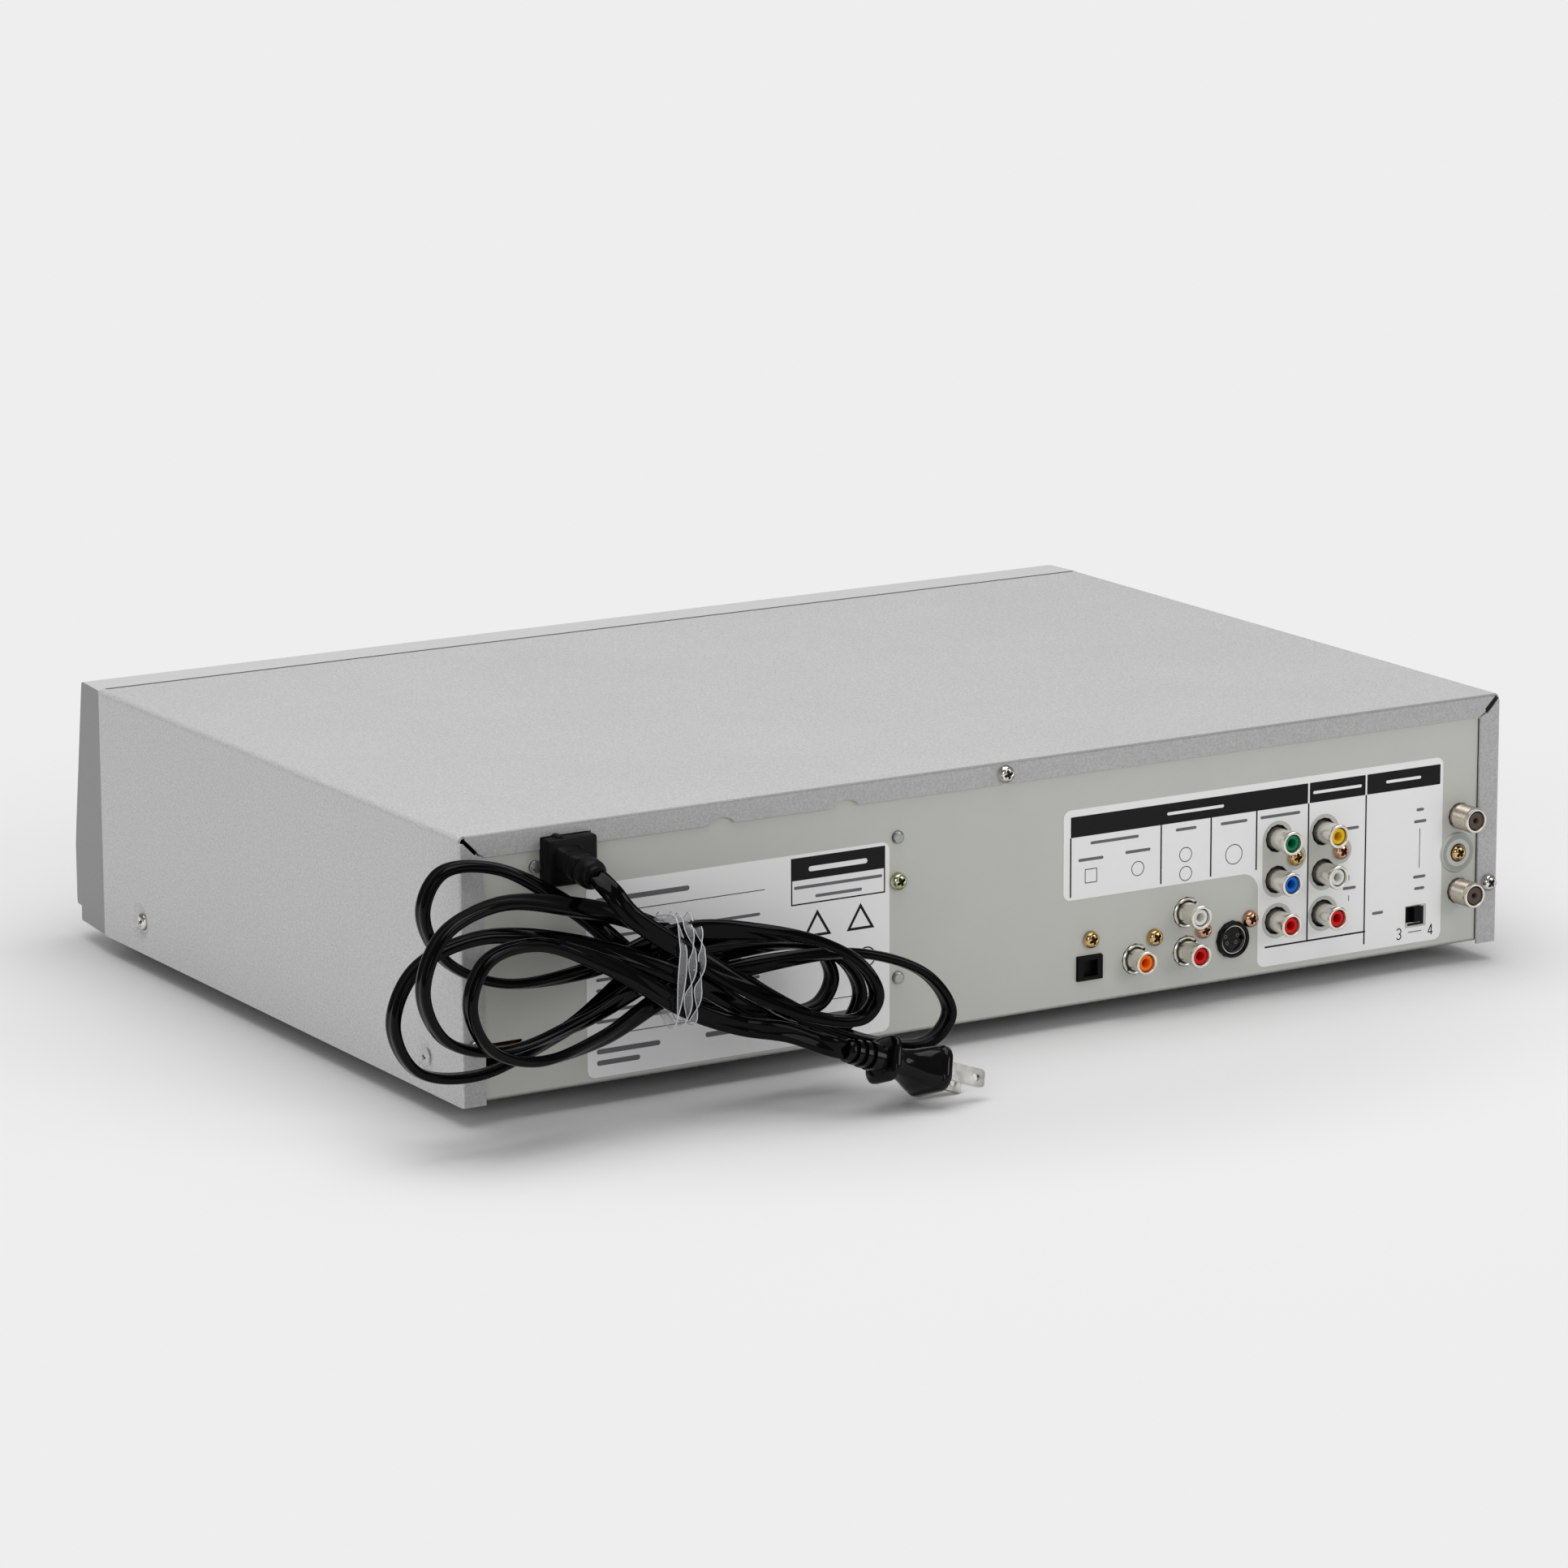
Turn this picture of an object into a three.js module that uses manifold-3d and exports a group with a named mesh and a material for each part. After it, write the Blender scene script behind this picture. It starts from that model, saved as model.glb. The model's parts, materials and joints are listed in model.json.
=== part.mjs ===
// A disc and cassette combination player: sheet metal case, moulded front, tape deck, disc loader,
// rear connectors and the tied mains cord. Millimetres. The front faces -Y, the rear panel +Y, +Z is up,
// and the origin is on the surface it stands on, under the middle of the player without its cord.
import * as THREE from 'three';
import { mergeVertices } from 'three/addons/utils/BufferGeometryUtils.js';
import Module from 'manifold-3d';

const wasm = await Module();
wasm.setup();

// Clearances
const seat = 0.3;
const overrun = 2;
const weld = 0.05;

// Case
const coverHeight = 94;
const coverSheet = 0.9;
const tunerSideRoom = 11.5;
const middleRoom = 39;
const supplySideRoom = 34.5;
const behindDrumRoom = 25.1;
const coverBend = 2.5;
const rearBend = 1.2;
const panelCornerCut = 10.5;
const rearFlange = 8;
const sideFlange = 9;
const mitreSlotLength = 7.6;
const mitreSlotWidth = 1.5;
const mitreSeam = 0.4;
const biteRadius = 7.2;
const biteRise = 2.4;
const biteX = [115.5, 65.5];
const dimpleRadius = 7.5;
const dimpleFloorRadius = 4.4;
const dimpleDepth = 1.6;
const coverScrewRadius = 1.6;
const dimpleFromRear = [251, 28.5];
const dimpleHeight = 11.5;
const footHeight = 7;
const footRadius = 14;
const footTipRadius = 12;
const footInsetX = 48;
const footInsetY = 42;
const footPinRadius = 3;
const chassisSheet = 1;
const chassisWallHeight = 34;
const ventSlotLength = 46;
const ventSlotWidth = 4;
const ventPitch = 16;
const ventCount = 5;
const panelSheet = 0.8;
const panelFold = 6;
const panelRingRadius = 6.9;
const panelRingWidth = 3.4;
const panelRingRise = 0.9;
const panelDimpleRadius = 2.1;
const panelDimpleRise = 0.9;
const panelDimples = [[43.9, 72.2], [43.8, 21.7], [188.2, 80]];
const panelRingFromAntenna = 1;
const cornerNotchWidth = 14.6;
const cornerNotchFromSide = 9.2;
const cornerNotchBottom = 12.5;
const cornerNotchTop = 21;

// Front moulding
const bezelReach = 32.2;
const bezelTopReach = 18.3;
const bezelTopHeight = 93.5;
const bezelWideHeight = 16.1;
const bezelChamferReach = 29.4;
const bezelChamferHeight = 6;
const bezelFootReach = 25;
const bezelFootHeight = 0.4;
const bezelWall = 2.5;
const bezelTaper = 2.6;
const bezelCornerRadius = 4;
const bezelEdgeRadius = 1.6;
const bossRadius = 3;

// Cassette door and the deck behind it
const cassetteWidth = 187;
const cassetteThickness = 25;
const cassetteRoom = 0.8;
const doorHeight = 34;
const doorOverlap = 3.5;
const doorThickness = 2.4;
const doorBottomZ = 55;
const doorGap = 0.8;
const doorPinRadius = 1.5;
const doorPinLength = 3;
const doorPinDrop = 3;
const doorEarSize = 8;
const holderSheet = 1;
const holderDepth = 104;
const holderFromFront = 17.2;
const holderBottomZ = 55;
const holderRail = 22;
const holderLip = 14;
const holderPinRadius = 1.2;
const sliderSheet = 1.2;
const sliderGap = 0.6;
const sliderLength = 60;
const sliderBar = 8;
const frameSheet = 1.2;
const frameBar = 10;
const frameFromFront = 15.2;
const frameLength = 174;
const frameTopZ = 91;
const cassetteTravel = 65;
const cassetteDrop = 22;
const deckZ = 26;
const deckSheet = 1.2;
const deckFromFront = 17.2;
const deckBehindDrum = 1;
const deckMargin = 1.1;
const reelSpacing = 92.4;
const reelFromFront = 132.2;
const reelFlangeRadius = 14;
const reelFlangeHeight = 3;
const reelHubRadius = 8.5;
const reelHubHeight = 6;
const reelSpindleRadius = 4.6;
const reelHeight = 21;
const reelPinRadius = 1.5;
const reelSpline = 1.6;
const drumFromFront = 225.2;
const drumRadius = 31;
const drumTilt = 5.9;
const lowerDrumHeight = 16;
const upperDrumHeight = 16;
const drumHubRadius = 9;
const drumHubHeight = 4;
const drumGap = 0.4;
const capstanFromDeck = 58;
const capstanFromFront = 200.2;
const capstanRadius = 2;
const capstanTop = 30;
const flywheelRadius = 18;
const flywheelHeight = 5;
const pinchRadius = 6;
const pinchHeight = 13;
const pinchBore = 1.8;
const pinchPivotX = 14;
const pinchPivotY = 22;
const pinchSwing = 25;
const pinchArmWidth = 8;
const pinchArmSheet = 1.6;

// Disc loader
const loaderWidth = 150;
const loaderWall = 3;
const loaderFromFront = 1.2;
const loaderLength = 174;
const loaderBottomZ = 45;
const loaderTopZ = 84;
const loaderFloor = 2;
const loaderLip = 3.6;
const loaderLipSheet = 1.6;
const loaderLegRadius = 4;
const trayRoom = 5;
const trayThickness = 6;
const trayZ = 74;
const trayFromLoaderRear = 6;
const discRadius = 60;
const discRecess = 1.8;
const smallDiscRadius = 40;
const smallDiscRecess = 1.1;
const discRoom = 0.5;
const discFromFront = 67.2;
const traySlot = 44;
const frontHeight = 16;
const frontThickness = 4;
const gearTeeth = 18;
const gearModule = 1;
const gearThickness = 3;
const gearBore = 1.5;
const gearBacklash = 0.25;
const gearFromEdge = 14;
const pressureAngle = 20;
const gearRootShare = 1.25;
const trayEdge = 3;
const traverseZ = 68;
const traverseThickness = 3;
const traverseWidth = 74;
const traverseFront = 22;
const traverseRear = 4;
const traversePivotFromFront = 165.2;
const traversePivotRadius = 2;
const traverseLift = 6;
const windowHalf = 22;
const railRadius = 1.5;
const railSpread = 17;
const railHeight = 3.4;
const railStart = 9;
const railEnd = 16;
const railBlock = 5;
const spindleMotorRadius = 11;
const spindleMotorHeight = 5;
const spindleRadius = 1.5;
const turntableRadius = 14;
const turntableHeight = 3;
const turntableRise = 10.2;
const hubRadius = 7.3;
const hubHeight = 2.6;
const sledWidth = 26;
const sledLength = 24;
const sledHeight = 8;
const sledEarRadius = 3;
const sledGap = 16;
const lensRadius = 4;
const lensGap = 24;
const bridgeSheet = 1.2;
const bridgeDepth = 42;
const clamperRadius = 13;
const clamperFlange = 17;
const clamperDrop = 3;
const clamperCap = 1.6;
const clamperRoom = 2;
const clamperWell = 4;

// Boards
const boardThickness = 1.6;
const mainBoardZ = 13;
const mainBoardFromFront = 29.2;
const mainBoardFromRear = 10.1;
const mainBoardSideRoom = 10.5;
const mainChips = [
  [60, 80, 26, 26, 3],
  [120, 70, 18, 30, 3],
  [60, 150, 14, 22, 3],
  [120, 150, 34, 34, 3],
  [170, 110, 20, 12, 4],
];
const mainCans = [[40, 40], [90, 110], [96, 122], [150, 40], [186, 150], [186, 164]];
const smallCanRadius = 3.2;
const smallCanHeight = 5;
const transformerWidth = 44;
const transformerDepth = 38;
const transformerHeight = 34;
const windingRim = 10;
const canRadius = 8;
const canHeight = 30;
const canCount = 2;
const finSheet = 2;
const finCount = 6;
const finReach = 12;
const sinkLength = 60;
const sinkHeight = 40;
const frontBoardFromCover = 10.8;
const frontBoardBottom = 14;
const frontBoardTop = 88;
const switchDepth = 1.6;

// Controls and window on the front
const buttonProud = 1.2;
const buttonFlange = 1.2;
const buttonLip = 1.2;
const transportZ = 42;
const transportWidth = 24;
const transportHeight = 7;
const transportPitch = 29;
const smallWidth = 16;
const smallHeight = 7;
const columnFromDeck = 18;
const discOpenFromSide = 19.5;
const discOpenZ = 78;
const tapeEjectZ = 82;
const sourceZ = 64;
const rockerZ = 38;
const rockerHeight = 22;
const rockerWidth = 12;
const rockerClearance = 0.8;
const rockerDepth = 5;
const powerFromSide = 25.5;
const windowZ = 46;
const windowHeight = 14;
const windowThickness = 2;
const windowLedge = 2;
const frontJackZ = 28;
const frontJackFromDeck = 70;
const frontJackPitch = 18;

// Rear connectors, places seen from the middle of the case and from its lower edge
const antennaReach = 9.3;
const barrelRadius = 4.15;
const barrelBore = 3.3;
const barrelPin = 1.6;
const barrelRecess = 0.9;
const barrelPinDepth = 7;
const longBarrel = 8.7;
const shortBarrel = 6.6;
const baseRingRadius = 5.5;
const baseRingHeight = 0.8;
const jackBlockWidth = 11;
const jackBlockDepth = 13;
const jackPitch = 15.3;
const componentX = -118.4;
const avX = -139;
const lowestJackZ = 20.6;
const audioX = -78.7;
const coaxX = -56.6;
const lowAudioZ = 14.6;
const audioPitch = 14.3;
const opticalX = -36.7;
const opticalZ = 14.2;
const opticalWidth = 10.4;
const opticalHeight = 8.7;
const opticalMouth = 6;
const opticalDepth = 3;
const sVideoX = -98.8;
const sVideoZ = 16.3;
const sVideoRadius = 6.7;
const sVideoWell = 5.3;
const sVideoDepth = 4;
const sVideoPin = 0.7;
const sVideoPinSpread = 2.4;
const antennaFromSide = 17.1;
const antennaZ = [49.5, 21.2];
const antennaRadius = 4.75;
const antennaBore = 3.6;
const antennaPin = 0.6;
const antennaScrewZ = 35.4;
const tunerWidth = 18;
const tunerDepth = 52;
const tunerHeight = 54;
const channelFromAntenna = 20.4;
const channelZ = 14.8;
const channelWindowWidth = 6.9;
const channelWindowHeight = 6.2;
const channelKnob = 3.2;
const channelTravel = 2.6;
const switchHousingDepth = 6;

// Mains inlet and cord
const inletX = 176.8;
const inletZ = 81.7;
const inletWidth = 19.2;
const inletHeight = 16.6;
const inletProud = 5.5;
const inletInside = 9;
const reliefRadius = 5.4;
const reliefNeck = 4.4;
const reliefGroove = 3.9;
const reliefGrooveLength = 1.2;
const reliefBell = 5.3;
const reliefBellLength = 7.2;
const reliefTipRadius = 4.3;
const reliefFrom = [179, 4.5, 83];
const reliefTo = [178, 23.7, 80];
const cordWidth = 7;
const cordThickness = 3.6;
const cordGap = 0.3;
const leadPlaces = [
  [176.236, 30.969, 75.981],
  [170.74, 33.372, 68.172],
];
const waistX = 149;
const waistOut = 26;
const waistZ = 46;
const waistColumn = 4.3;
const waistRow = 7.7;
const waistPlaces = [
  [2.34, 0.797],
  [1.201, 1.7],
  [-1.58, -0.984],
  [-0.489, 0.988],
  [2.015, -0.357],
  [0.395, 0.164],
  [-2.4, 1.333],
  [0.322, -0.989],
  [1.972, -1.7],
];
const rightLobes = [
  [60.036, 12.758, -11.556, 57.185],
  [67.042, 12.959, -15.236, 16.603],
  [73.994, 14.672, -20.823, 23.895],
  [98.487, 16.676, -26.331, 42.593],
];
const leftLobes = [
  [87.126, 20.982, 26.557, 8.518],
  [103.094, 24.491, -8.337, 16.563],
  [103.927, 24.054, 8.49, 39.705],
  [89.971, 20.481, 3.511, 46.154],
];
const lobeSteps = 8;
const lobeEase = 1.15;
const tailPlaces = [
  [130.234, 36.607, 25.108],
  [117.734, 47.42, 23.338],
];
const leadSteps = 6;
const hankLoopSteps = 24;
const hankEndSteps = 2;
const tailSteps = 6;
const gapSteps = 5;
const wayStep = 0.05;
const plugPlace = [65.4, 55.7, 3.8];
const plugAxis = [-0.938, -0.008, -0.346];
const plugApart = [-0.137, 0.927, 0.350];
const plugLength = 38;
const plugStraight = 7;
const plugFlange = 3;
const plugFlangeApart = 23;
const plugFlangeWide = 16;
const plugFlangeCorner = 5;
const plugWing = 20;
const plugWingSheet = 2.4;
const plugWingApart = 18;
const plugWingWide = 16;
const plugWingCorner = 5;
const plugWaist = 6.2;
const plugShoulder = 10.5;
const plugFlatten = 0.72;
const plugRibs = 4;
const bladeSpacing = 12.7;
const bladeLength = 17;
const bladeWidth = 6.35;
const bladeThickness = 1.5;
const bladeRoot = 1.6;
const bladeCorner = 1.6;
const bladeHole = 1.5;
const bladeHoleInset = 3.6;
const tieWidth = 3;
const tieRoom = 1.6;
const tieThickness = 1.2;

// Across the case: the cassette deck beside the disc loader, with room at both sides and between them
const holderHalf = cassetteWidth / 2 + cassetteRoom + holderSheet;
const sliderHalf = holderHalf + sliderGap + sliderSheet;
const frameHalf = sliderHalf + sliderGap + frameSheet;
const deckSpan = (frameHalf + deckMargin) * 2;
const doorWidth = cassetteWidth + doorOverlap * 2;
const trayWidth = loaderWidth - trayRoom * 2;
const coverWidth = tunerSideRoom + deckSpan + middleRoom + loaderWidth + supplySideRoom;
const halfWidth = coverWidth / 2;
const deckX = -halfWidth + tunerSideRoom + deckSpan / 2;
const loaderX = halfWidth - supplySideRoom - loaderWidth / 2;
const capstanX = deckX + capstanFromDeck;
const mainBoardLeft = -halfWidth + mainBoardSideRoom;
const transportFirstX = deckX - transportPitch * 2;
const columnX = deckX + deckSpan / 2 + columnFromDeck;
const discOpenX = halfWidth - discOpenFromSide;
const powerX = -halfWidth + powerFromSide;
const frontJackX = deckX - frontJackFromDeck;
const antennaX = -halfWidth + antennaFromSide;
const channelX = antennaX + channelFromAntenna;
const panelRingX = antennaX + panelRingFromAntenna;
const cornerNotchRight = halfWidth - cornerNotchFromSide;
const cornerNotchLeft = cornerNotchRight - cornerNotchWidth;

// From front to rear: the origin is halfway between the bezel and the tip of the cord's relief
const reliefLean = Math.hypot(reliefTo[0] - reliefFrom[0], reliefTo[2] - reliefFrom[2]);
const reliefLength = Math.hypot(reliefLean, reliefTo[1] - reliefFrom[1]);
const reliefReach = reliefTo[1] + reliefTipRadius * reliefLean / reliefLength;
const coverDepth = drumFromFront + drumRadius + behindDrumRoom;
const rearY = (coverDepth + bezelReach - reliefReach) / 2;
const coverFrontY = rearY - coverDepth;
const holderFrontY = coverFrontY + holderFromFront;
const frameFrontY = coverFrontY + frameFromFront;
const frameRearY = frameFrontY + frameLength;
const deckFrontY = coverFrontY + deckFromFront;
const reelY = coverFrontY + reelFromFront;
const drumY = coverFrontY + drumFromFront;
const deckRearY = drumY + drumRadius + deckBehindDrum;
const capstanY = coverFrontY + capstanFromFront;
const loaderFrontY = coverFrontY + loaderFromFront;
const loaderRearY = loaderFrontY + loaderLength;
const trayRearY = loaderRearY - trayFromLoaderRear;
const discCentreY = coverFrontY + discFromFront;
const traversePivotY = coverFrontY + traversePivotFromFront;
const mainBoardFront = coverFrontY + mainBoardFromFront;
const mainBoardRear = rearY - mainBoardFromRear;
const frontBoardY = coverFrontY - frontBoardFromCover;
const bezelFrontY = coverFrontY - bezelReach;
const caseBottom = footHeight;
const caseTop = footHeight + coverHeight;
const panelY = rearY - coverSheet - seat;
const panelInnerY = panelY - panelSheet;

// Materials
function material(color, roughness, metalness) {
  return new THREE.MeshStandardMaterial({ color, roughness, metalness });
}
const coverPaint = material(0xc2c3c4, 0.45, 0.35);
const bezelPlastic = material(0xc6c7c9, 0.4, 0.2);
const panelPaint = material(0xb2b3a8, 0.55, 0.2);
const zincSteel = material(0xb9bcc0, 0.35, 0.8);
const darkSteel = material(0x6e7276, 0.4, 0.7);
const blackPlastic = material(0x17181a, 0.45, 0);
const glossBlack = material(0x0c0c0d, 0.2, 0);
const silverPlastic = material(0xd0d1d3, 0.35, 0.3);
const greyPlastic = material(0x8d9094, 0.55, 0);
const whitePlastic = material(0xe4e4e0, 0.5, 0);
const boardGreen = material(0x2f6b45, 0.6, 0);
const boardBrown = material(0x8a6a3c, 0.7, 0);
const nickel = material(0xd8d4ca, 0.25, 0.9);
const rubber = material(0x1c1c1c, 0.9, 0);
const smokedWindow = material(0x1f2226, 0.1, 0);
const clearTie = material(0xd9dde0, 0.2, 0);

const group = new THREE.Group();

// Solids from three.js geometry
function solid(geometry) {
  const bare = geometry.clone();
  bare.deleteAttribute('normal');
  bare.deleteAttribute('uv');
  const merged = mergeVertices(bare);
  const position = merged.attributes.position;
  const index = merged.index.array;
  const corners = [new THREE.Vector3(), new THREE.Vector3(), new THREE.Vector3()];
  const kept = [];
  let volume = 0;
  for (let i = 0; i < index.length; i += 3) {
    const [a, b, c] = [index[i], index[i + 1], index[i + 2]];
    if (a === b || b === c || c === a) continue;
    [a, b, c].forEach((vertex, k) => corners[k].fromBufferAttribute(position, vertex));
    volume += corners[0].dot(corners[1].clone().cross(corners[2]));
    kept.push(a, b, c);
  }
  if (volume < 0) kept.reverse();
  return new wasm.Manifold(new wasm.Mesh({
    numProp: 3,
    vertProperties: Float32Array.from(position.array),
    triVerts: Uint32Array.from(kept),
  }));
}

function join(...parts) {
  return parts.reduce((sum, part) => sum.add(part));
}

function cut(body, ...tools) {
  return tools.reduce((rest, tool) => rest.subtract(tool), body);
}

function piece(parent, name, shape, look, x = 0, y = 0, z = 0) {
  const mesh = shape.getMesh();
  const geometry = new THREE.BufferGeometry();
  geometry.setAttribute('position', new THREE.BufferAttribute(mesh.vertProperties, 3));
  geometry.setIndex(new THREE.BufferAttribute(mesh.triVerts, 1));
  geometry.computeVertexNormals();
  const part = new THREE.Mesh(geometry, look);
  part.name = name;
  part.position.set(x, y, z);
  parent.add(part);
  return part;
}

function block(x0, x1, y0, y1, z0, z1) {
  const geometry = new THREE.BoxGeometry(x1 - x0, y1 - y0, z1 - z0);
  geometry.translate((x0 + x1) / 2, (y0 + y1) / 2, (z0 + z1) / 2);
  return solid(geometry);
}

// Outlines become prisms along one axis: along X they hold y and z, along Y x and z, along Z x and y.
function prism(outline, axis, from, to, curveSegments = 4) {
  const shape = outline instanceof THREE.Shape
    ? outline
    : new THREE.Shape(outline.map(([a, b]) => new THREE.Vector2(a, b)));
  const geometry = new THREE.ExtrudeGeometry(shape, { depth: to - from, bevelEnabled: false, curveSegments });
  const turn = new THREE.Matrix4();
  if (axis === 'x') {
    turn.makeBasis(new THREE.Vector3(0, 1, 0), new THREE.Vector3(0, 0, 1), new THREE.Vector3(1, 0, 0));
    turn.setPosition(from, 0, 0);
  }
  if (axis === 'y') {
    turn.makeBasis(new THREE.Vector3(1, 0, 0), new THREE.Vector3(0, 0, 1), new THREE.Vector3(0, -1, 0));
    turn.setPosition(0, to, 0);
  }
  if (axis === 'z') turn.setPosition(0, 0, from);
  geometry.applyMatrix4(turn);
  return solid(geometry);
}

function rounded(x0, x1, y0, y1, radius) {
  const shape = new THREE.Shape();
  shape.moveTo(x0 + radius, y0);
  shape.lineTo(x1 - radius, y0);
  shape.absarc(x1 - radius, y0 + radius, radius, -Math.PI / 2, 0, false);
  shape.lineTo(x1, y1 - radius);
  shape.absarc(x1 - radius, y1 - radius, radius, 0, Math.PI / 2, false);
  shape.lineTo(x0 + radius, y1);
  shape.absarc(x0 + radius, y1 - radius, radius, Math.PI / 2, Math.PI, false);
  shape.lineTo(x0, y0 + radius);
  shape.absarc(x0 + radius, y0 + radius, radius, Math.PI, Math.PI * 1.5, false);
  return shape;
}

function rod(axis, radius, from, to, a, b, sides = 20, endRadius = radius) {
  const geometry = new THREE.CylinderGeometry(endRadius, radius, to - from, sides);
  geometry.translate(0, (from + to) / 2, 0);
  if (axis === 'x') {
    geometry.rotateZ(-Math.PI / 2);
    geometry.translate(0, a, b);
  }
  if (axis === 'y') geometry.translate(a, 0, b);
  if (axis === 'z') {
    geometry.rotateX(Math.PI / 2);
    geometry.translate(a, b, 0);
  }
  return solid(geometry);
}

// A profile of radius and height pairs, closed on itself or on the axis, turned about +Z.
function turned(profile, sides = 24) {
  const points = profile.map(([radius, height]) => new THREE.Vector2(radius, height));
  points.push(points[0].clone());
  const geometry = new THREE.LatheGeometry(points, sides);
  geometry.rotateX(Math.PI / 2);
  return solid(geometry);
}

// The same, turned about +Y and moved to a place on the rear panel.
function turnedOut(profile, x, y, z, sides = 12) {
  const points = profile.map(([radius, height]) => new THREE.Vector2(radius, height));
  points.push(points[0].clone());
  const geometry = new THREE.LatheGeometry(points, sides);
  geometry.translate(x, y, z);
  return solid(geometry);
}

// A round form let into a side of the cover, from one depth and radius to a deeper one
function sideRod(hand, radius, depth, deepRadius, deepDepth, [y, z], sides) {
  const start = hand * (halfWidth - depth);
  const end = hand * (halfWidth - deepDepth);
  return start < end
    ? rod('x', radius, start, end, y, z, sides, deepRadius)
    : rod('x', deepRadius, end, start, y, z, sides, radius);
}

function makeCover() {
  const top = caseTop - coverBend;
  const inner = coverBend - coverSheet;
  const side = halfWidth - coverBend;
  const shell = new THREE.Shape();
  shell.moveTo(-halfWidth, caseBottom);
  shell.lineTo(-halfWidth + coverSheet, caseBottom);
  shell.lineTo(-halfWidth + coverSheet, top);
  shell.absarc(-side, top, inner, Math.PI, Math.PI / 2, true);
  shell.lineTo(side, caseTop - coverSheet);
  shell.absarc(side, top, inner, Math.PI / 2, 0, true);
  shell.lineTo(halfWidth - coverSheet, caseBottom);
  shell.lineTo(halfWidth, caseBottom);
  shell.lineTo(halfWidth, top);
  shell.absarc(side, top, coverBend, 0, Math.PI / 2, false);
  shell.lineTo(-side, caseTop);
  shell.absarc(-side, top, coverBend, Math.PI / 2, Math.PI, false);
  const bendY = rearY - rearBend;
  let cover = prism(shell, 'y', coverFrontY, bendY + weld);

  const innerRear = rearBend - coverSheet;
  const back = new THREE.Shape();
  back.moveTo(bendY, caseTop);
  back.absarc(bendY, caseTop - rearBend, rearBend, Math.PI / 2, 0, true);
  back.lineTo(rearY, caseTop - rearFlange);
  back.lineTo(rearY - coverSheet, caseTop - rearFlange);
  back.lineTo(rearY - coverSheet, caseTop - rearBend);
  back.absarc(bendY, caseTop - rearBend, innerRear, 0, Math.PI / 2, false);
  cover = cover.add(prism(back, 'x', -side, side));

  for (const hand of [-1, 1]) {
    const flange = new THREE.Shape();
    const bendX = hand * (halfWidth - rearBend);
    flange.moveTo(hand * halfWidth, bendY);
    flange.absarc(bendX, bendY, rearBend, hand > 0 ? 0 : Math.PI, Math.PI / 2, hand < 0);
    flange.lineTo(hand * (halfWidth - sideFlange), rearY);
    flange.lineTo(hand * (halfWidth - sideFlange), rearY - coverSheet);
    flange.lineTo(bendX, rearY - coverSheet);
    flange.absarc(bendX, bendY, innerRear, Math.PI / 2, hand > 0 ? 0 : Math.PI, hand > 0);
    cover = cover.add(prism(flange, 'z', caseBottom, top));

    const corner = [hand * (halfWidth - coverBend / 2), caseTop - coverBend / 2];
    const slant = [-hand * Math.SQRT1_2, -Math.SQRT1_2];
    const across = [slant[1] * mitreSlotWidth / 2, -slant[0] * mitreSlotWidth / 2];
    const end = corner.map((value, k) => value + slant[k] * mitreSlotLength);
    const slot = [
      [corner[0] + across[0], corner[1] + across[1]],
      [corner[0] - across[0], corner[1] - across[1]],
      [end[0] - across[0], end[1] - across[1]],
      [end[0] + across[0], end[1] + across[1]],
    ];
    const seamX = hand * (halfWidth - sideFlange);
    const seam = [
      [end[0], end[1] + mitreSeam],
      [seamX - hand * mitreSeam, caseTop - rearFlange + mitreSeam],
      [seamX - hand * mitreSeam, caseTop - rearFlange - mitreSeam],
      [end[0], end[1] - mitreSeam],
    ];
    cover = cut(cover, prism(slot, 'y', bendY - weld, rearY + overrun));
    cover = cut(cover, prism(seam, 'y', bendY + weld, rearY + overrun));

    for (const fromRear of dimpleFromRear) {
      const place = [rearY - fromRear, caseBottom + dimpleHeight];
      const bump = sideRod(
        hand, dimpleRadius + coverSheet, weld,
        dimpleFloorRadius + coverSheet, dimpleDepth + coverSheet, place, 12,
      );
      const bowl = sideRod(hand, dimpleRadius, 0, dimpleFloorRadius, dimpleDepth, place, 12);
      const depth = dimpleDepth + coverSheet + overrun;
      const hole = sideRod(hand, coverScrewRadius, 0, coverScrewRadius, depth, place, 8);
      cover = cut(cover.add(bump), bowl, hole);
    }
  }
  for (const x of biteX) {
    const biteZ = caseTop - rearFlange + biteRise - biteRadius;
    cover = cut(cover, rod('y', biteRadius, rearY - coverBend, rearY + overrun, x, biteZ));
  }
  const inletRoom = inletWidth / 2 + seat;
  cover = cut(cover, block(
    inletX - inletRoom, inletX + inletRoom,
    rearY - coverBend, rearY + overrun,
    caseBottom + inletZ - inletHeight / 2 - seat, caseBottom + inletZ + inletHeight / 2 + seat,
  ));
  piece(group, 'top_cover', cover, coverPaint);
}

const chassisHalf = halfWidth - coverSheet - dimpleDepth - seat;
const footPlaces = {
  front_left: [-halfWidth + footInsetX, coverFrontY + footInsetY],
  front_right: [halfWidth - footInsetX, coverFrontY + footInsetY],
  rear_left: [-halfWidth + footInsetX, rearY - footInsetY],
  rear_right: [halfWidth - footInsetX, rearY - footInsetY],
};

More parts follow.
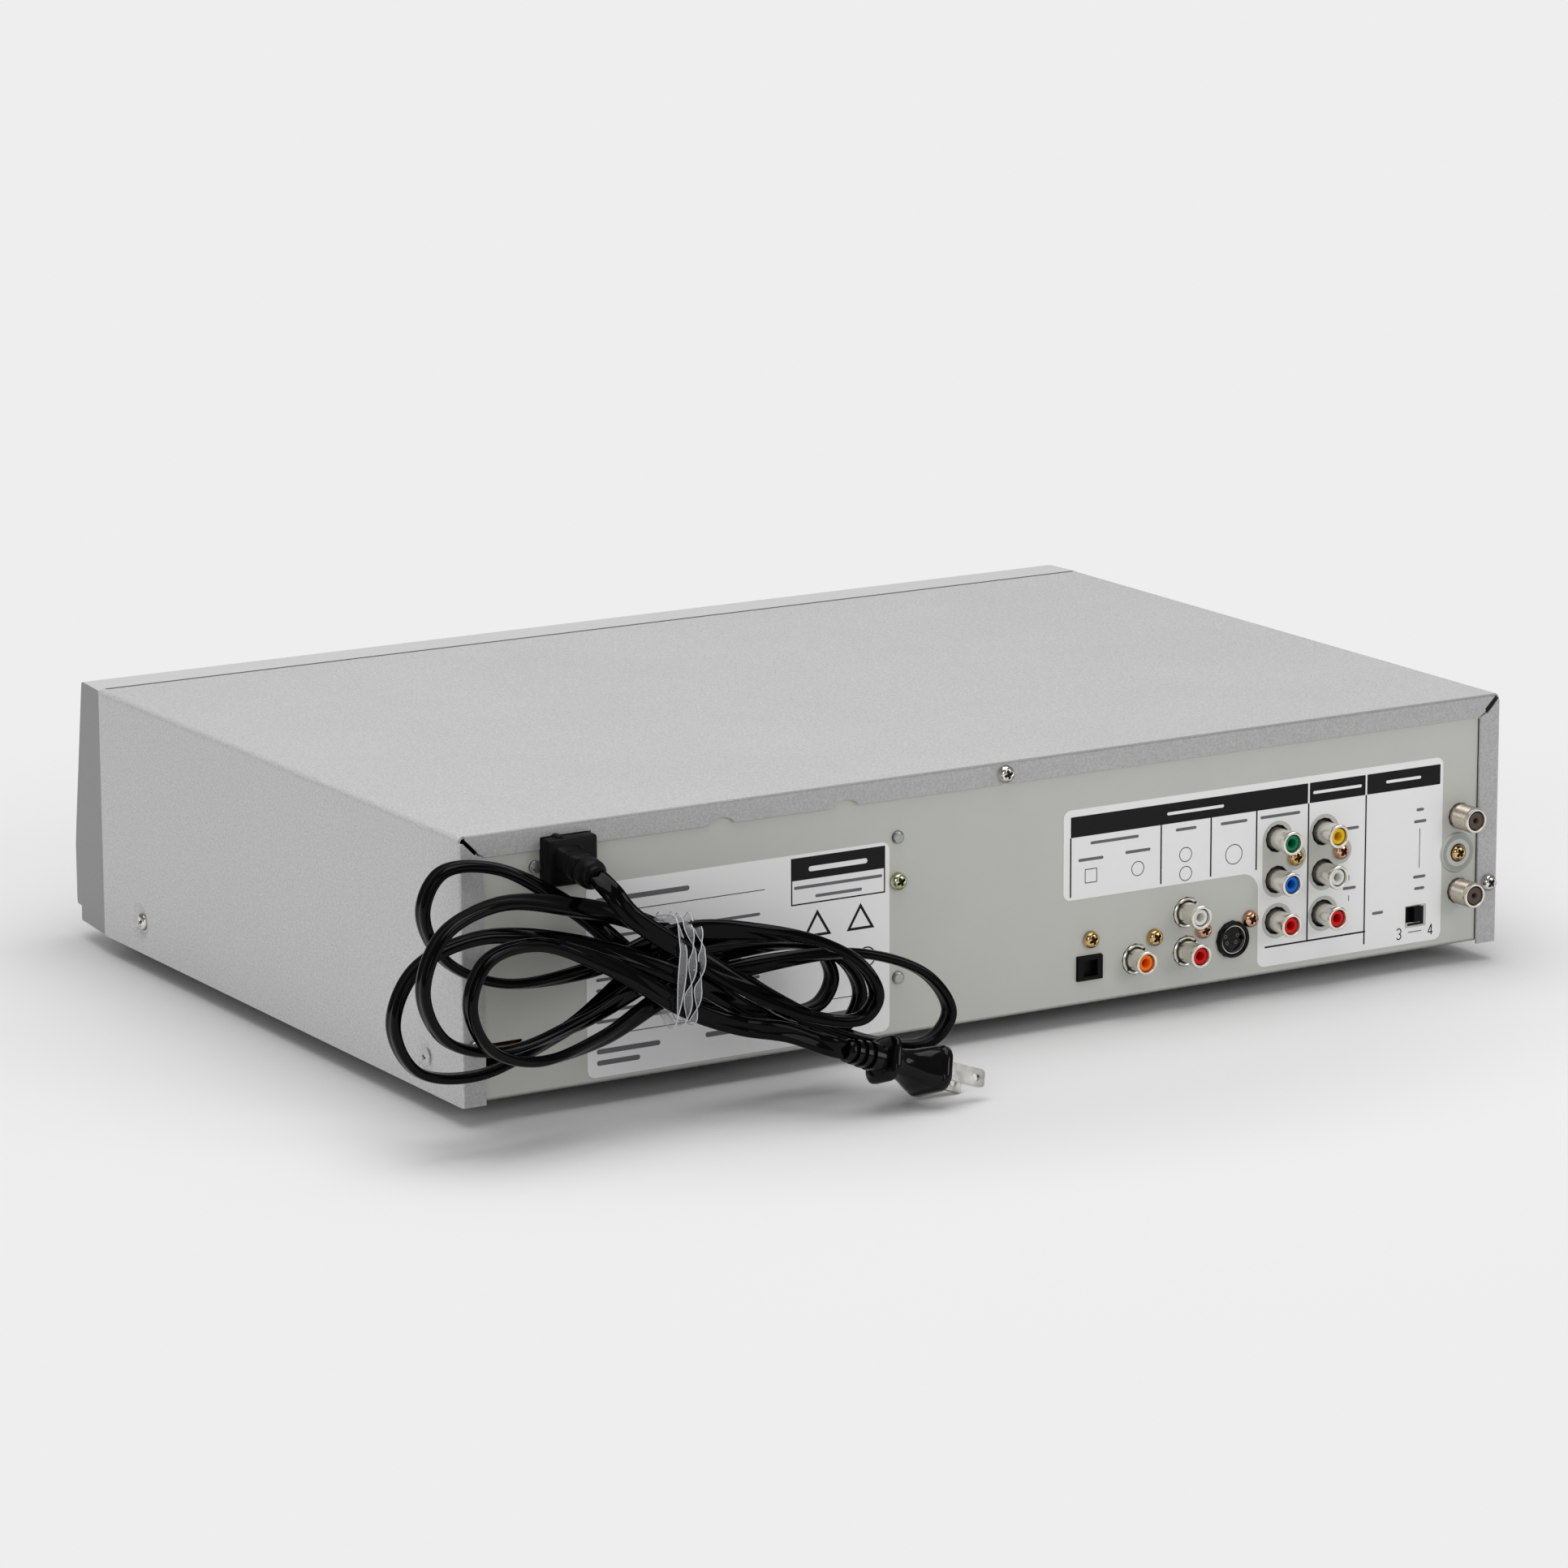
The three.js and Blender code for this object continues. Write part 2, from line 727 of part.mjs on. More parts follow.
function makeChassis() {
  const top = caseBottom + chassisSheet;
  const front = coverFrontY + seat;
  const back = panelInnerY - panelFold - seat;
  let tray = block(-chassisHalf, chassisHalf, front, back, caseBottom, top);
  for (const hand of [-1, 1]) {
    const outer = hand * chassisHalf;
    const inner = hand * (chassisHalf - chassisSheet);
    const wallTop = caseBottom + chassisWallHeight;
    tray = tray.add(block(Math.min(outer, inner), Math.max(outer, inner), front, back, top - weld, wallTop));
    for (let k = 0; k < ventCount; k += 1) {
      const x = hand * (halfWidth / 2) + (k - (ventCount - 1) / 2) * ventPitch;
      const slot = rounded(
        x - ventSlotWidth / 2, x + ventSlotWidth / 2, -ventSlotLength / 2, ventSlotLength / 2,
        ventSlotWidth / 2,
      );
      tray = cut(tray, prism(slot, 'z', caseBottom - overrun, top + overrun, 1));
    }
  }
  for (const [x, y] of Object.values(footPlaces)) {
    tray = cut(tray, rod('z', footPinRadius + seat, caseBottom - overrun, top + overrun, x, y, 12));
  }
  for (const [x, y] of deckPosts) {
    tray = tray.add(rod('z', bossRadius, top - weld, deckZ - seat, x, y, 8));
  }
  for (const [x, y] of boardPosts) {
    tray = tray.add(rod('z', bossRadius, top - weld, mainBoardZ - seat, x, y, 8));
  }
  piece(group, 'bottom_chassis', tray, zincSteel);
}

function makeFeet() {
  const pin = chassisSheet + seat;
  for (const [place, [x, y]] of Object.entries(footPlaces)) {
    const foot = turned([
      [0, 0],
      [footTipRadius, 0],
      [footRadius, footHeight - seat],
      [footPinRadius, footHeight - seat],
      [footPinRadius, footHeight + pin],
      [0, footHeight + pin],
    ], 16);
    piece(group, `foot_${place}`, foot, rubber, x, y, 0);
  }
}

// Where the deck and the boards stand on the chassis
const tunerFrontY = panelInnerY - seat - tunerDepth;
const deckPosts = [
  [deckX - deckSpan / 2 + bossRadius * 2, deckFrontY + bossRadius * 2],
  [deckX + deckSpan / 2 - bossRadius * 2, deckFrontY + bossRadius * 2],
  [deckX - deckSpan / 2 + bossRadius * 2, tunerFrontY - bossRadius * 2],
  [deckX + deckSpan / 2 - bossRadius * 2, tunerFrontY - bossRadius * 2],
];
const boardEdge = deckX + deckSpan / 2 + bossRadius * 6;
const powerBoardLeft = boardEdge + bossRadius * 3;
const powerBoardFront = loaderRearY + bossRadius * 3;
const boardPosts = [
  [deckX, mainBoardFront + bossRadius * 2],
  [deckX, mainBoardRear - bossRadius * 6],
  [powerBoardLeft + bossRadius * 2, powerBoardFront + bossRadius * 2],
  [chassisHalf - bossRadius * 4, powerBoardFront + bossRadius * 2],
];

// Rear panel: connector windows, a raised ring round the antenna screw, pressed dimples, a folded foot
function connectorHoles() {
  const reach = [panelInnerY - overrun, rearY + overrun];
  const hole = (x, z, radius) => rod('y', radius + seat, reach[0], reach[1], x, caseBottom + z, 12);
  const holes = [];
  for (let k = 0; k < 3; k += 1) {
    holes.push(hole(componentX, lowestJackZ + k * jackPitch, barrelRadius + baseRingHeight));
    holes.push(hole(avX, lowestJackZ + k * jackPitch, barrelRadius + baseRingHeight));
  }
  holes.push(hole(audioX, lowAudioZ, baseRingRadius));
  holes.push(hole(audioX, lowAudioZ + audioPitch, baseRingRadius));
  holes.push(hole(coaxX, lowAudioZ, baseRingRadius));
  holes.push(hole(sVideoX, sVideoZ, sVideoRadius));
  antennaZ.forEach((z) => holes.push(hole(antennaX, z, antennaRadius)));
  const slot = (x, z, width, height, gap) => block(
    x - width / 2 - gap, x + width / 2 + gap,
    reach[0], reach[1],
    caseBottom + z - height / 2 - gap, caseBottom + z + height / 2 + gap,
  );
  holes.push(slot(opticalX, opticalZ, opticalWidth, opticalHeight, seat));
  holes.push(slot(channelX, channelZ, channelWindowWidth, channelWindowHeight, 0));
  holes.push(slot(inletX, inletZ, inletWidth - coverSheet * 2, inletHeight - coverSheet * 2, seat));
  return holes;
}

function makePanel() {
  const bottom = caseBottom;
  const top = caseTop - coverBend;
  const half = halfWidth - coverBend;
  const shape = new THREE.Shape();
  shape.moveTo(panelInnerY, top);
  shape.lineTo(panelInnerY, bottom + panelSheet * 2);
  shape.lineTo(panelInnerY - panelFold, bottom + panelSheet * 2);
  shape.lineTo(panelInnerY - panelFold, bottom + panelSheet);
  shape.lineTo(panelY - panelSheet * 2, bottom + panelSheet);
  shape.absarc(panelY - panelSheet * 2, bottom + panelSheet * 3, panelSheet * 2, -Math.PI / 2, 0, false);
  shape.lineTo(panelY, top);
  let panel = prism(shape, 'x', -half, half);
  for (const hand of [-1, 1]) {
    const corner = new THREE.Shape();
    corner.moveTo(hand * half + hand * overrun, top + overrun);
    corner.lineTo(hand * half - hand * panelCornerCut, top + overrun);
    corner.lineTo(hand * half - hand * panelCornerCut, top);
    corner.lineTo(hand * half, top - panelCornerCut);
    corner.lineTo(hand * half + hand * overrun, top - panelCornerCut);
    panel = cut(panel, prism(corner, 'y', panelInnerY - overrun, panelY + overrun));
  }
  const ring = turnedOut([
    [panelRingRadius - panelRingWidth, -weld],
    [panelRingRadius, -weld],
    [panelRingRadius - panelRingWidth / 4, panelRingRise],
    [panelRingRadius - panelRingWidth * 3 / 4, panelRingRise],
  ], panelRingX, panelY, caseBottom + antennaScrewZ);
  panel = panel.add(ring);
  for (const [x, z] of panelDimples) {
    panel = panel.add(turnedOut([
      [0, -weld],
      [panelDimpleRadius, -weld],
      [panelDimpleRadius * Math.SQRT1_2, panelDimpleRise * Math.SQRT1_2],
      [0, panelDimpleRise],
    ], x, panelY, caseBottom + z, 10));
  }
  panel = cut(panel, ...connectorHoles(), block(
    cornerNotchLeft, cornerNotchRight,
    panelInnerY - overrun, rearY + overrun,
    caseBottom + cornerNotchBottom, caseBottom + cornerNotchTop,
  ));
  piece(group, 'rear_panel', panel, panelPaint);
}

// Front moulding. Its face leans back from the widest line near the foot to the top edge.
const bezelTopZ = caseBottom + bezelTopHeight;
const bezelWideZ = caseBottom + bezelWideHeight;
const bezelBackY = coverFrontY - seat;
const faceLean = (bezelReach - bezelTopReach) / (bezelTopHeight - bezelWideHeight);

function faceY(z) {
  return bezelFrontY + (z - bezelWideZ) * faceLean;
}

// A plate parallel to the leaning face, from one depth behind it to another.
function facePlate(x0, x1, z0, z1, near, far) {
  return prism([
    [faceY(z0) + near, z0],
    [faceY(z0) + far, z0],
    [faceY(z1) + far, z1],
    [faceY(z1) + near, z1],
  ], 'x', x0, x1);
}

function faceHole(x0, x1, z0, z1) {
  return facePlate(x0, x1, z0, z1, -overrun, bezelWall * 2 + overrun);
}

const doorHalf = doorWidth / 2;
const doorTopZ = doorBottomZ + doorHeight;
const doorPinZ = doorTopZ - doorPinDrop;
const doorPinY = faceY(doorPinZ) + doorThickness + doorPinRadius;
const trayHalf = loaderWidth / 2;
const frontBottomZ = trayZ + trayThickness / 2 - frontHeight / 2;
const windowHalfWidth = loaderWidth / 2;

const buttons = [];
function addButton(name, x, z, width, height) {
  buttons.push({ name, x, z, width, height });
}
addButton('power_button', powerX, transportZ, smallWidth, smallHeight);
['rewind', 'play', 'fast_forward', 'stop', 'record'].forEach((word, k) => {
  addButton(
    `${word}_button`, transportFirstX + k * transportPitch + transportWidth / 2, transportZ,
    transportWidth, transportHeight,
  );
});
addButton('source_button', columnX, sourceZ, smallWidth, smallHeight);
addButton('tape_eject_button', columnX, tapeEjectZ, smallWidth, smallHeight);
addButton('disc_open_button', discOpenX, discOpenZ, smallWidth, smallHeight);

function bezelPlan(inset) {
  const half = halfWidth - inset;
  const frontHalf = half - bezelTaper;
  const front = bezelFrontY + inset;
  const radius = bezelCornerRadius;
  const plan = new THREE.Shape();
  plan.moveTo(-half, bezelBackY);
  plan.lineTo(-frontHalf, front + radius);
  plan.quadraticCurveTo(-frontHalf, front, -frontHalf + radius, front);
  plan.lineTo(frontHalf - radius, front);
  plan.quadraticCurveTo(frontHalf, front, frontHalf, front + radius);
  plan.lineTo(half, bezelBackY);
  return plan;
}

function bezelSide(inset, back) {
  const top = bezelTopZ - inset;
  const edge = bezelEdgeRadius;
  const topFrontY = faceY(top) + inset;
  const wide = bezelWideZ + inset / 2;
  const bottom = caseBottom + bezelFootHeight + inset;
  const side = new THREE.Shape();
  side.moveTo(back, top);
  side.lineTo(back, bottom);
  side.lineTo(coverFrontY - bezelFootReach + inset, bottom);
  side.lineTo(coverFrontY - bezelFootReach + inset, caseBottom + bezelChamferHeight + inset);
  side.lineTo(coverFrontY - bezelChamferReach + inset, caseBottom + bezelChamferHeight + inset);
  side.lineTo(faceY(wide) + inset, wide);
  side.lineTo(topFrontY - edge * faceLean, top - edge);
  side.quadraticCurveTo(topFrontY, top, topFrontY + edge, top);
  return side;
}

function doorEar(hand) {
  const inner = deckX + hand * (doorHalf + doorGap);
  const outer = inner + hand * (doorPinLength + seat);
  return block(
    Math.min(inner, outer), Math.max(inner, outer),
    faceY(doorPinZ) + bezelWall / 2, doorPinY + doorEarSize / 2,
    doorPinZ - doorEarSize / 2, doorPinZ + doorEarSize / 2,
  );
}

function makeBezel() {
  const back = bezelBackY + overrun;
  let bezel = prism(bezelSide(0, bezelBackY), 'x', -halfWidth, halfWidth)
    .intersect(prism(bezelPlan(0), 'z', 0, caseTop));
  const hollow = prism(bezelSide(bezelWall, back), 'x', -halfWidth, halfWidth)
    .intersect(prism(bezelPlan(bezelWall), 'z', 0, caseTop));
  bezel = cut(bezel, hollow, block(
    -halfWidth + bezelWall, halfWidth - bezelWall,
    bezelBackY - overrun, bezelBackY + overrun,
    caseBottom + bezelFootHeight + bezelWall, bezelTopZ - bezelWall,
  ));
  bezel = cut(
    bezel,
    faceHole(
      deckX - doorHalf - doorGap, deckX + doorHalf + doorGap, doorBottomZ - doorGap,
      doorTopZ + doorGap,
    ),
  );
  bezel = cut(
    bezel,
    faceHole(
      loaderX - trayHalf - seat, loaderX + trayHalf + seat, frontBottomZ - seat,
      frontBottomZ + frontHeight + seat,
    ),
  );
  const windowLeft = loaderX - windowHalfWidth;
  const windowRight = loaderX + windowHalfWidth;
  bezel = cut(
    bezel,
    facePlate(
      windowLeft - seat, windowRight + seat, windowZ - seat, windowZ + windowHeight + seat,
      -overrun, windowThickness + seat,
    ),
  );
  bezel = cut(
    bezel,
    faceHole(
      windowLeft + windowLedge, windowRight - windowLedge, windowZ + windowLedge,
      windowZ + windowHeight - windowLedge,
    ),
  );
  for (const { x, z, width, height } of buttons) {
    bezel = cut(
      bezel,
      faceHole(x - width / 2 - seat, x + width / 2 + seat, z - height / 2 - seat, z + height / 2 + seat),
    );
  }
  const rockerRoomX = rockerWidth / 2 + rockerClearance;
  const rockerRoomZ = rockerHeight / 2 + rockerClearance;
  bezel = cut(
    bezel,
    faceHole(columnX - rockerRoomX, columnX + rockerRoomX, rockerZ - rockerRoomZ, rockerZ + rockerRoomZ),
  );
  for (let k = 0; k < 3; k += 1) {
    bezel = cut(
      bezel,
      rod(
        'y', barrelRadius + seat, bezelFrontY - overrun, frontBoardY,
        frontJackX + k * frontJackPitch, frontJackZ, 14,
      ),
    );
  }
  bezel = join(bezel, doorEar(-1), doorEar(1));
  const pinReach = doorHalf + doorGap + doorPinLength + seat + overrun;
  bezel = cut(
    bezel,
    rod('x', doorPinRadius + seat, deckX - pinReach, deckX + pinReach, doorPinY, doorPinZ, 16),
  );
  for (const [x, z] of frontPosts) {
    bezel = bezel.add(rod('y', bossRadius, faceY(z) + bezelWall, frontBoardY - seat, x, z, 12));
  }
  piece(group, 'front_bezel', bezel, bezelPlastic);
}

const frontBoardHalf = halfWidth - bezelWall - bezelTaper - bossRadius * 2;
const frontPosts = [
  [-frontBoardHalf + bossRadius * 2, frontBoardBottom + bossRadius * 2],
  [frontBoardHalf - bossRadius * 2, frontBoardBottom + bossRadius * 2],
  [columnX + bossRadius * 5, frontBoardBottom + bossRadius * 2],
];

function makeFrontBoard() {
  const board = block(
    -frontBoardHalf, frontBoardHalf, frontBoardY, frontBoardY + boardThickness,
    frontBoardBottom, frontBoardTop,
  );
  const displayHalf = windowHalfWidth - windowLedge * 4;
  const display = block(
    loaderX - displayHalf, loaderX + displayHalf,
    frontBoardY - bossRadius * 2, frontBoardY + weld,
    windowZ + windowLedge, windowZ + windowHeight - windowLedge,
  );
  const loaderRoom = block(
    loaderX - trayHalf - loaderWall, loaderX + trayHalf + loaderWall,
    frontBoardY - overrun, frontBoardY + boardThickness + overrun,
    windowZ + windowHeight + seat, frontBoardTop + overrun,
  );
  const doorRoom = block(
    deckX - doorHalf - doorEarSize, deckX + doorHalf + doorEarSize,
    frontBoardY - overrun, frontBoardY + boardThickness + overrun,
    doorBottomZ - doorEarSize, frontBoardTop + overrun,
  );
  piece(group, 'front_board', cut(join(board, display), loaderRoom, doorRoom), boardBrown);
}

function makeWindow() {
  const left = loaderX - windowHalfWidth;
  const right = loaderX + windowHalfWidth;
  piece(
    group, 'display_window',
    facePlate(left, right, windowZ, windowZ + windowHeight, 0, windowThickness), smokedWindow,
  );
}

// Each button has a cap through the face and a lip behind it that keeps it in.
function makeButtons() {
  for (const { name, x, z, width, height } of buttons) {
    const low = z - height / 2;
    const high = z + height / 2;
    const stem = frontBoardY - switchDepth;
    const cap = prism([
      [faceY(low) - buttonProud, low],
      [stem, low],
      [stem, high],
      [faceY(high) - buttonProud, high],
    ], 'x', x - width / 2, x + width / 2);
    const lip = facePlate(
      x - width / 2 - buttonLip, x + width / 2 + buttonLip,
      low - buttonLip, high + buttonLip,
      bezelWall + seat, bezelWall + seat + buttonFlange,
    );
    piece(group, name, join(cap, lip), silverPlastic);
  }
  const low = rockerZ - rockerHeight / 2;
  const high = rockerZ + rockerHeight / 2;
  const rocker = facePlate(
    columnX - rockerWidth / 2, columnX + rockerWidth / 2, low, high, -buttonProud, rockerDepth,
  );
  const dish = rod(
    'x', rockerHeight * 2, columnX - rockerWidth, columnX + rockerWidth,
    faceY(rockerZ) - buttonProud - rockerHeight * 2 + seat, rockerZ, 64,
  );
  piece(group, 'channel_rocker', cut(rocker, dish), silverPlastic);
}

function makeFrontJacks() {
  let jacks = block(
    frontJackX - jackBlockWidth / 2, frontJackX + frontJackPitch * 2 + jackBlockWidth / 2,
    faceY(frontJackZ) + bezelWall + seat + buttonLip, frontBoardY - seat,
    frontJackZ - jackBlockWidth / 2, frontJackZ + jackBlockWidth / 2,
  );
  for (let k = 0; k < 3; k += 1) {
    const x = frontJackX + k * frontJackPitch;
    const front = faceY(frontJackZ) + barrelRecess;
    jacks = jacks.add(rod('y', barrelRadius, front, frontBoardY - bossRadius, x, frontJackZ, 14));
    jacks = cut(jacks, rod('y', barrelBore, front - overrun, front + barrelRecess, x, frontJackZ, 14));
    jacks = cut(jacks, rod('y', barrelPin, front - overrun, front + barrelPinDepth, x, frontJackZ, 10));
  }
  piece(group, 'front_jacks', jacks, blackPlastic);
}

// Cassette door, hinged along its top edge
function makeDoor() {
  const left = deckX - doorHalf;
  const right = deckX + doorHalf;
  let door = facePlate(left, right, doorBottomZ, doorTopZ, 0, doorThickness);
  for (const hand of [-1, 1]) {
    const inner = deckX + hand * (doorHalf - doorPinLength);
    const tip = deckX + hand * (doorHalf + doorGap + doorPinLength);
    const low = Math.min(inner, tip);
    const high = Math.max(inner, tip);
    const lug = block(
      Math.min(inner, deckX + hand * doorHalf), Math.max(inner, deckX + hand * doorHalf),
      doorPinY - doorPinRadius * 2, doorPinY + doorPinRadius,
      doorPinZ - doorPinRadius, doorPinZ + doorPinRadius,
    );
    door = join(door, lug, rod('x', doorPinRadius, low, high, doorPinY, doorPinZ, 16));
  }
  const grip = rod(
    'x', doorThickness, left - overrun, right + overrun, faceY(doorBottomZ) - doorThickness / 2,
    doorBottomZ - doorThickness / 4, 16,
  );
  piece(group, 'cassette_door', cut(door, grip), bezelPlastic);
}

// Tape deck
const deckTop = deckZ + deckSheet;
const pinchRadial = capstanRadius + pinchRadius + seat;
const bushingRadius = pinchRadial - pinchBore - pinchArmSheet - seat * 2;
const bushingHeight = pinchArmSheet;
const pinchPivot = [capstanX + pinchPivotX + pinchRadial, capstanY + pinchPivotY];
const pinchReach = Math.hypot(pinchPivotX, pinchPivotY);
const pinchAngle = Math.atan2(-pinchPivotY, -pinchPivotX) + THREE.MathUtils.degToRad(pinchSwing);
const pinchPlace = [
  pinchPivot[0] + pinchReach * Math.cos(pinchAngle),
  pinchPivot[1] + pinchReach * Math.sin(pinchAngle),
];
const reelX = [deckX - reelSpacing / 2, deckX + reelSpacing / 2];

function makeDeck() {
  const half = deckSpan / 2;
  let plate = prism(
    rounded(deckX - half, deckX + half, deckFrontY, deckRearY, bossRadius),
    'z', deckZ, deckTop, 3,
  );
  const wellHalf = reelSpacing / 4;
  plate = cut(plate, prism(
    rounded(
      deckX - wellHalf, deckX + wellHalf, deckFrontY + reelFlangeRadius,
      reelY - reelFlangeRadius, bossRadius,
    ),
    'z', deckZ - overrun, deckTop + overrun, 3,
  ));
  plate = plate.add(rod('z', bushingRadius, deckTop - weld, deckTop + bushingHeight, capstanX, capstanY, 16));
  plate = cut(
    plate,
    rod(
      'z', capstanRadius + seat, deckZ - overrun, deckTop + bushingHeight + overrun, capstanX,
      capstanY, 16,
    ),
  );
  for (const x of reelX) {
    plate = plate.add(rod('z', reelPinRadius, deckTop - weld, deckTop + reelHeight / 2, x, reelY, 12));
  }
  plate = plate.add(rod(
    'z', reelPinRadius, deckTop - weld, deckTop + pinchHeight, pinchPivot[0], pinchPivot[1], 12,
  ));
  plate = cut(plate, block(
    deckX - half - overrun, antennaX + tunerWidth / 2 + bossRadius,
    tunerFrontY - bossRadius, deckRearY + overrun,
    deckZ - overrun, deckTop + overrun,
  ));
  piece(group, 'deck_chassis', plate, zincSteel);
}

function makeReels() {
  const bore = reelPinRadius + seat;
  const boreTop = reelHeight / 2 + seat * 2;
  ['supply_reel', 'take_up_reel'].forEach((name, k) => {
    let reel = turned([
      [bore, 0],
      [reelFlangeRadius, 0],
      [reelFlangeRadius, reelFlangeHeight],
      [reelHubRadius, reelFlangeHeight],
      [reelHubRadius, reelFlangeHeight + reelHubHeight],
      [reelSpindleRadius, reelFlangeHeight + reelHubHeight],
      [reelSpindleRadius, reelHeight - reelSpindleRadius],
      [reelSpindleRadius / 2, reelHeight],
      [0, reelHeight],
      [0, boreTop],
      [bore, boreTop],
    ], 14);
    for (let spline = 0; spline < 3; spline += 1) {
      const fin = new THREE.BoxGeometry(reelSpindleRadius + reelSpline, reelSpline, reelHubHeight);
      fin.translate((reelSpindleRadius + reelSpline) / 2, 0, reelFlangeHeight + reelHubHeight * 3 / 2 - weld);
      fin.rotateZ(spline * Math.PI * 2 / 3);
      reel = reel.add(cut(solid(fin), rod('z', bore + seat, 0, boreTop, 0, 0, 16)));
    }
    piece(group, name, reel, whitePlastic, reelX[k], reelY, deckTop + seat);
  });
}

// The head drum leans, as the tracks it writes are slanted. Its base is cut level where it stands on the deck.
function makeDrum() {
  const tilt = THREE.MathUtils.degToRad(drumTilt);
  const drum = new THREE.Group();
  drum.position.set(deckX, drumY, deckTop + seat);
  drum.rotation.x = -tilt;
  group.add(drum);
  const dip = drumRadius * Math.tan(tilt) + seat;
  const baseTop = dip + lowerDrumHeight;
  const shaftTop = baseTop + upperDrumHeight / 2;
  const base = turned([
    [0, -dip],
    [drumRadius, -dip],
    [drumRadius, baseTop],
    [capstanRadius, baseTop],
    [capstanRadius, shaftTop],
    [0, shaftTop],
  ], 28);
  const below = new THREE.BoxGeometry(drumRadius * 3, drumRadius * 3, drumRadius);
  below.translate(0, 0, -drumRadius / 2);
  below.rotateX(tilt);
  piece(drum, 'drum_base', cut(base, solid(below)), nickel);

  const low = baseTop + drumGap;
  const bore = capstanRadius + seat;
  const boreTop = shaftTop + seat;
  const head = turned([
    [bore, low],
    [drumRadius, low],
    [drumRadius, low + upperDrumHeight],
    [drumHubRadius, low + upperDrumHeight],
    [drumHubRadius, low + upperDrumHeight + drumHubHeight],
    [0, low + upperDrumHeight + drumHubHeight],
    [0, boreTop],
    [bore, boreTop],
  ], 28);
  piece(drum, 'head_drum', head, nickel);
}

// The capstan's shaft stands up through its bushing, with the flywheel under the deck.
function makeCapstan() {
  const below = deckZ - seat - flywheelHeight;
  const capstan = turned([
    [0, below],
    [flywheelRadius, below],
    [flywheelRadius, below + flywheelHeight],
    [capstanRadius, below + flywheelHeight],
    [capstanRadius, deckTop + capstanTop],
    [0, deckTop + capstanTop],
  ]);
  piece(group, 'capstan', capstan, darkSteel, capstanX, capstanY, 0);
}

function makePinch() {
  const [pivotX, pivotY] = pinchPivot;
  const bore = reelPinRadius + seat;
  const eye = rod('z', bore + pinchArmSheet, 0, pinchArmSheet, 0, 0, 16);
  const tip = [pinchPlace[0] - pivotX, pinchPlace[1] - pivotY];
  const end = rod('z', pinchBore + pinchArmSheet, 0, pinchArmSheet, tip[0], tip[1], 16);
  const side = [-tip[1] / pinchReach * pinchArmWidth / 4, tip[0] / pinchReach * pinchArmWidth / 4];
  const bar = prism([
    [side[0], side[1]],
    [-side[0], -side[1]],
    [tip[0] - side[0], tip[1] - side[1]],
    [tip[0] + side[0], tip[1] + side[1]],
  ], 'z', 0, pinchArmSheet);
  const pin = rod(
    'z', pinchBore - seat, pinchArmSheet - weld, pinchHeight + pinchArmSheet,
    tip[0], tip[1], 12,
  );
  const arm = cut(join(eye, end, bar, pin), rod('z', bore, -overrun, pinchArmSheet + overrun, 0, 0, 16));
  piece(group, 'pinch_arm', arm, zincSteel, pivotX, pivotY, deckTop + seat);
  const roller = turned([
    [pinchBore, 0],
    [pinchRadius, 0],
    [pinchRadius, pinchHeight],
    [pinchBore, pinchHeight],
  ], 20);
  piece(
    group, 'pinch_roller', roller, rubber, pinchPlace[0], pinchPlace[1],
    deckTop + pinchArmSheet + seat * 2,
  );
}

// The holder takes the cassette. It rides on the slider, which runs back in the frame's slots.
const holderTopZ = holderBottomZ + holderSheet * 2 + cassetteThickness + cassetteRoom;
const pinZ = holderTopZ - holderRail / 2;
const sliderPinZ = holderTopZ - holderPinRadius * 2;
const sliderMiddleY = holderFrontY + holderDepth / 2;

function makeHolder() {
  const left = deckX - holderHalf;
  const right = deckX + holderHalf;
  const rear = holderFrontY + holderDepth;
  let holder = block(left, right, holderFrontY, rear, holderBottomZ, holderTopZ);
  holder = cut(holder, block(
    left + holderSheet, right - holderSheet,
    holderFrontY - overrun, rear + overrun,
    holderBottomZ + holderSheet, holderTopZ - holderSheet,
  ));
  holder = cut(holder, block(
    left + holderRail, right - holderRail,
    holderFrontY + holderLip, rear + overrun,
    holderBottomZ - overrun, holderBottomZ + holderSheet + overrun,
  ));
  const openHalf = holderHalf - holderRail;
  holder = cut(holder, prism(
    rounded(deckX - openHalf, deckX + openHalf, holderFrontY + holderLip, rear - holderLip, holderLip / 2),
    'z', holderTopZ - holderSheet - overrun, holderTopZ + overrun, 4,
  ));
  for (const hand of [-1, 1]) {
    const from = deckX + hand * (holderHalf - weld);
    const to = deckX + hand * (sliderHalf + sliderGap / 2);
    for (const y of [sliderMiddleY - sliderLength / 3, sliderMiddleY + sliderLength / 3]) {
      holder = holder.add(rod('x', holderPinRadius, Math.min(from, to), Math.max(from, to), y, pinZ, 10));
    }
  }
  piece(group, 'cassette_holder', holder, zincSteel);
}

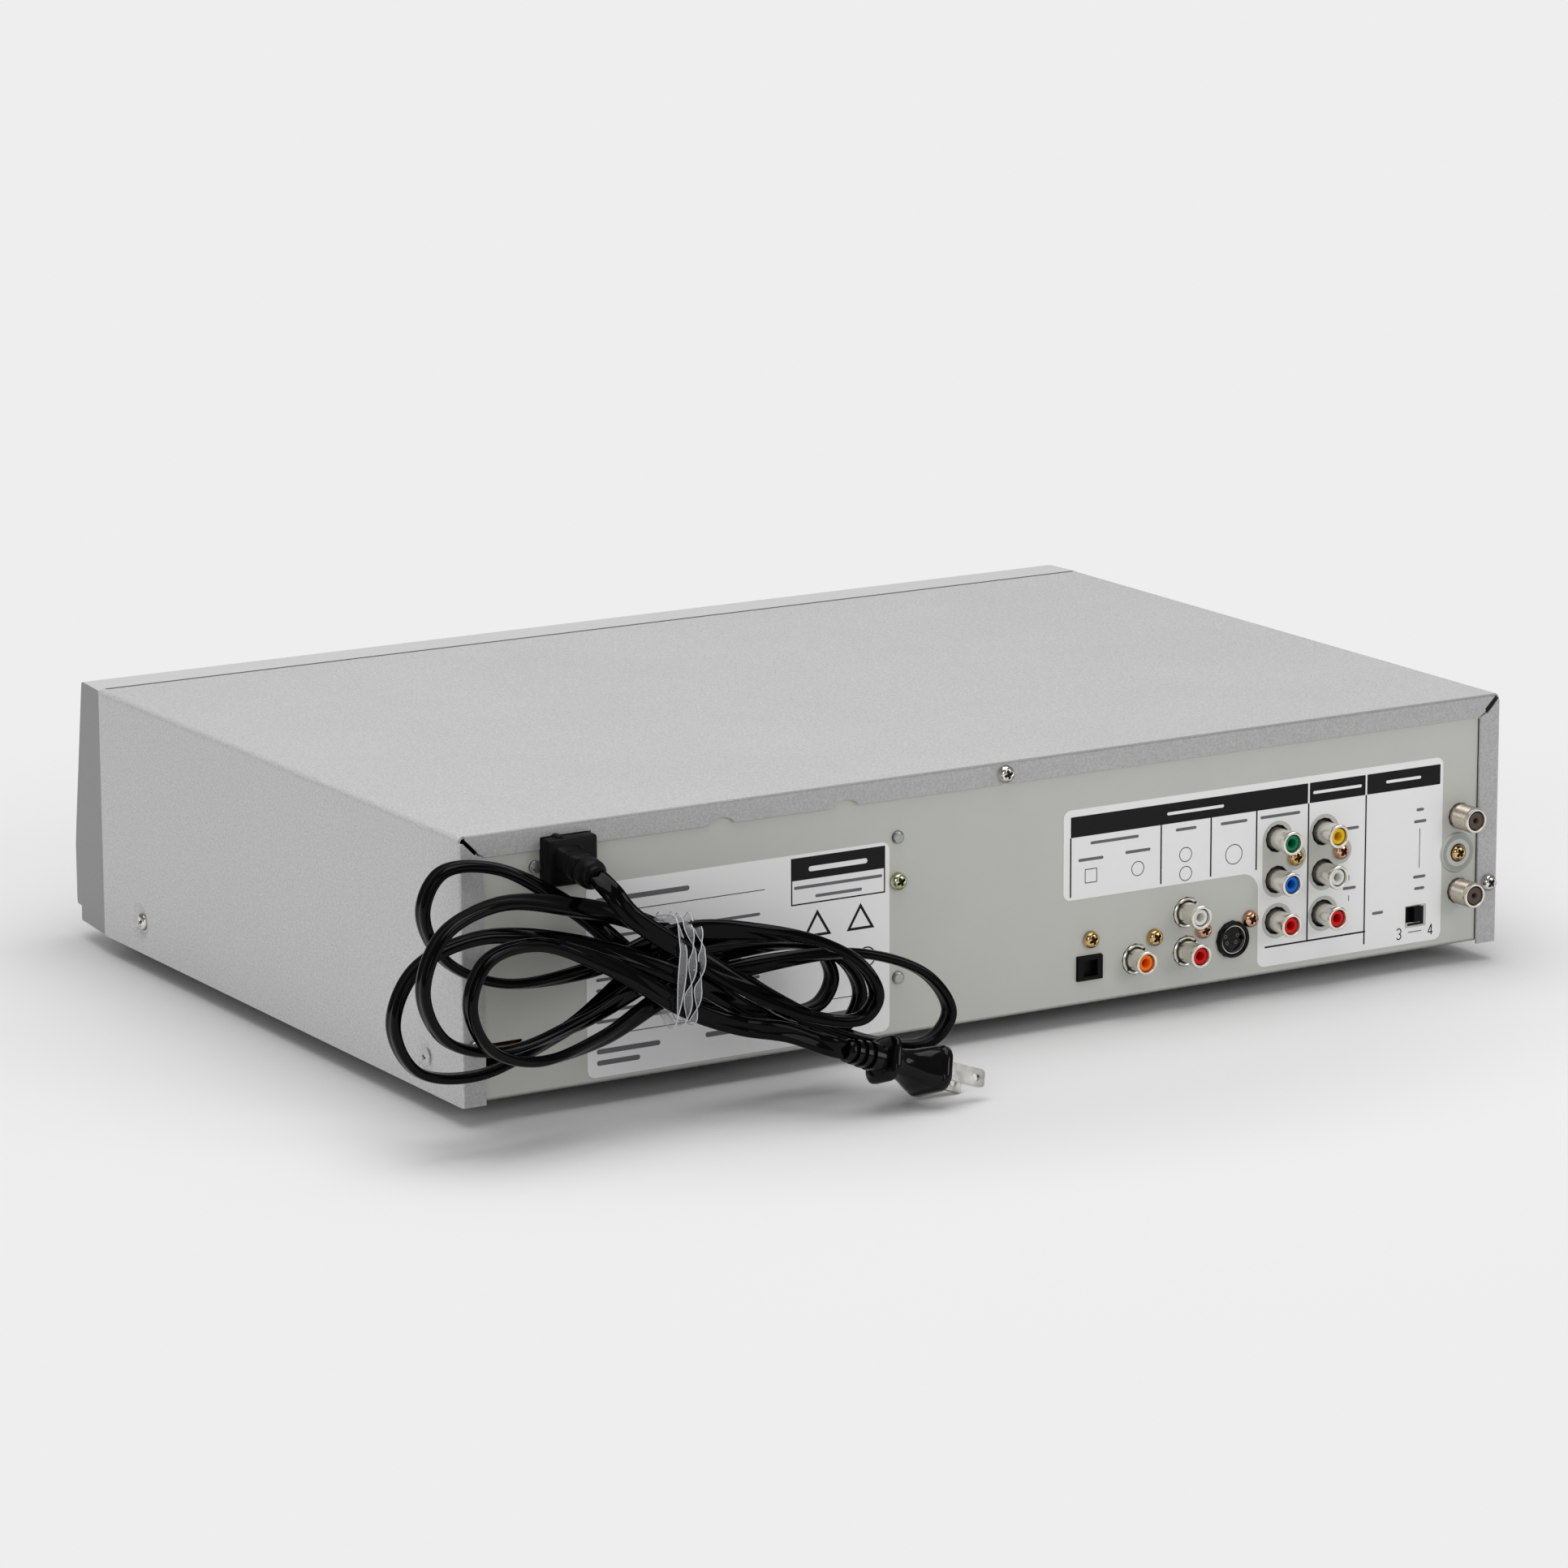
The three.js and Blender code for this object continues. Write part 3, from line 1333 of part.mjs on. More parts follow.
function makeSlider() {
  const front = sliderMiddleY - sliderLength / 2;
  const rear = sliderMiddleY + sliderLength / 2;
  const low = pinZ - cassetteDrop - holderPinRadius * 3;
  const barZ = holderTopZ + sliderGap;
  const top = barZ + sliderSheet;
  let slider = block(
    deckX - sliderHalf, deckX + sliderHalf, sliderMiddleY - sliderBar / 2,
    sliderMiddleY + sliderBar / 2, barZ, top,
  );
  for (const hand of [-1, 1]) {
    const inner = deckX + hand * (sliderHalf - sliderSheet);
    const outer = deckX + hand * sliderHalf;
    let arm = block(Math.min(inner, outer), Math.max(inner, outer), front, rear, low, top);
    for (const y of [sliderMiddleY - sliderLength / 3, sliderMiddleY + sliderLength / 3]) {
      const slot = rounded(
        y - holderPinRadius - seat, y + holderPinRadius + seat,
        pinZ - cassetteDrop - holderPinRadius - seat, pinZ + holderPinRadius + seat,
        holderPinRadius + seat - weld,
      );
      arm = cut(arm, prism(slot, 'x', Math.min(inner, outer) - overrun, Math.max(inner, outer) + overrun, 2));
      const pin = deckX + hand * (frameHalf + sliderGap);
      const root = deckX + hand * (sliderHalf - weld);
      arm = arm.add(rod('x', holderPinRadius, Math.min(root, pin), Math.max(root, pin), y, sliderPinZ, 10));
    }
    slider = slider.add(arm);
  }
  piece(group, 'cassette_slider', slider, whitePlastic);
}

function makeFrame() {
  let frame = block(
    deckX - frameHalf, deckX + frameHalf,
    frameFrontY, frameFrontY + frameBar,
    frameTopZ - frameSheet, frameTopZ,
  );
  const slotStart = sliderMiddleY - sliderLength / 3;
  const slotEnd = sliderMiddleY + sliderLength / 3 + cassetteTravel;
  for (const hand of [-1, 1]) {
    const inner = deckX + hand * (frameHalf - frameSheet);
    const outer = deckX + hand * frameHalf;
    const low = Math.min(inner, outer);
    const high = Math.max(inner, outer);
    const wall = new THREE.Shape();
    wall.moveTo(frameFrontY, frameTopZ);
    wall.lineTo(frameFrontY, deckTop + seat);
    wall.lineTo(frameFrontY + frameBar * 2, deckTop + seat);
    wall.lineTo(frameFrontY + frameBar * 3, holderBottomZ - cassetteDrop);
    wall.lineTo(frameRearY - frameBar * 3, holderBottomZ - cassetteDrop);
    wall.lineTo(frameRearY - frameBar * 2, deckTop + seat);
    wall.lineTo(frameRearY, deckTop + seat);
    wall.lineTo(frameRearY, frameTopZ - frameBar / 2);
    wall.lineTo(frameRearY - frameBar / 2, frameTopZ);
    let side = prism(wall, 'x', low, high);
    const room = holderPinRadius + seat;
    const slot = rounded(slotStart - room, slotEnd + room, sliderPinZ - room, sliderPinZ + room, room - weld);
    side = cut(side, prism(slot, 'x', low - overrun, high + overrun, 2));
    frame = frame.add(side);
  }
  piece(group, 'cassette_frame', frame, zincSteel);
}

// Disc loader: a moulded frame on four legs, the tray sliding in it, the clamper above, the traverse below
const gearX = loaderX - trayWidth / 2 + gearFromEdge;
const gearY = loaderFrontY + gearFromEdge;
const gearPitchRadius = gearTeeth * gearModule / 2;
const gearZ = trayZ - seat * 2 - gearThickness;
const trayFrontY = faceY(trayZ + trayThickness) + frontThickness + seat;

function makeLoader() {
  const left = loaderX - loaderWidth / 2;
  const right = loaderX + loaderWidth / 2;
  const floorTop = loaderBottomZ + loaderFloor;
  let frame = block(left, right, loaderFrontY, loaderRearY, loaderBottomZ, floorTop);
  const edge = loaderWall * 6;
  frame = cut(frame, prism(
    rounded(left + edge * 2, right - edge * 2, loaderFrontY + edge * 2, loaderRearY - edge * 2, loaderWall),
    'z', loaderBottomZ - overrun, floorTop + overrun, 3,
  ));
  for (const hand of [-1, 1]) {
    const outer = loaderX + hand * loaderWidth / 2;
    const inner = outer - hand * loaderWall;
    const lip = inner - hand * (loaderLip - weld);
    const low = Math.min(outer, inner);
    const high = Math.max(outer, inner);
    frame = frame.add(block(low, high, loaderFrontY, loaderRearY, loaderBottomZ, loaderTopZ));
    const under = trayZ - seat - loaderLipSheet;
    const over = trayZ + trayThickness + seat;
    for (const z of [under, over]) {
      frame = frame.add(block(
        Math.min(lip, inner + hand * weld), Math.max(lip, inner + hand * weld),
        loaderFrontY, loaderRearY, z, z + loaderLipSheet,
      ));
    }
    for (const y of [loaderFrontY + loaderLegRadius, loaderRearY - loaderLegRadius]) {
      frame = frame.add(rod(
        'z', loaderLegRadius, caseBottom + chassisSheet + seat, floorTop,
        outer - hand * loaderLegRadius, y, 12,
      ));
    }
    const post = loaderX + hand * (traverseWidth / 2 + seat * 2);
    const postEnd = post + hand * loaderWall;
    const pivot = traversePivotRadius + loaderWall;
    frame = frame.add(block(
      Math.min(post, postEnd), Math.max(post, postEnd),
      traversePivotY - pivot, traversePivotY + pivot,
      floorTop - weld, traverseZ + pivot,
    ));
  }
  const pivotHole = rod(
    'x', traversePivotRadius + seat, left + loaderWall + seat, right - loaderWall - seat,
    traversePivotY, traverseZ, 16,
  );
  const pin = rod('z', gearBore, floorTop - weld, gearZ + gearThickness, gearX, gearY, 12);
  const collar = rod('z', gearBore * 2, floorTop - weld, gearZ - seat, gearX, gearY, 12);
  frame = join(cut(frame, pivotHole), pin, collar);
  piece(group, 'loader_frame', frame, greyPlastic);
}

// One rack tooth, or space, is half a pitch wide on the pitch line less its share of the backlash.
function rackOutline() {
  const pitch = Math.PI * gearModule;
  const slope = Math.tan(THREE.MathUtils.degToRad(pressureAngle));
  const half = pitch / 4 - gearBacklash / 2;
  const pitchX = gearX + gearPitchRadius;
  const tipX = pitchX - gearModule;
  const rootX = pitchX + gearModule * gearRootShare;
  const backX = rootX + gearModule * 2;
  const count = Math.floor((trayRearY - trayEdge - gearY) / pitch);
  const first = -Math.floor((gearY - loaderFrontY) / pitch);
  const outline = [[backX, gearY + first * pitch - pitch / 2]];
  for (let k = first; k <= count; k += 1) {
    const y = gearY + k * pitch;
    const wide = half + gearModule * gearRootShare * slope;
    const narrow = half - gearModule * slope;
    outline.push([rootX, y - wide], [tipX, y - narrow], [tipX, y + narrow], [rootX, y + wide]);
  }
  outline.push([backX, gearY + count * pitch + pitch / 2]);
  return outline;
}

function makeTray() {
  const left = loaderX - trayWidth / 2;
  const right = loaderX + trayWidth / 2;
  const top = trayZ + trayThickness;
  let tray = prism(rounded(left, right, trayFrontY, trayRearY, loaderWall), 'z', trayZ, top, 3);
  tray = cut(
    tray,
    rod('z', discRadius + discRoom, top - discRecess, top + overrun, loaderX, discCentreY, 32),
  );
  tray = cut(
    tray,
    rod(
      'z', smallDiscRadius + discRoom, top - discRecess - smallDiscRecess, top, loaderX,
      discCentreY, 24,
    ),
  );
  const slotHalf = traySlot / 2;
  tray = cut(tray, rod('z', slotHalf, trayZ - overrun, top + overrun, loaderX, discCentreY, 20), block(
    loaderX - slotHalf, loaderX + slotHalf,
    discCentreY, trayRearY + overrun,
    trayZ - overrun, top + overrun,
  ));
  tray = tray.add(prism(rackOutline(), 'z', gearZ, trayZ + weld));
  piece(group, 'disc_tray', tray, blackPlastic);
  const front = facePlate(
    loaderX - trayHalf, loaderX + trayHalf,
    frontBottomZ, frontBottomZ + frontHeight,
    0, frontThickness,
  );
  piece(group, 'tray_front', front, bezelPlastic);
}

// Involute flank points from the base circle to the tip, mirrored for the other side of each tooth
function makeGear() {
  const base = gearPitchRadius * Math.cos(THREE.MathUtils.degToRad(pressureAngle));
  const tip = gearPitchRadius + gearModule;
  const root = gearPitchRadius - gearModule * gearRootShare;
  const spread = (radius) => {
    const roll = Math.sqrt(Math.max((radius / base) ** 2 - 1, 0));
    return roll - Math.atan(roll);
  };
  const halfPitch = Math.PI / 2 / gearTeeth - gearBacklash / 2 / gearPitchRadius;
  const halfAt = (radius) => halfPitch + spread(gearPitchRadius) - spread(radius);
  const radii = [root, gearPitchRadius, tip];
  const outline = [];
  for (let tooth = 0; tooth < gearTeeth; tooth += 1) {
    const centre = (tooth + 0.5) * Math.PI * 2 / gearTeeth;
    for (const radius of radii) {
      const angle = centre - halfAt(Math.max(radius, base));
      outline.push([radius * Math.cos(angle), radius * Math.sin(angle)]);
    }
    for (const radius of radii.slice().reverse()) {
      const angle = centre + halfAt(Math.max(radius, base));
      outline.push([radius * Math.cos(angle), radius * Math.sin(angle)]);
    }
  }
  const gear = cut(
    prism(outline, 'z', 0, gearThickness),
    rod('z', gearBore + seat, -overrun, gearThickness + overrun, 0, 0, 16),
  );
  piece(group, 'tray_gear', gear, whitePlastic, gearX, gearY, gearZ);
}

function makeClamp() {
  const bottom = loaderTopZ + seat;
  const top = bottom + bridgeSheet;
  let bridge = block(
    loaderX - loaderWidth / 2, loaderX + loaderWidth / 2,
    discCentreY - bridgeDepth / 2, discCentreY + bridgeDepth / 2,
    bottom, top,
  );
  bridge = cut(
    bridge,
    rod('z', clamperRadius + clamperRoom, bottom - overrun, top + overrun, loaderX, discCentreY, 28),
  );
  piece(group, 'clamp_bridge', bridge, zincSteel);
  const low = -bridgeSheet - seat - clamperDrop;
  const clamper = turned([
    [0, low + clamperWell],
    [hubRadius + clamperRoom / 2, low + clamperWell],
    [hubRadius + clamperRoom / 2, low],
    [clamperRadius, low],
    [clamperRadius, 0],
    [clamperFlange, 0],
    [clamperFlange, clamperCap],
    [0, clamperCap],
  ], 20);
  piece(group, 'disc_clamper', clamper, greyPlastic, loaderX, discCentreY, top + seat);
}

// The traverse hangs down from its rear pivots and comes up level under a disc.
function makeTraverse() {
  const traverse = new THREE.Group();
  traverse.position.set(loaderX, traversePivotY, traverseZ);
  traverse.rotation.x = THREE.MathUtils.degToRad(traverseLift);
  group.add(traverse);
  const plateHalf = traverseThickness / 2;
  const spindleY = discCentreY - traversePivotY;
  const railFront = spindleY + railStart;
  const railRear = -railEnd;
  const railZ = plateHalf + railHeight;
  let frame = prism(
    rounded(-traverseWidth / 2, traverseWidth / 2, spindleY - traverseFront, traverseRear, loaderWall),
    'z', -plateHalf, plateHalf, 3,
  );
  frame = cut(frame, prism(
    rounded(-windowHalf, windowHalf, railFront + railBlock + seat, railRear - railBlock - seat, loaderWall),
    'z', -plateHalf - overrun, plateHalf + overrun, 3,
  ));
  const pivotHalf = traverseWidth / 2 + seat * 3 + loaderWall;
  for (const hand of [-1, 1]) {
    const inner = hand * (traverseWidth / 2 - traversePivotRadius);
    const outer = hand * pivotHalf;
    frame = frame.add(rod(
      'x', traversePivotRadius, Math.min(inner, outer), Math.max(inner, outer), 0, 0, 16,
    ));
    const x = hand * railSpread;
    for (const y of [railFront, railRear - railBlock]) {
      frame = frame.add(block(
        x - railBlock / 2, x + railBlock / 2,
        y, y + railBlock,
        plateHalf - weld, railZ + railRadius + weld,
      ));
    }
    frame = frame.add(rod('y', railRadius, railFront + weld, railRear - weld, x, railZ, 12));
  }
  frame = frame.add(rod(
    'z', spindleMotorRadius, -plateHalf - spindleMotorHeight, -plateHalf + weld, 0, spindleY,
  ));
  frame = cut(
    frame,
    rod(
      'z', spindleRadius + seat, -plateHalf - spindleMotorHeight / 2, plateHalf + overrun, 0,
      spindleY, 16,
    ),
  );
  piece(traverse, 'traverse_frame', frame, greyPlastic);

  const tableTop = plateHalf + turntableRise;
  const spindle = turned([
    [0, -plateHalf - spindleMotorHeight / 2 + seat],
    [spindleRadius, -plateHalf - spindleMotorHeight / 2 + seat],
    [spindleRadius, tableTop - turntableHeight],
    [turntableRadius, tableTop - turntableHeight],
    [turntableRadius, tableTop],
    [hubRadius, tableTop],
    [hubRadius, tableTop + hubHeight / 2],
    [hubRadius / 2, tableTop + hubHeight],
    [0, tableTop + hubHeight],
  ], 20);
  piece(traverse, 'spindle_turntable', spindle, blackPlastic, 0, spindleY, 0);

  const sledFront = spindleY + sledGap;
  const sledRear = sledFront + sledLength;
  const sledLow = plateHalf + seat * 2;
  let sled = block(-sledWidth / 2, sledWidth / 2, sledFront, sledRear, sledLow, sledLow + sledHeight);
  for (const hand of [-1, 1]) {
    const inner = hand * (sledWidth / 2 - weld);
    const outer = hand * railSpread;
    sled = sled.add(block(
      Math.min(inner, outer), Math.max(inner, outer),
      sledFront, sledRear,
      railZ - railRadius, railZ + railRadius,
    ));
    sled = sled.add(rod('y', sledEarRadius, sledFront, sledRear, outer, railZ, 16));
    sled = cut(sled, rod('y', railRadius + seat, sledFront - overrun, sledRear + overrun, outer, railZ, 16));
  }
  const lensTop = sledLow + sledHeight + lensRadius / 2;
  sled = sled.add(rod('z', lensRadius, sledLow + sledHeight - weld, lensTop, 0, spindleY + lensGap, 16));
  piece(traverse, 'laser_sled', sled, darkSteel);
}

// Circuit boards with the larger parts standing on them
function upright(board, x, y, radius, height) {
  const top = mainBoardZ + boardThickness;
  return board.add(rod('z', radius, top - weld, top + height, x, y, 14));
}

function boxOn(board, x, y, width, depth, height) {
  const top = mainBoardZ + boardThickness;
  return board.add(block(
    x - width / 2, x + width / 2, y - depth / 2, y + depth / 2, top - weld, top + height,
  ));
}

function makeMainBoard() {
  const top = mainBoardZ + boardThickness;
  let board = block(mainBoardLeft, boardEdge, mainBoardFront, mainBoardRear, mainBoardZ, top);
  for (const [x, y] of deckPosts) {
    board = cut(board, rod('z', bossRadius + seat * 2, mainBoardZ - overrun, top + overrun, x, y, 16));
  }
  for (const [along, back, width, depth, height] of mainChips) {
    board = boxOn(board, mainBoardLeft + along, mainBoardFront + back, width, depth, height);
  }
  for (const [along, back] of mainCans) {
    board = upright(board, mainBoardLeft + along, mainBoardFront + back, smallCanRadius, smallCanHeight);
  }
  board = boxOn(
    board, channelX, panelInnerY - seat - switchHousingDepth - channelKnob,
    channelWindowWidth * 2, switchHousingDepth, caseBottom + channelZ + channelWindowHeight - top,
  );
  piece(group, 'main_board', board, boardGreen);
}

function makePowerBoard() {
  const right = chassisHalf - bossRadius * 2;
  const rear = mainBoardRear;
  let board = block(powerBoardLeft, right, powerBoardFront, rear, mainBoardZ, mainBoardZ + boardThickness);
  const middleX = (powerBoardLeft + right) / 2;
  const middleY = (powerBoardFront + rear) / 2;
  board = boxOn(board, middleX, middleY, transformerWidth, transformerDepth, transformerHeight);
  board = boxOn(
    board, middleX, middleY, transformerWidth + windingRim, transformerDepth / 2,
    transformerHeight / 2,
  );
  for (let k = 0; k < canCount; k += 1) {
    board = upright(board, powerBoardLeft + canRadius * (2 + k * 3), middleY, canRadius, canHeight);
  }
  const sinkX = right - canRadius * 3;
  board = boxOn(board, sinkX, middleY, finSheet, sinkLength, sinkHeight);
  for (let k = 0; k < finCount; k += 1) {
    const y = middleY + (k - (finCount - 1) / 2) * sinkLength / finCount;
    board = boxOn(board, sinkX + finReach / 2, y, finReach, finSheet, sinkHeight);
  }
  piece(group, 'power_board', board, boardBrown);
}

// Rear connectors. Each barrel stands on a block behind the panel and reaches out through it.
const socketFace = panelInnerY - seat;
const boardTop = mainBoardZ + boardThickness;

function barrel(x, z, length, ring) {
  const foot = panelY - socketFace;
  const tip = rearY + length - socketFace;
  return turnedOut([
    [0, -weld],
    [ring, -weld],
    [ring, foot + baseRingHeight],
    [barrelRadius, foot + baseRingHeight],
    [barrelRadius, tip],
    [barrelBore, tip],
    [barrelBore, tip - barrelRecess],
    [barrelPin, tip - barrelRecess],
    [barrelPin, tip - barrelPinDepth],
    [0, tip - barrelPinDepth],
  ], x, socketFace, caseBottom + z);
}

function jackStack(name, x, heights, length, ring, look) {
  const top = caseBottom + heights[heights.length - 1] + jackBlockWidth / 2;
  let jacks = block(
    x - jackBlockWidth / 2, x + jackBlockWidth / 2,
    socketFace - jackBlockDepth, socketFace,
    boardTop + seat, top,
  );
  for (const z of heights) {
    jacks = jacks.add(barrel(x, z, length, ring));
  }
  piece(group, name, jacks, look);
}

function makeConnectors() {
  const column = [0, 1, 2].map((k) => lowestJackZ + k * jackPitch);
  jackStack('component_jacks', componentX, column, longBarrel, barrelRadius, blackPlastic);
  jackStack('av_jacks', avX, column, longBarrel, barrelRadius, blackPlastic);
  jackStack(
    'audio_jacks', audioX, [lowAudioZ, lowAudioZ + audioPitch], longBarrel, baseRingRadius,
    blackPlastic,
  );
  jackStack('coaxial_jack', coaxX, [lowAudioZ], shortBarrel, baseRingRadius, blackPlastic);

  const opticalTop = caseBottom + opticalZ + opticalHeight / 2;
  const optical = join(
    block(
      opticalX - opticalWidth / 2, opticalX + opticalWidth / 2, socketFace - jackBlockDepth,
      rearY, opticalTop - opticalHeight, opticalTop,
    ),
    block(
      opticalX - opticalWidth / 2, opticalX + opticalWidth / 2, socketFace - jackBlockDepth,
      socketFace, boardTop + seat, opticalTop,
    ),
  );
  const mouth = block(
    opticalX - opticalMouth / 2, opticalX + opticalMouth / 2,
    rearY - opticalDepth, rearY + overrun,
    caseBottom + opticalZ - opticalMouth / 2, caseBottom + opticalZ + opticalMouth / 2,
  );
  piece(group, 'optical_jack', cut(optical, mouth), blackPlastic);

  const wellTop = rearY + baseRingHeight - socketFace;
  let sVideo = join(
    block(
      sVideoX - sVideoRadius, sVideoX + sVideoRadius,
      socketFace - jackBlockDepth, socketFace,
      boardTop + seat, caseBottom + sVideoZ + sVideoRadius,
    ),
    turnedOut([
      [0, -weld],
      [sVideoRadius, -weld],
      [sVideoRadius, wellTop],
      [sVideoWell, wellTop],
      [sVideoWell, wellTop - sVideoDepth],
      [0, wellTop - sVideoDepth],
    ], sVideoX, socketFace, caseBottom + sVideoZ, 18),
  );
  for (let k = 0; k < 4; k += 1) {
    const angle = Math.PI / 4 + k * Math.PI / 2;
    const x = sVideoX + sVideoPinSpread * Math.cos(angle);
    const z = caseBottom + sVideoZ + sVideoPinSpread * Math.sin(angle);
    const floor = socketFace + wellTop - sVideoDepth;
    sVideo = cut(sVideo, rod('y', sVideoPin, floor - sVideoDepth / 2, floor + overrun, x, z, 8));
  }
  piece(group, 's_video_jack', sVideo, blackPlastic);
}

function makeTuner() {
  let tuner = block(
    antennaX - tunerWidth / 2, antennaX + tunerWidth / 2,
    tunerFrontY, socketFace,
    boardTop + seat, boardTop + seat + tunerHeight,
  );
  const tip = rearY + antennaReach - socketFace;
  for (const z of antennaZ) {
    tuner = tuner.add(turnedOut([
      [0, -weld],
      [antennaRadius, -weld],
      [antennaRadius, tip],
      [antennaBore, tip],
      [antennaBore, tip - barrelRecess],
      [antennaPin, tip - barrelRecess],
      [antennaPin, tip - barrelPinDepth],
      [0, tip - barrelPinDepth],
    ], antennaX, socketFace, caseBottom + z, 16));
  }
  piece(group, 'tuner_can', tuner, zincSteel);
}

function makeChannelSwitch() {
  const x = channelX - channelTravel / 2;
  const z = caseBottom + channelZ;
  const high = channelWindowHeight / 2 - seat;
  const wing = channelWindowWidth / 2 + channelTravel;
  const housing = socketFace - channelKnob;
  const knob = join(
    block(x - channelKnob / 2, x + channelKnob / 2, housing + seat, rearY, z - high, z + high),
    block(
      x - wing, x + wing, socketFace - panelSheet, socketFace, z - high - panelSheet,
      z + high + panelSheet,
    ),
  );
  piece(group, 'channel_switch', knob, blackPlastic);
}

// Mains cord: a moulded bushing through the panel, then lead, tied figure-eight hank, tail and plug.
// Its places are seen from behind: across, out from the rear of the case, and above the case's lower edge.
function rearPlace(x, out, z) {
  return new THREE.Vector3(x, rearY + out, caseBottom + z);
}

// A profile turned about a slanting line, its heights measured from the start.
function turnedAlong(profile, start, direction, sides, flatten = 1) {
  const points = profile.map(([radius, height]) => new THREE.Vector2(radius, height));
  points.push(points[0].clone());
  const geometry = new THREE.LatheGeometry(points, sides);
  geometry.scale(1, 1, flatten);
  geometry.applyQuaternion(new THREE.Quaternion().setFromUnitVectors(new THREE.Vector3(0, 1, 0), direction));
  geometry.translate(start.x, start.y, start.z);
  return solid(geometry);
}

const reliefStart = rearPlace(...reliefFrom);
const reliefEnd = rearPlace(...reliefTo);
const reliefWay = reliefEnd.clone().sub(reliefStart).normalize();

function makeBushing() {
  const halfX = inletWidth / 2;
  const halfZ = inletHeight / 2;
  const z = caseBottom + inletZ;
  const outer = block(
    inletX - halfX, inletX + halfX, panelY + seat, rearY + inletProud, z - halfZ, z + halfZ,
  );
  const neck = block(
    inletX - halfX + coverSheet, inletX + halfX - coverSheet,
    panelInnerY - inletInside, panelY + seat + weld,
    z - halfZ + coverSheet, z + halfZ - coverSheet,
  );
  const bell = reliefLength - reliefBellLength;
  const relief = turnedAlong([
    [0, -coverSheet],
    [reliefRadius, -coverSheet],
    [reliefNeck, bell - reliefGrooveLength],
    [reliefGroove, bell - reliefGrooveLength],
    [reliefGroove, bell],
    [reliefBell, bell],
    [reliefBell, reliefLength - coverSheet],
    [reliefTipRadius, reliefLength],
    [0, reliefLength],
  ], reliefStart, reliefWay, 12);
  piece(group, 'cord_bushing', join(outer, neck, relief), glossBlack);
}

// The plug stands on its own axes: blades apart, blades wide, and along them.
const plugWay = new THREE.Vector3(...plugAxis).normalize();
const plugAcross = new THREE.Vector3(...plugApart).normalize();
const plugWide = new THREE.Vector3().crossVectors(plugWay, plugAcross).normalize();
const plugFace = rearPlace(...plugPlace);
const plugEnd = plugFace.clone().addScaledVector(plugWay, -plugLength);
const plugFrame = new THREE.Matrix4().makeBasis(
  new THREE.Vector3().crossVectors(plugWide, plugWay), plugWide, plugWay,
);

// Points of the route in order: the lead, four figure-eight loops through the waist, and the tail
// The fourth value turns the wide side of the flat cord from upright at the waist to facing out in the bends.
function routePoints() {
  const waist = ([column, row]) => [waistX, waistOut + column * waistColumn, waistZ + row * waistRow, 0];
  const points = [
    [reliefTo[0], reliefTo[1] + cordGap, reliefTo[2], 0],
    ...leadPlaces.map((place) => [...place, 0]),
  ];
  const counts = [points.length];
  let pass = 0;
  for (let loop = 0; loop < rightLobes.length; loop += 1) {
    for (const [hand, lobe] of [[-1, rightLobes[loop]], [1, leftLobes[loop]]]) {
      const [reach, half, lift, out] = lobe;
      const from = waist(waistPlaces[pass]);
      const to = waist(waistPlaces[pass + 1]);
      points.push(from);
      for (let k = 1; k < lobeSteps; k += 1) {
        const turn = Math.PI * k / lobeSteps;
        const bulge = Math.sin(turn);
        const share = k / lobeSteps;
        const baseOut = from[1] + (to[1] - from[1]) * share;
        const baseZ = from[2] + (to[2] - from[2]) * share;
        const ease = Math.min(1, bulge * lobeEase);
        points.push([
          waistX + hand * reach * bulge,
          baseOut * (1 - bulge) + out * bulge,
          waistZ + (baseZ - waistZ) * (1 - bulge) - half * Math.sin(2 * turn) + lift * bulge,
          ease * ease * (3 - 2 * ease) * Math.PI / 2,
        ]);
      }
      pass += 1;
    }
  }
  points.push(waist(waistPlaces[pass]));
  counts.push(points.length);
  points.push(...tailPlaces.map((place) => [...place, 0]));
  const near = plugEnd.clone().addScaledVector(plugWay, -plugStraight);
  for (const place of [near, plugEnd.clone().addScaledVector(plugWay, -cordGap)]) {
    points.push([place.x, place.y - rearY, place.z - caseBottom, 0]);
  }
  return { points, counts };
}

// Smooth curve through the points, with end tangents from the bushing and the plug
function routeSample(points, at) {
  const last = points.length - 1;
  const ghost = (place, way, side) => [0, 1, 2].map((k) => place[k] + side * way[k] * plugStraight).concat(0);
  const get = (k) => {
    if (k < 0) return ghost(points[0], reliefWay.toArray(), -1);
    if (k > last) return ghost(points[last], plugWay.toArray(), 1);
    return points[k];
  };
  const from = Math.min(Math.floor(at), last - 1);
  const [p0, p1, p2, p3] = [from - 1, from, from + 1, from + 2].map(get);
  const root = (a, b) => Math.sqrt(Math.hypot(a[0] - b[0], a[1] - b[1], a[2] - b[2]));
  const [d0, d1, d2] = [root(p1, p0), root(p2, p1), root(p3, p2)];
  const s = at - from;
  return p1.map((value, k) => {
    const start = ((value - p0[k]) / d0 - (p2[k] - p0[k]) / (d0 + d1) + (p2[k] - value) / d1) * d1;
    const end = ((p2[k] - value) / d1 - (p3[k] - value) / (d1 + d2) + (p3[k] - p2[k]) / d2) * d1;
    return value * (2 * s ** 3 - 3 * s ** 2 + 1) + start * (s ** 3 - 2 * s ** 2 + s)
      + p2[k] * (3 * s ** 2 - 2 * s ** 3) + end * (s ** 3 - s ** 2);
  });
}

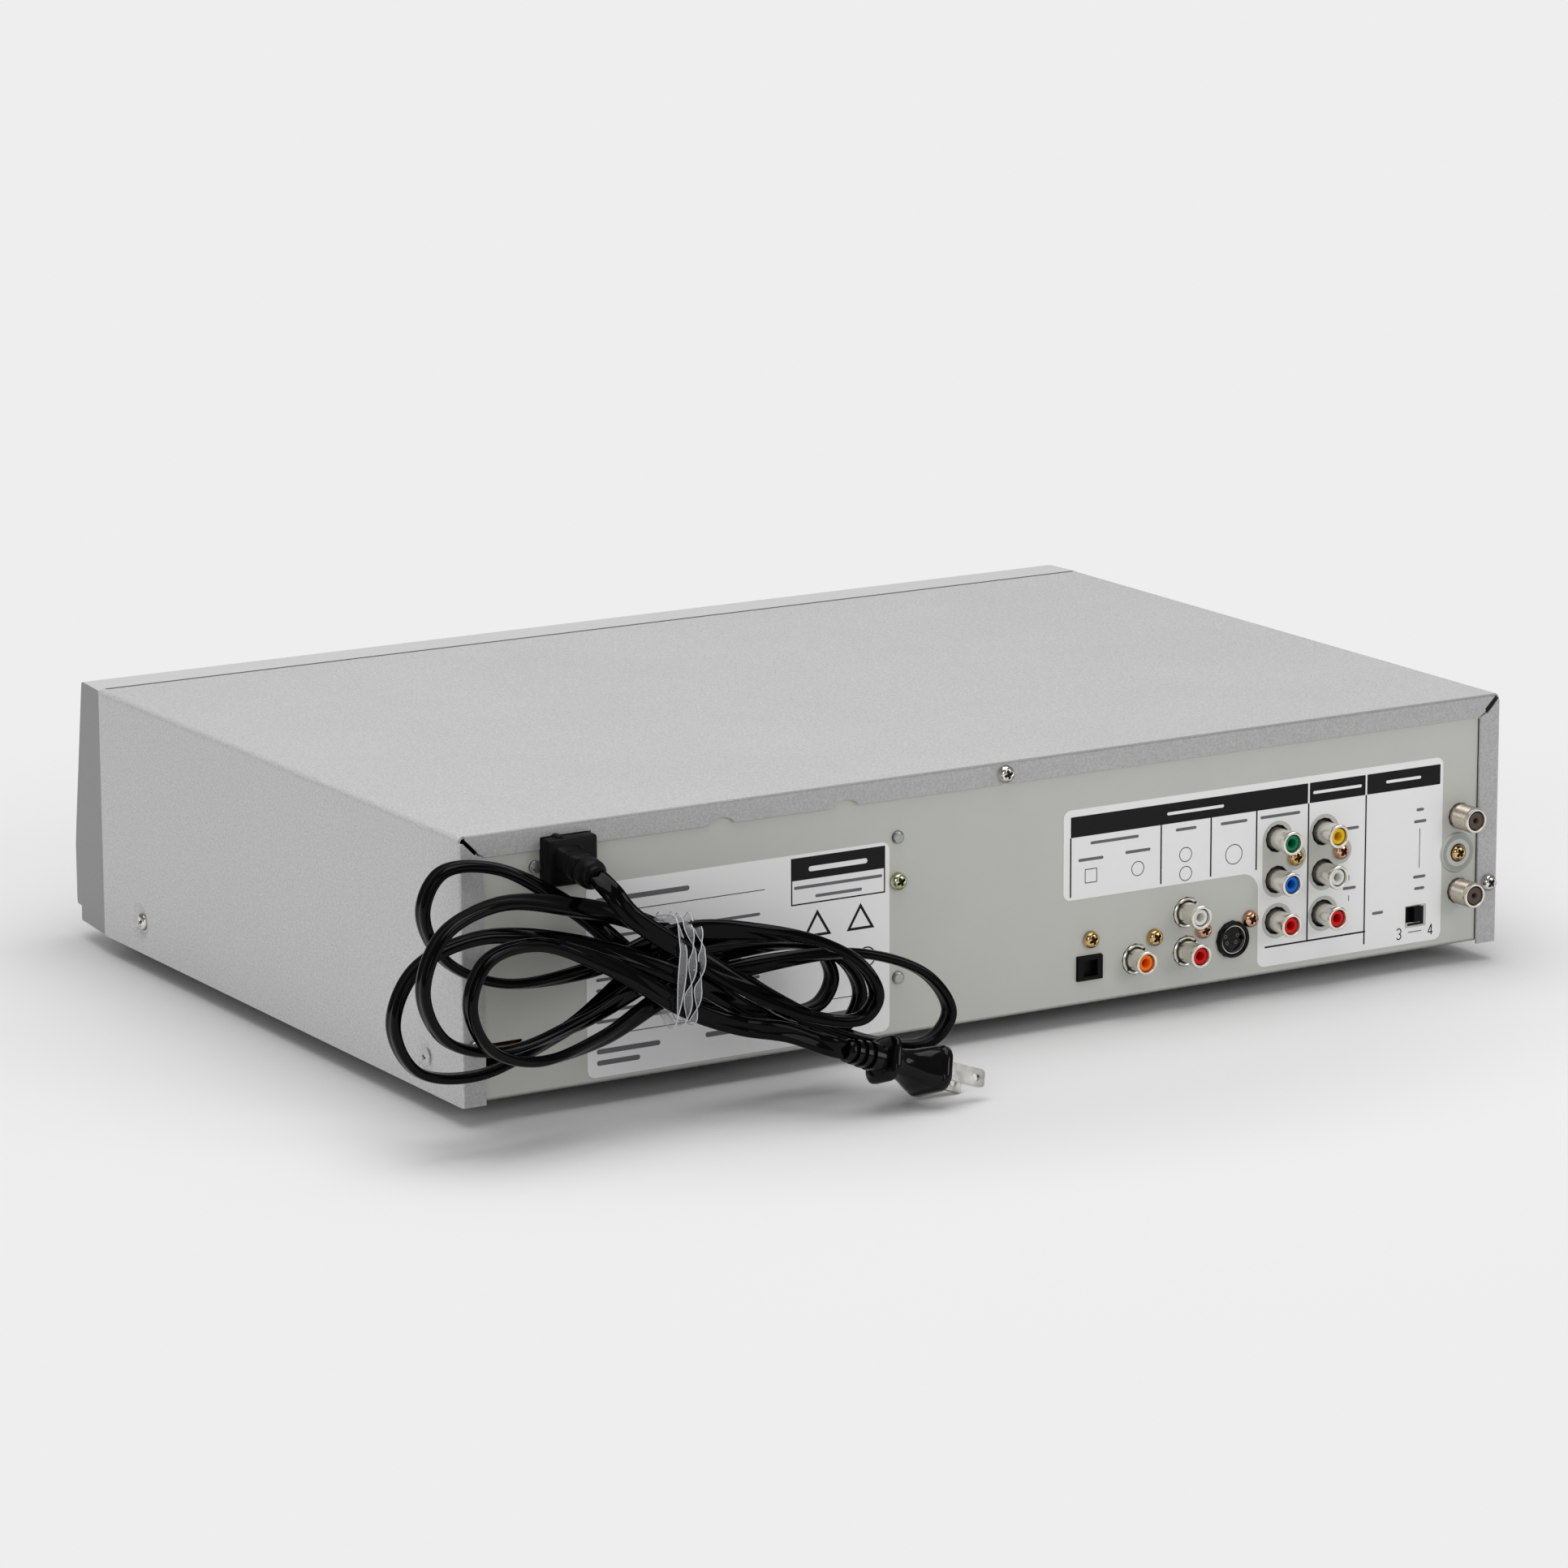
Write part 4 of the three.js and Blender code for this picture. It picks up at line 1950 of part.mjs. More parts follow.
// A cord path that keeps the wide side of the flat cord where the route wants it.
class CordPath extends THREE.Curve {
  constructor(samples, ways, startGap, endGap) {
    super();
    const last = samples.length - 1;
    this.points = samples.map(([x, out, z]) => rearPlace(x, out, z));
    this.turns = samples.map((sample) => sample[3]);
    this.tangents = ways;
    this.points[0].addScaledVector(this.tangents[0], startGap);
    this.points[last].addScaledVector(this.tangents[last], -endGap);
  }

  getPoint(t) {
    return this.points[Math.round(t * (this.points.length - 1))].clone();
  }

  getSpacedPoints() {
    return this.points;
  }

  computeFrenetFrames() {
    const up = new THREE.Vector3(0, 1, 0);
    const normals = this.tangents.map((tangent, k) => {
      const flat = tangent.clone().cross(up).normalize();
      const facing = flat.clone().cross(tangent);
      return flat.multiplyScalar(Math.cos(this.turns[k])).addScaledVector(facing, Math.sin(this.turns[k]));
    });
    const binormals = this.tangents.map((tangent, k) => tangent.clone().cross(normals[k]));
    return { tangents: this.tangents, normals, binormals };
  }
}

// Outline of the flat cord. Six corners make its plainest form, ten round its edges.
const hankShares = [[1, 0], [0.5, 1], [-0.5, 1], [-1, 0], [-0.5, -1], [0.5, -1]];
const leadShares = [
  [1, 0], [0.87, 0.72], [0.5, 1], [-0.5, 1], [-0.87, 0.72],
  [-1, 0], [-0.87, -0.72], [-0.5, -1], [0.5, -1], [0.87, -0.72],
];

function cordTube(name, path, shares) {
  const corners = shares.map(([wide, thick]) => new THREE.Vector2(
    wide * cordWidth / 2, thick * cordThickness / 2,
  ));
  const geometry = new THREE.ExtrudeGeometry(new THREE.Shape(corners), {
    steps: path.points.length - 1,
    extrudePath: path,
    bevelEnabled: false,
  });
  piece(group, name, solid(geometry), glossBlack);
}

// Least gap between stretches of the hank that aren't neighbours, three spheres across its width
function leastGap(path) {
  const { normals } = path.computeFrenetFrames();
  const spread = (cordWidth - cordThickness) / 2;
  const spheres = [];
  let along = 0;
  path.points.forEach((point, k) => {
    const steps = k === 0 ? 1 : gapSteps;
    for (let step = 1; step <= steps; step += 1) {
      const share = step / steps;
      const before = Math.max(k - 1, 0);
      const place = path.points[before].clone().lerp(point, share);
      const wide = normals[before].clone().lerp(normals[k], share).normalize();
      const here = along + path.points[before].distanceTo(point) * share;
      for (const side of [-1, 0, 1]) {
        spheres.push([place.clone().addScaledVector(wide, side * spread), here]);
      }
    }
    along += k === 0 ? 0 : point.distanceTo(path.points[k - 1]);
  });
  let least = Infinity;
  spheres.forEach(([a, from], i) => {
    for (let j = i + 1; j < spheres.length; j += 1) {
      const [b, to] = spheres[j];
      if (to - from > cordWidth * 3) least = Math.min(least, a.distanceTo(b) - cordThickness);
    }
  });
  return least;
}

function makeCord() {
  const { points, counts } = routePoints();
  const finish = points.length - 1;
  const wayAt = (at) => {
    if (at === 0) return reliefWay.clone();
    if (at === finish) return plugWay.clone();
    const [before, after] = [at - wayStep, at + wayStep].map((place) => routeSample(points, place));
    return new THREE.Vector3(...[0, 1, 2].map((k) => after[k] - before[k])).normalize();
  };
  const stretch = (from, to, steps, startGap, endGap) => {
    const places = [];
    for (let k = 0; k <= steps; k += 1) {
      places.push(from + (to - from) * k / steps);
    }
    return new CordPath(places.map((at) => routeSample(points, at)), places.map(wayAt), startGap, endGap);
  };
  const start = counts[0] - 0.5;
  const end = counts[1] - 0.5;
  const lead = stretch(0, start, leadSteps, 0, cordGap / 2);
  const hankSteps = rightLobes.length * hankLoopSteps + hankEndSteps;
  const hank = stretch(start, end, hankSteps, cordGap / 2, cordGap / 2);
  const tail = stretch(end, finish, tailSteps, cordGap / 2, 0);
  cordTube('cord_lead', lead, leadShares);
  cordTube('cord_hank', hank, hankShares);
  cordTube('cord_tail', tail, leadShares);
  console.log(`hank: least gap to itself ${leastGap(hank).toFixed(2)}`);
}

function inPlugFrame(geometry) {
  geometry.applyMatrix4(plugFrame);
  geometry.translate(plugFace.x, plugFace.y, plugFace.z);
  return solid(geometry);
}

function plugSlab(halfApart, halfWide, radius, from, to) {
  const outline = rounded(-halfApart, halfApart, -halfWide, halfWide, radius);
  const geometry = new THREE.ExtrudeGeometry(
    outline, { depth: to - from, bevelEnabled: false, curveSegments: 3 },
  );
  geometry.translate(0, 0, from);
  return inPlugFrame(geometry);
}

function plugTurned(profile, sides, flatten) {
  const points = profile.map(([radius, height]) => new THREE.Vector2(radius, height));
  points.push(points[0].clone());
  const geometry = new THREE.LatheGeometry(points, sides);
  geometry.rotateX(Math.PI / 2);
  geometry.scale(1, flatten, 1);
  return inPlugFrame(geometry);
}

function makePlug() {
  const flange = plugSlab(plugFlangeApart / 2, plugFlangeWide / 2, plugFlangeCorner, -plugFlange, 0);
  const grip = plugTurned([
    [0, -plugWing],
    [plugWaist, -plugWing],
    [plugWaist, -plugWing * 3 / 4],
    [plugShoulder, -plugFlange * 2],
    [plugShoulder, -plugFlange + weld],
    [0, -plugFlange + weld],
  ], 14, plugFlatten);
  const wing = plugSlab(
    plugWingApart / 2, plugWingWide / 2, plugWingCorner, -plugWing - plugWingSheet,
    -plugWing + weld,
  );
  const ribs = [[0, -plugLength], [reliefTipRadius, -plugLength]];
  const room = plugLength - plugWing - plugWingSheet;
  for (let k = 0; k < plugRibs; k += 1) {
    const at = -plugLength + room * (k + 1) / (plugRibs + 1);
    const wide = reliefTipRadius + coverSheet * (k + 1) / plugRibs;
    const rib = room / (plugRibs * 4);
    ribs.push(
      [wide, at - rib], [wide - coverSheet, at - rib], [wide - coverSheet, at + rib],
      [wide, at + rib],
    );
  }
  ribs.push([reliefRadius, -plugWing - plugWingSheet + weld], [0, -plugWing - plugWingSheet + weld]);
  let body = join(flange, grip, wing, plugTurned(ribs, 10, 1));
  for (const hand of [-1, 1]) {
    const pocket = new THREE.BoxGeometry(
      bladeThickness + seat * 2, bladeWidth + seat * 2, bladeRoot + seat + overrun,
    );
    pocket.translate(hand * bladeSpacing / 2, 0, (overrun - bladeRoot - seat) / 2);
    body = cut(body, inPlugFrame(pocket));

    const half = bladeWidth / 2;
    const tip = new THREE.Shape();
    tip.moveTo(-half, -bladeRoot);
    tip.lineTo(half, -bladeRoot);
    tip.lineTo(half, bladeLength - bladeCorner);
    tip.quadraticCurveTo(half, bladeLength, half - bladeCorner, bladeLength);
    tip.lineTo(-half + bladeCorner, bladeLength);
    tip.quadraticCurveTo(-half, bladeLength, -half, bladeLength - bladeCorner);
    const eye = new THREE.Path();
    eye.absarc(0, bladeLength - bladeHoleInset, bladeHole, 0, Math.PI * 2, true);
    tip.holes.push(eye);
    const geometry = new THREE.ExtrudeGeometry(
      tip, { depth: bladeThickness, bevelEnabled: false, curveSegments: 4 },
    );
    geometry.applyMatrix4(new THREE.Matrix4().makeBasis(
      new THREE.Vector3(0, 1, 0), new THREE.Vector3(0, 0, 1), new THREE.Vector3(1, 0, 0),
    ));
    geometry.translate(hand * bladeSpacing / 2 - bladeThickness / 2, 0, 0);
    piece(group, hand < 0 ? 'plug_blade_low' : 'plug_blade_high', inPlugFrame(geometry), nickel);
  }
  piece(group, 'plug_body', body, glossBlack);
}

// The tie is a flat band round the waist of the hank.
function makeTie() {
  const band = (margin) => {
    const outMargin = cordThickness / 2 + margin;
    const upMargin = cordWidth / 2 + margin;
    const outs = waistPlaces.map(([column]) => rearY + waistOut + column * waistColumn);
    const ups = waistPlaces.map(([, row]) => caseBottom + waistZ + row * waistRow);
    return rounded(
      Math.min(...outs) - outMargin, Math.max(...outs) + outMargin,
      Math.min(...ups) - upMargin, Math.max(...ups) + upMargin,
      cordWidth / 2,
    );
  };
  const inner = prism(band(tieRoom), 'x', waistX - tieWidth, waistX + tieWidth, 4);
  const outer = prism(band(tieRoom + tieThickness), 'x', waistX - tieWidth / 2, waistX + tieWidth / 2, 4);
  piece(group, 'cord_tie', cut(outer, inner), clearTie);
}

makeCover();
makeChassis();
makePanel();
makeBezel();
makeFeet();
makeDoor();
makeDeck();
makeDrum();
makeCapstan();
makePinch();
makeReels();
makeFrame();
makeSlider();
makeHolder();
makeLoader();
makeTray();
makeGear();
makeClamp();
makeTraverse();
makeMainBoard();
makePowerBoard();
makeFrontBoard();
makeWindow();
makeButtons();
makeFrontJacks();
makeConnectors();
makeTuner();
makeChannelSwitch();
makeBushing();
makeCord();
makePlug();
makeTie();

export default group;
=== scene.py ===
"""Looks for a combined disc and tape player, seen from behind with its mains lead tied in a hank.

Lengths are millimetres and become metres when a piece is made.
x runs across the player, y to its rear and z up. "out" is measured from the rear edge of the cover,
and rear heights from the cover's lower edge.
"""

import json
import math

import bmesh
import bpy
import numpy as np
from mathutils import Matrix, Vector
from mathutils.geometry import tessellate_polygon


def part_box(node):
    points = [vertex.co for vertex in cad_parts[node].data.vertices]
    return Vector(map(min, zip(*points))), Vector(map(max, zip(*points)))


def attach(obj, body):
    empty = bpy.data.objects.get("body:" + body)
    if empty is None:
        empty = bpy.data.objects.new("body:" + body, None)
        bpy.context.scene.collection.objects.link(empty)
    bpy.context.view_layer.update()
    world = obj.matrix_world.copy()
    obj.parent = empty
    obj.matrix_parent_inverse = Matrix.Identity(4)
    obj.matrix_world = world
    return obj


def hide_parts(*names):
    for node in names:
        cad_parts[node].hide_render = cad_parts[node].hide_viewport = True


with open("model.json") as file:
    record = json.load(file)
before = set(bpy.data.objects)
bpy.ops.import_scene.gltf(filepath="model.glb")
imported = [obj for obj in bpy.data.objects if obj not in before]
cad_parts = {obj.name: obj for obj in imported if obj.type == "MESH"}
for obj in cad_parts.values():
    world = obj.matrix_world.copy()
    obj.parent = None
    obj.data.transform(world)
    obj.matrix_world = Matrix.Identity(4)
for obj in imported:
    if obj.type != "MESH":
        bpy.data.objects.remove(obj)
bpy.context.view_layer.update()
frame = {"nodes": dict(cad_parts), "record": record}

MM = 0.001
CASE = "case"
X_AXIS = Vector((1, 0, 0))
REAR_WAY = Vector((0, 1, 0))
UP = Vector((0, 0, 1))

cover_low, cover_high = (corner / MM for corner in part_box("top_cover"))
REAR_Y = cover_high.y
CASE_BOTTOM = cover_low.z
HALF_WIDTH = cover_high.x
PANEL_OUT = -1.2
PANEL_SHEET = 0.8


def rear(x, out, z):
    """A place on the rear of the player."""
    return Vector((x, REAR_Y + out, CASE_BOTTOM + z))


# Camera: the photograph's view, from behind and a little above

CAMERA_PLACE = Vector((1200.2, REAR_Y + 1839.5, 594.4))
CAMERA_YAW = math.radians(-31.096)
CAMERA_PITCH = math.radians(12.859)
CAMERA_ROLL = math.radians(0.226)
SENSOR = 36
FOCAL_PIXELS = 7902
PHOTO_PIXELS = 1932


def add_object(name, data):
    thing = bpy.data.objects.new(name, data)
    bpy.context.scene.collection.objects.link(thing)
    return thing


def make_camera():
    data = bpy.data.cameras.new("camera")
    data.sensor_width = SENSOR
    data.lens = SENSOR * FOCAL_PIXELS / PHOTO_PIXELS
    data.clip_start = 0.1
    data.clip_end = 50
    look = Vector((
        math.cos(CAMERA_PITCH) * math.sin(CAMERA_YAW),
        -math.cos(CAMERA_PITCH) * math.cos(CAMERA_YAW),
        -math.sin(CAMERA_PITCH),
    ))
    across = look.cross(UP).normalized()
    down = look.cross(across)
    right = across * math.cos(CAMERA_ROLL) + down * math.sin(CAMERA_ROLL)
    down = down * math.cos(CAMERA_ROLL) - across * math.sin(CAMERA_ROLL)
    turn = Matrix((right, -down, -look)).transposed().to_4x4()
    camera = add_object("camera", data)
    camera.matrix_world = Matrix.Translation(CAMERA_PLACE * MM) @ turn
    bpy.context.scene.camera = camera


make_camera()


# Finishes


def srgb(*levels):
    """A screen colour of 0 to 255 as the linear colour that a shader takes."""
    shares = [level / 255 for level in levels]
    return tuple(s / 12.92 if s <= 0.04045 else ((s + 0.055) / 1.055) ** 2.4 for s in shares) + (1,)


def shaded(colour, share):
    return tuple(min(1, value * share) for value in colour[:3]) + (1,)


def add_node(tree, kind, sockets=None, **settings):
    """A node with its settings, each of its sockets given a value or linked to another node."""
    node = tree.nodes.new(f"ShaderNode{kind}")
    for name, value in settings.items():
        setattr(node, name, value)
    for name, value in (sockets or {}).items():
        if isinstance(value, bpy.types.NodeSocket):
            tree.links.new(value, node.inputs[name])
        else:
            node.inputs[name].default_value = value
    return node


def noise(tree, size, **sockets):
    """Noise over a piece's own places, in patches of a size in millimetres."""
    place = tree.nodes["place"].outputs["Object"]
    sockets = {"Vector": place, "Scale": 1 / (size * MM), **sockets}
    return add_node(tree, "TexNoise", sockets).outputs["Fac"]


def remap(tree, value, low, high, to_low, to_high, **settings):
    """A value between low and high, spread over another span."""
    spans = {"Value": value, "From Min": low, "From Max": high, "To Min": to_low, "To Max": to_high}
    return add_node(tree, "MapRange", spans, **settings).outputs["Result"]


def scaled(tree, colour, share):
    return add_node(tree, "VectorMath", {0: colour, "Scale": share}, operation="SCALE").outputs["Vector"]


def mixed(tree, share, first, second):
    return add_node(tree, "MixShader", {"Fac": share, 1: first, 2: second}).outputs["Shader"]


def tint(tree, share):
    """Scales the base colour, as it is so far, by a share that other nodes give."""
    socket = tree.nodes["Principled BSDF"].inputs["Base Color"]
    tree.links.new(scaled(tree, socket.links[0].from_socket, share), socket)


NOISE_SPAN = (0.3, 0.7)
LEAST_ROUGHNESS = 0.02


def finish(
    name, levels, roughness, metallic=0.0, spread=0.06, patch=20.0, rough_spread=0.06,
    grain=None, other=None, **sockets,
):
    """A procedural finish: its colour and gloss drift over patches, and a grain stands up from it."""
    material = bpy.data.materials.new(name)
    material.use_nodes = True
    tree = material.node_tree
    shader = tree.nodes["Principled BSDF"]
    shader.inputs["Metallic"].default_value = metallic
    for socket, value in sockets.items():
        shader.inputs[socket.replace("_", " ")].default_value = value
    add_node(tree, "TexCoord", name="place")
    drift = noise(tree, patch, Detail=5, Roughness=0.6)
    ramp = add_node(tree, "ValToRGB", {"Fac": drift})
    colour = srgb(*levels)
    shades = (shaded(colour, 1 - spread), srgb(*other) if other else shaded(colour, 1 + spread))
    for element, position, shade in zip(ramp.color_ramp.elements, NOISE_SPAN, shades):
        element.position = position
        element.color = shade
    tree.links.new(ramp.outputs["Color"], shader.inputs["Base Color"])
    least = max(roughness - rough_spread, LEAST_ROUGHNESS)
    gloss = remap(tree, drift, *NOISE_SPAN, least, roughness + rough_spread)
    tree.links.new(gloss, shader.inputs["Roughness"])
    if grain:
        size, depth = grain
        bump = add_node(tree, "Bump", {"Distance": depth * MM, "Height": noise(tree, size, Detail=3)})
        tree.links.new(bump.outputs["Normal"], shader.inputs["Normal"])
    return material


def speckled(name, levels, fleck, fleck_size, roughness, metallic, **rest):
    """Baked metallic paint: a fine grain of lighter and darker flecks over the base finish."""
    material = finish(name, levels, roughness, metallic, **rest)
    tree = material.node_tree
    tint(tree, remap(tree, noise(tree, fleck_size, Detail=2), *NOISE_SPAN, 1 - fleck, 1 + fleck))
    return material


def shaded_towards(material, way, low, high, share):
    """Painted shade: the colour darkens to a share of itself as a face turns towards a way."""
    tree = material.node_tree
    ways = {0: tree.nodes["place"].outputs["Normal"], 1: Vector(way).normalized()}
    facing = add_node(tree, "VectorMath", ways, operation="DOT_PRODUCT").outputs["Value"]
    tint(tree, remap(tree, facing, low, high, 1, share))


COVER = speckled("cover_paint", (216, 216, 216), 0.13, 0.8, 0.48, 0.25,
                 spread=0.012, patch=60, rough_spread=0.012, grain=(0.45, 0.02))
# Painted shade: the cover paint darkens on its rear flange, more on the bend above it, and a little on its
# +x side.
shaded_towards(COVER, (0, 1, 0), 0.75, 0.98, 0.63)
shaded_towards(COVER, (0, 1, 1), 0.78, 0.95, 0.5)
shaded_towards(COVER, (1, 0, 0), 0.8, 0.98, 0.93)
BEZEL = speckled("bezel_silver", (232, 232, 233), 0.03, 0.8, 0.48, 0.3,
                 spread=0.012, patch=50, rough_spread=0.012, grain=(0.3, 0.008))
# Painted shade: the bezel's ends and its front are darker than its top.
for bezel_end in (-1, 1):
    shaded_towards(BEZEL, (bezel_end, 0, 0), 0.6, 0.95, 0.4)
shaded_towards(BEZEL, (0, -1, 0), 0.6, 0.95, 0.7)
PANEL = finish("panel_paint", (190, 191, 185), 0.5, 0.1, spread=0.02, patch=25, grain=(0.5, 0.008))
# Painted shade: faces turned down and towards -x darken, shading the pressed ring, dimples and fold.
shaded_towards(PANEL, (-1, 0, -1), 0.05, 0.6, 0.45)
PANEL_SHADE = finish("panel_shade", (150, 154, 149), 0.5, 0.1, spread=0.02, patch=25)
LABEL = finish("label_film", (234, 234, 234), 0.42, spread=0.008, patch=15, grain=(0.35, 0.003))
# Black print on the labels; the same black is the painted shade in the dark openings.
BLACK_INK_AND_SHADE = finish("black_ink_and_shade", (12, 12, 13), 0.5, spread=0.2, patch=4, Specular_IOR_Level=0.2)
# Grey print on the labels; the same grey is the painted shade in the gap behind the bezel.
GREY_INK_AND_SHADE = finish("grey_ink_and_shade", (96, 96, 98), 0.5, spread=0.06, patch=6)
ZINC = finish("zinc_steel", (176, 178, 180), 0.36, 0.85, spread=0.08, patch=14, grain=(0.6, 0.006))
# Painted shade: faces turned down and towards -x darken.
shaded_towards(ZINC, (-1, 0, -1), 0.1, 0.8, 0.7)
DARK_STEEL = finish("dark_steel", (120, 122, 126), 0.3, 0.9, spread=0.1, patch=8)
PIP_STEEL = finish("pip_steel", (168, 170, 168), 0.28, 0.8, spread=0.06, patch=3)
# Painted shade: the pips darken on faces turned towards +x and forwards.
shaded_towards(PIP_STEEL, (1, -1, 0.3), -0.55, 0.6, 0.35)
BLACK = finish("moulded_black", (11, 11, 12), 0.42, spread=0.15, patch=8,
               grain=(0.3, 0.015), Specular_IOR_Level=0.12)
BUSHING_BLACK = finish("bushing_black", (10, 10, 11), 0.42, spread=0.2, patch=5,
                       grain=(0.35, 0.02), Specular_IOR_Level=0.13)
PVC = finish("cord_pvc", (3, 3, 4), 0.1, spread=0.2, patch=30, rough_spread=0.03,
             grain=(5, 0.04), Specular_IOR_Level=0.11)
GLOSS_BLACK = finish("gloss_black", (6, 6, 7), 0.12, spread=0.2, patch=6,
                     grain=(2, 0.01), Specular_IOR_Level=0.2)
SILVER = finish("silver_plastic", (196, 197, 199), 0.35, 0.35, spread=0.02, patch=12, grain=(0.25, 0.006))
GREY = finish("grey_plastic", (128, 130, 132), 0.5, spread=0.05, patch=10, grain=(0.4, 0.015))
WHITE = finish("white_plastic", (226, 226, 220), 0.4, spread=0.02, patch=10, grain=(0.4, 0.008))
BOARD_GREEN = finish("board_green", (42, 96, 62), 0.4, spread=0.12, patch=9, grain=(1.2, 0.03))
BOARD_BROWN = finish("board_brown", (150, 112, 66), 0.5, spread=0.1, patch=9, grain=(1.2, 0.03))
AERIAL_NICKEL = finish("aerial_nickel", (204, 193, 180), 0.28, 0.85, spread=0.05, patch=3,
                       grain=(0.4, 0.006))
# Painted shade: faces turned down and towards -x darken.
shaded_towards(AERIAL_NICKEL, (-1, 0, -2), -0.5, 0.8, 0.4)
NICKEL = finish("nickel", (232, 228, 218), 0.22, 0.85, spread=0.04, patch=4)
# Painted shade: faces turned down and towards -x darken.
shaded_towards(NICKEL, (-1, 0, -2), 0.0, 0.9, 0.5)
BLADE = finish("blade_nickel", (205, 203, 198), 0.2, 1.0, spread=0.08, patch=5, grain=(0.8, 0.006))
SILVER_SCREW = finish("screw_silver", (236, 232, 226), 0.12, 1.0, spread=0.1, patch=2)
SCREW_COLOURS = {
    "gold": ("screw_yellow", (222, 184, 108), (240, 206, 158)),
    "copper": ("screw_copper", (230, 170, 130), (242, 200, 172)),
    "olive": ("screw_olive", (206, 214, 150), (230, 226, 200)),
}
SCREW_LOOKS = {
    kind: finish(name, levels, 0.11, 1.0, spread=0.1, patch=2.5, other=other)
    for kind, (name, levels, other) in SCREW_COLOURS.items()
}
# Painted shade on the screw heads: faces turned down and towards -x darken, and so do the steep faces turned
# up towards +x.
for screw_look in (SILVER_SCREW, *SCREW_LOOKS.values()):
    shaded_towards(screw_look, (-1, 0, -1.4), -0.1, 0.55, 0.24)
    shaded_towards(screw_look, (1, 0, 1.4), 0.5, 0.95, 0.6)
RUBBER = finish("foot_rubber", (30, 30, 31), 0.7, spread=0.15, patch=4, grain=(0.5, 0.03))
WINDOW = finish("smoked_window", (9, 10, 12), 0.12, spread=0.1, patch=30, rough_spread=0.02,
                Specular_IOR_Level=0.2)
TIE_FILM = finish("tie_film", (236, 238, 240), 0.08, spread=0.03, patch=2, rough_spread=0.04,
                  grain=(1.2, 0.1), Transmission_Weight=0.6, IOR=1.45, Alpha=0.26)
# Painted highlight: a whiter, more opaque film for the beads along the edges of the strands.
TIE_EDGE_HIGHLIGHT = finish("tie_edge_highlight", (222, 224, 226), 0.1, spread=0.06, patch=2, rough_spread=0.04, Alpha=0.7)
BROWN_INSULATOR = finish("insulator_brown", (74, 58, 50), 0.5, spread=0.08, patch=2)
# Painted shade: the dark inside holes and recesses, on socket contacts, pin holes and the crosses of screws.
HOLE_SHADE = finish("painted_hole_shade", (8, 8, 8), 0.6, spread=0.2, patch=2)
JACK_COLOURS = {
    "green": (10, 116, 76),
    "blue": (18, 100, 190),
    "red": (204, 22, 12),
    "yellow": (228, 184, 28),
    "white": (222, 222, 216),
    "orange": (244, 112, 8),
}
JACK_FINISHES = {
    name: finish(f"jack_{name}", levels, 0.3, spread=0.05, patch=3, Specular_IOR_Level=0.2)
    for name, levels in JACK_COLOURS.items()
}
SLOT_FINISHES = {
    "cover_paint": COVER,
    "bezel_plastic": BEZEL,
    "panel_paint": PANEL,
    "zinc_steel": ZINC,
    "dark_steel": DARK_STEEL,
    "black_plastic": BLACK,
    "gloss_black": GLOSS_BLACK,
    "silver_plastic": SILVER,
    "grey_plastic": GREY,
    "white_plastic": WHITE,
    "board_green": BOARD_GREEN,
    "board_brown": BOARD_BROWN,
    "nickel": BLADE,
    "rubber": RUBBER,
    "smoked_window": WINDOW,
    "clear_tie": TIE_FILM,
}


# Making pieces


def make(name, parts, looks, slot=None, sharp=35):
    """One piece from parts, each a list of points in millimetres, faces, and the number of its finish."""
    points, faces, numbers = [], [], []
    for part_points, part_faces, number in parts:
        start = len(points)
        points += [Vector(point) * MM for point in part_points]
        faces += [tuple(start + corner for corner in face) for face in part_faces]
        numbers += [number] * len(part_faces)
    mesh = bpy.data.meshes.new(name)
    mesh.from_pydata(points, [], faces)
    mesh.polygons.foreach_set("material_index", numbers)
    for look in looks:
        mesh.materials.append(look)
    edit = bmesh.new()
    edit.from_mesh(mesh)
    bmesh.ops.recalc_face_normals(edit, faces=edit.faces)
    edit.to_mesh(mesh)
    edit.free()
    mesh.shade_smooth()
    mesh.set_sharp_from_angle(angle=math.radians(sharp))
    piece = add_object(name, mesh)
    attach(piece, CASE)
    return piece


def wall(start, size, step):
    """Faces between a ring of points and the like ring that comes a step later in the list."""
    sides = [(start + j, start + (j + 1) % size) for j in range(size)]
    return [(a, b, b + step, a + step) for a, b in sides]


def loft(rings, look=0, closed=False):
    """A skin through rings of equally many points, with flat ends or closed on its first ring."""
    points = [point for ring in rings for point in ring]
    count, total = len(rings[0]), len(points)
    faces = []
    for k in range(len(rings) if closed else len(rings) - 1):
        faces += [tuple(corner % total for corner in face) for face in wall(k * count, count, count)]
    if not closed:
        faces.append(tuple(reversed(range(count))))
        faces.append(tuple(range(total - count, total)))
    return points, faces, look


STEEP = 0.9


def axes_along(way, up=None):
    """Two directions square to a way, the second as near up as it can be."""
    way = way.normalized()
    if up is None:
        up = UP if abs(way.dot(UP)) < STEEP else X_AXIS
    side = up.cross(way).normalized()
    return side, way.cross(side), way


def turned(profile, start, way, look=0, steps=40, closed=False):
    """A profile of radius and distance, turned about a line. A closed profile makes a ring."""
    side, lift, along = axes_along(way)
    angles = [math.tau * k / steps for k in range(steps)]
    spokes = [side * math.cos(angle) + lift * math.sin(angle) for angle in angles]
    rings = [[start + along * distance + spoke * radius for spoke in spokes] for radius, distance in profile]
    return loft(rings, look, closed)


def rear_ring(profile, place, look=0, steps=40):
    """A ring round a line that points straight out of the rear."""
    return turned(profile, place, REAR_WAY, look, steps, closed=True)


QUARTERS = ((1, 1), (-1, 1), (-1, -1), (1, -1))


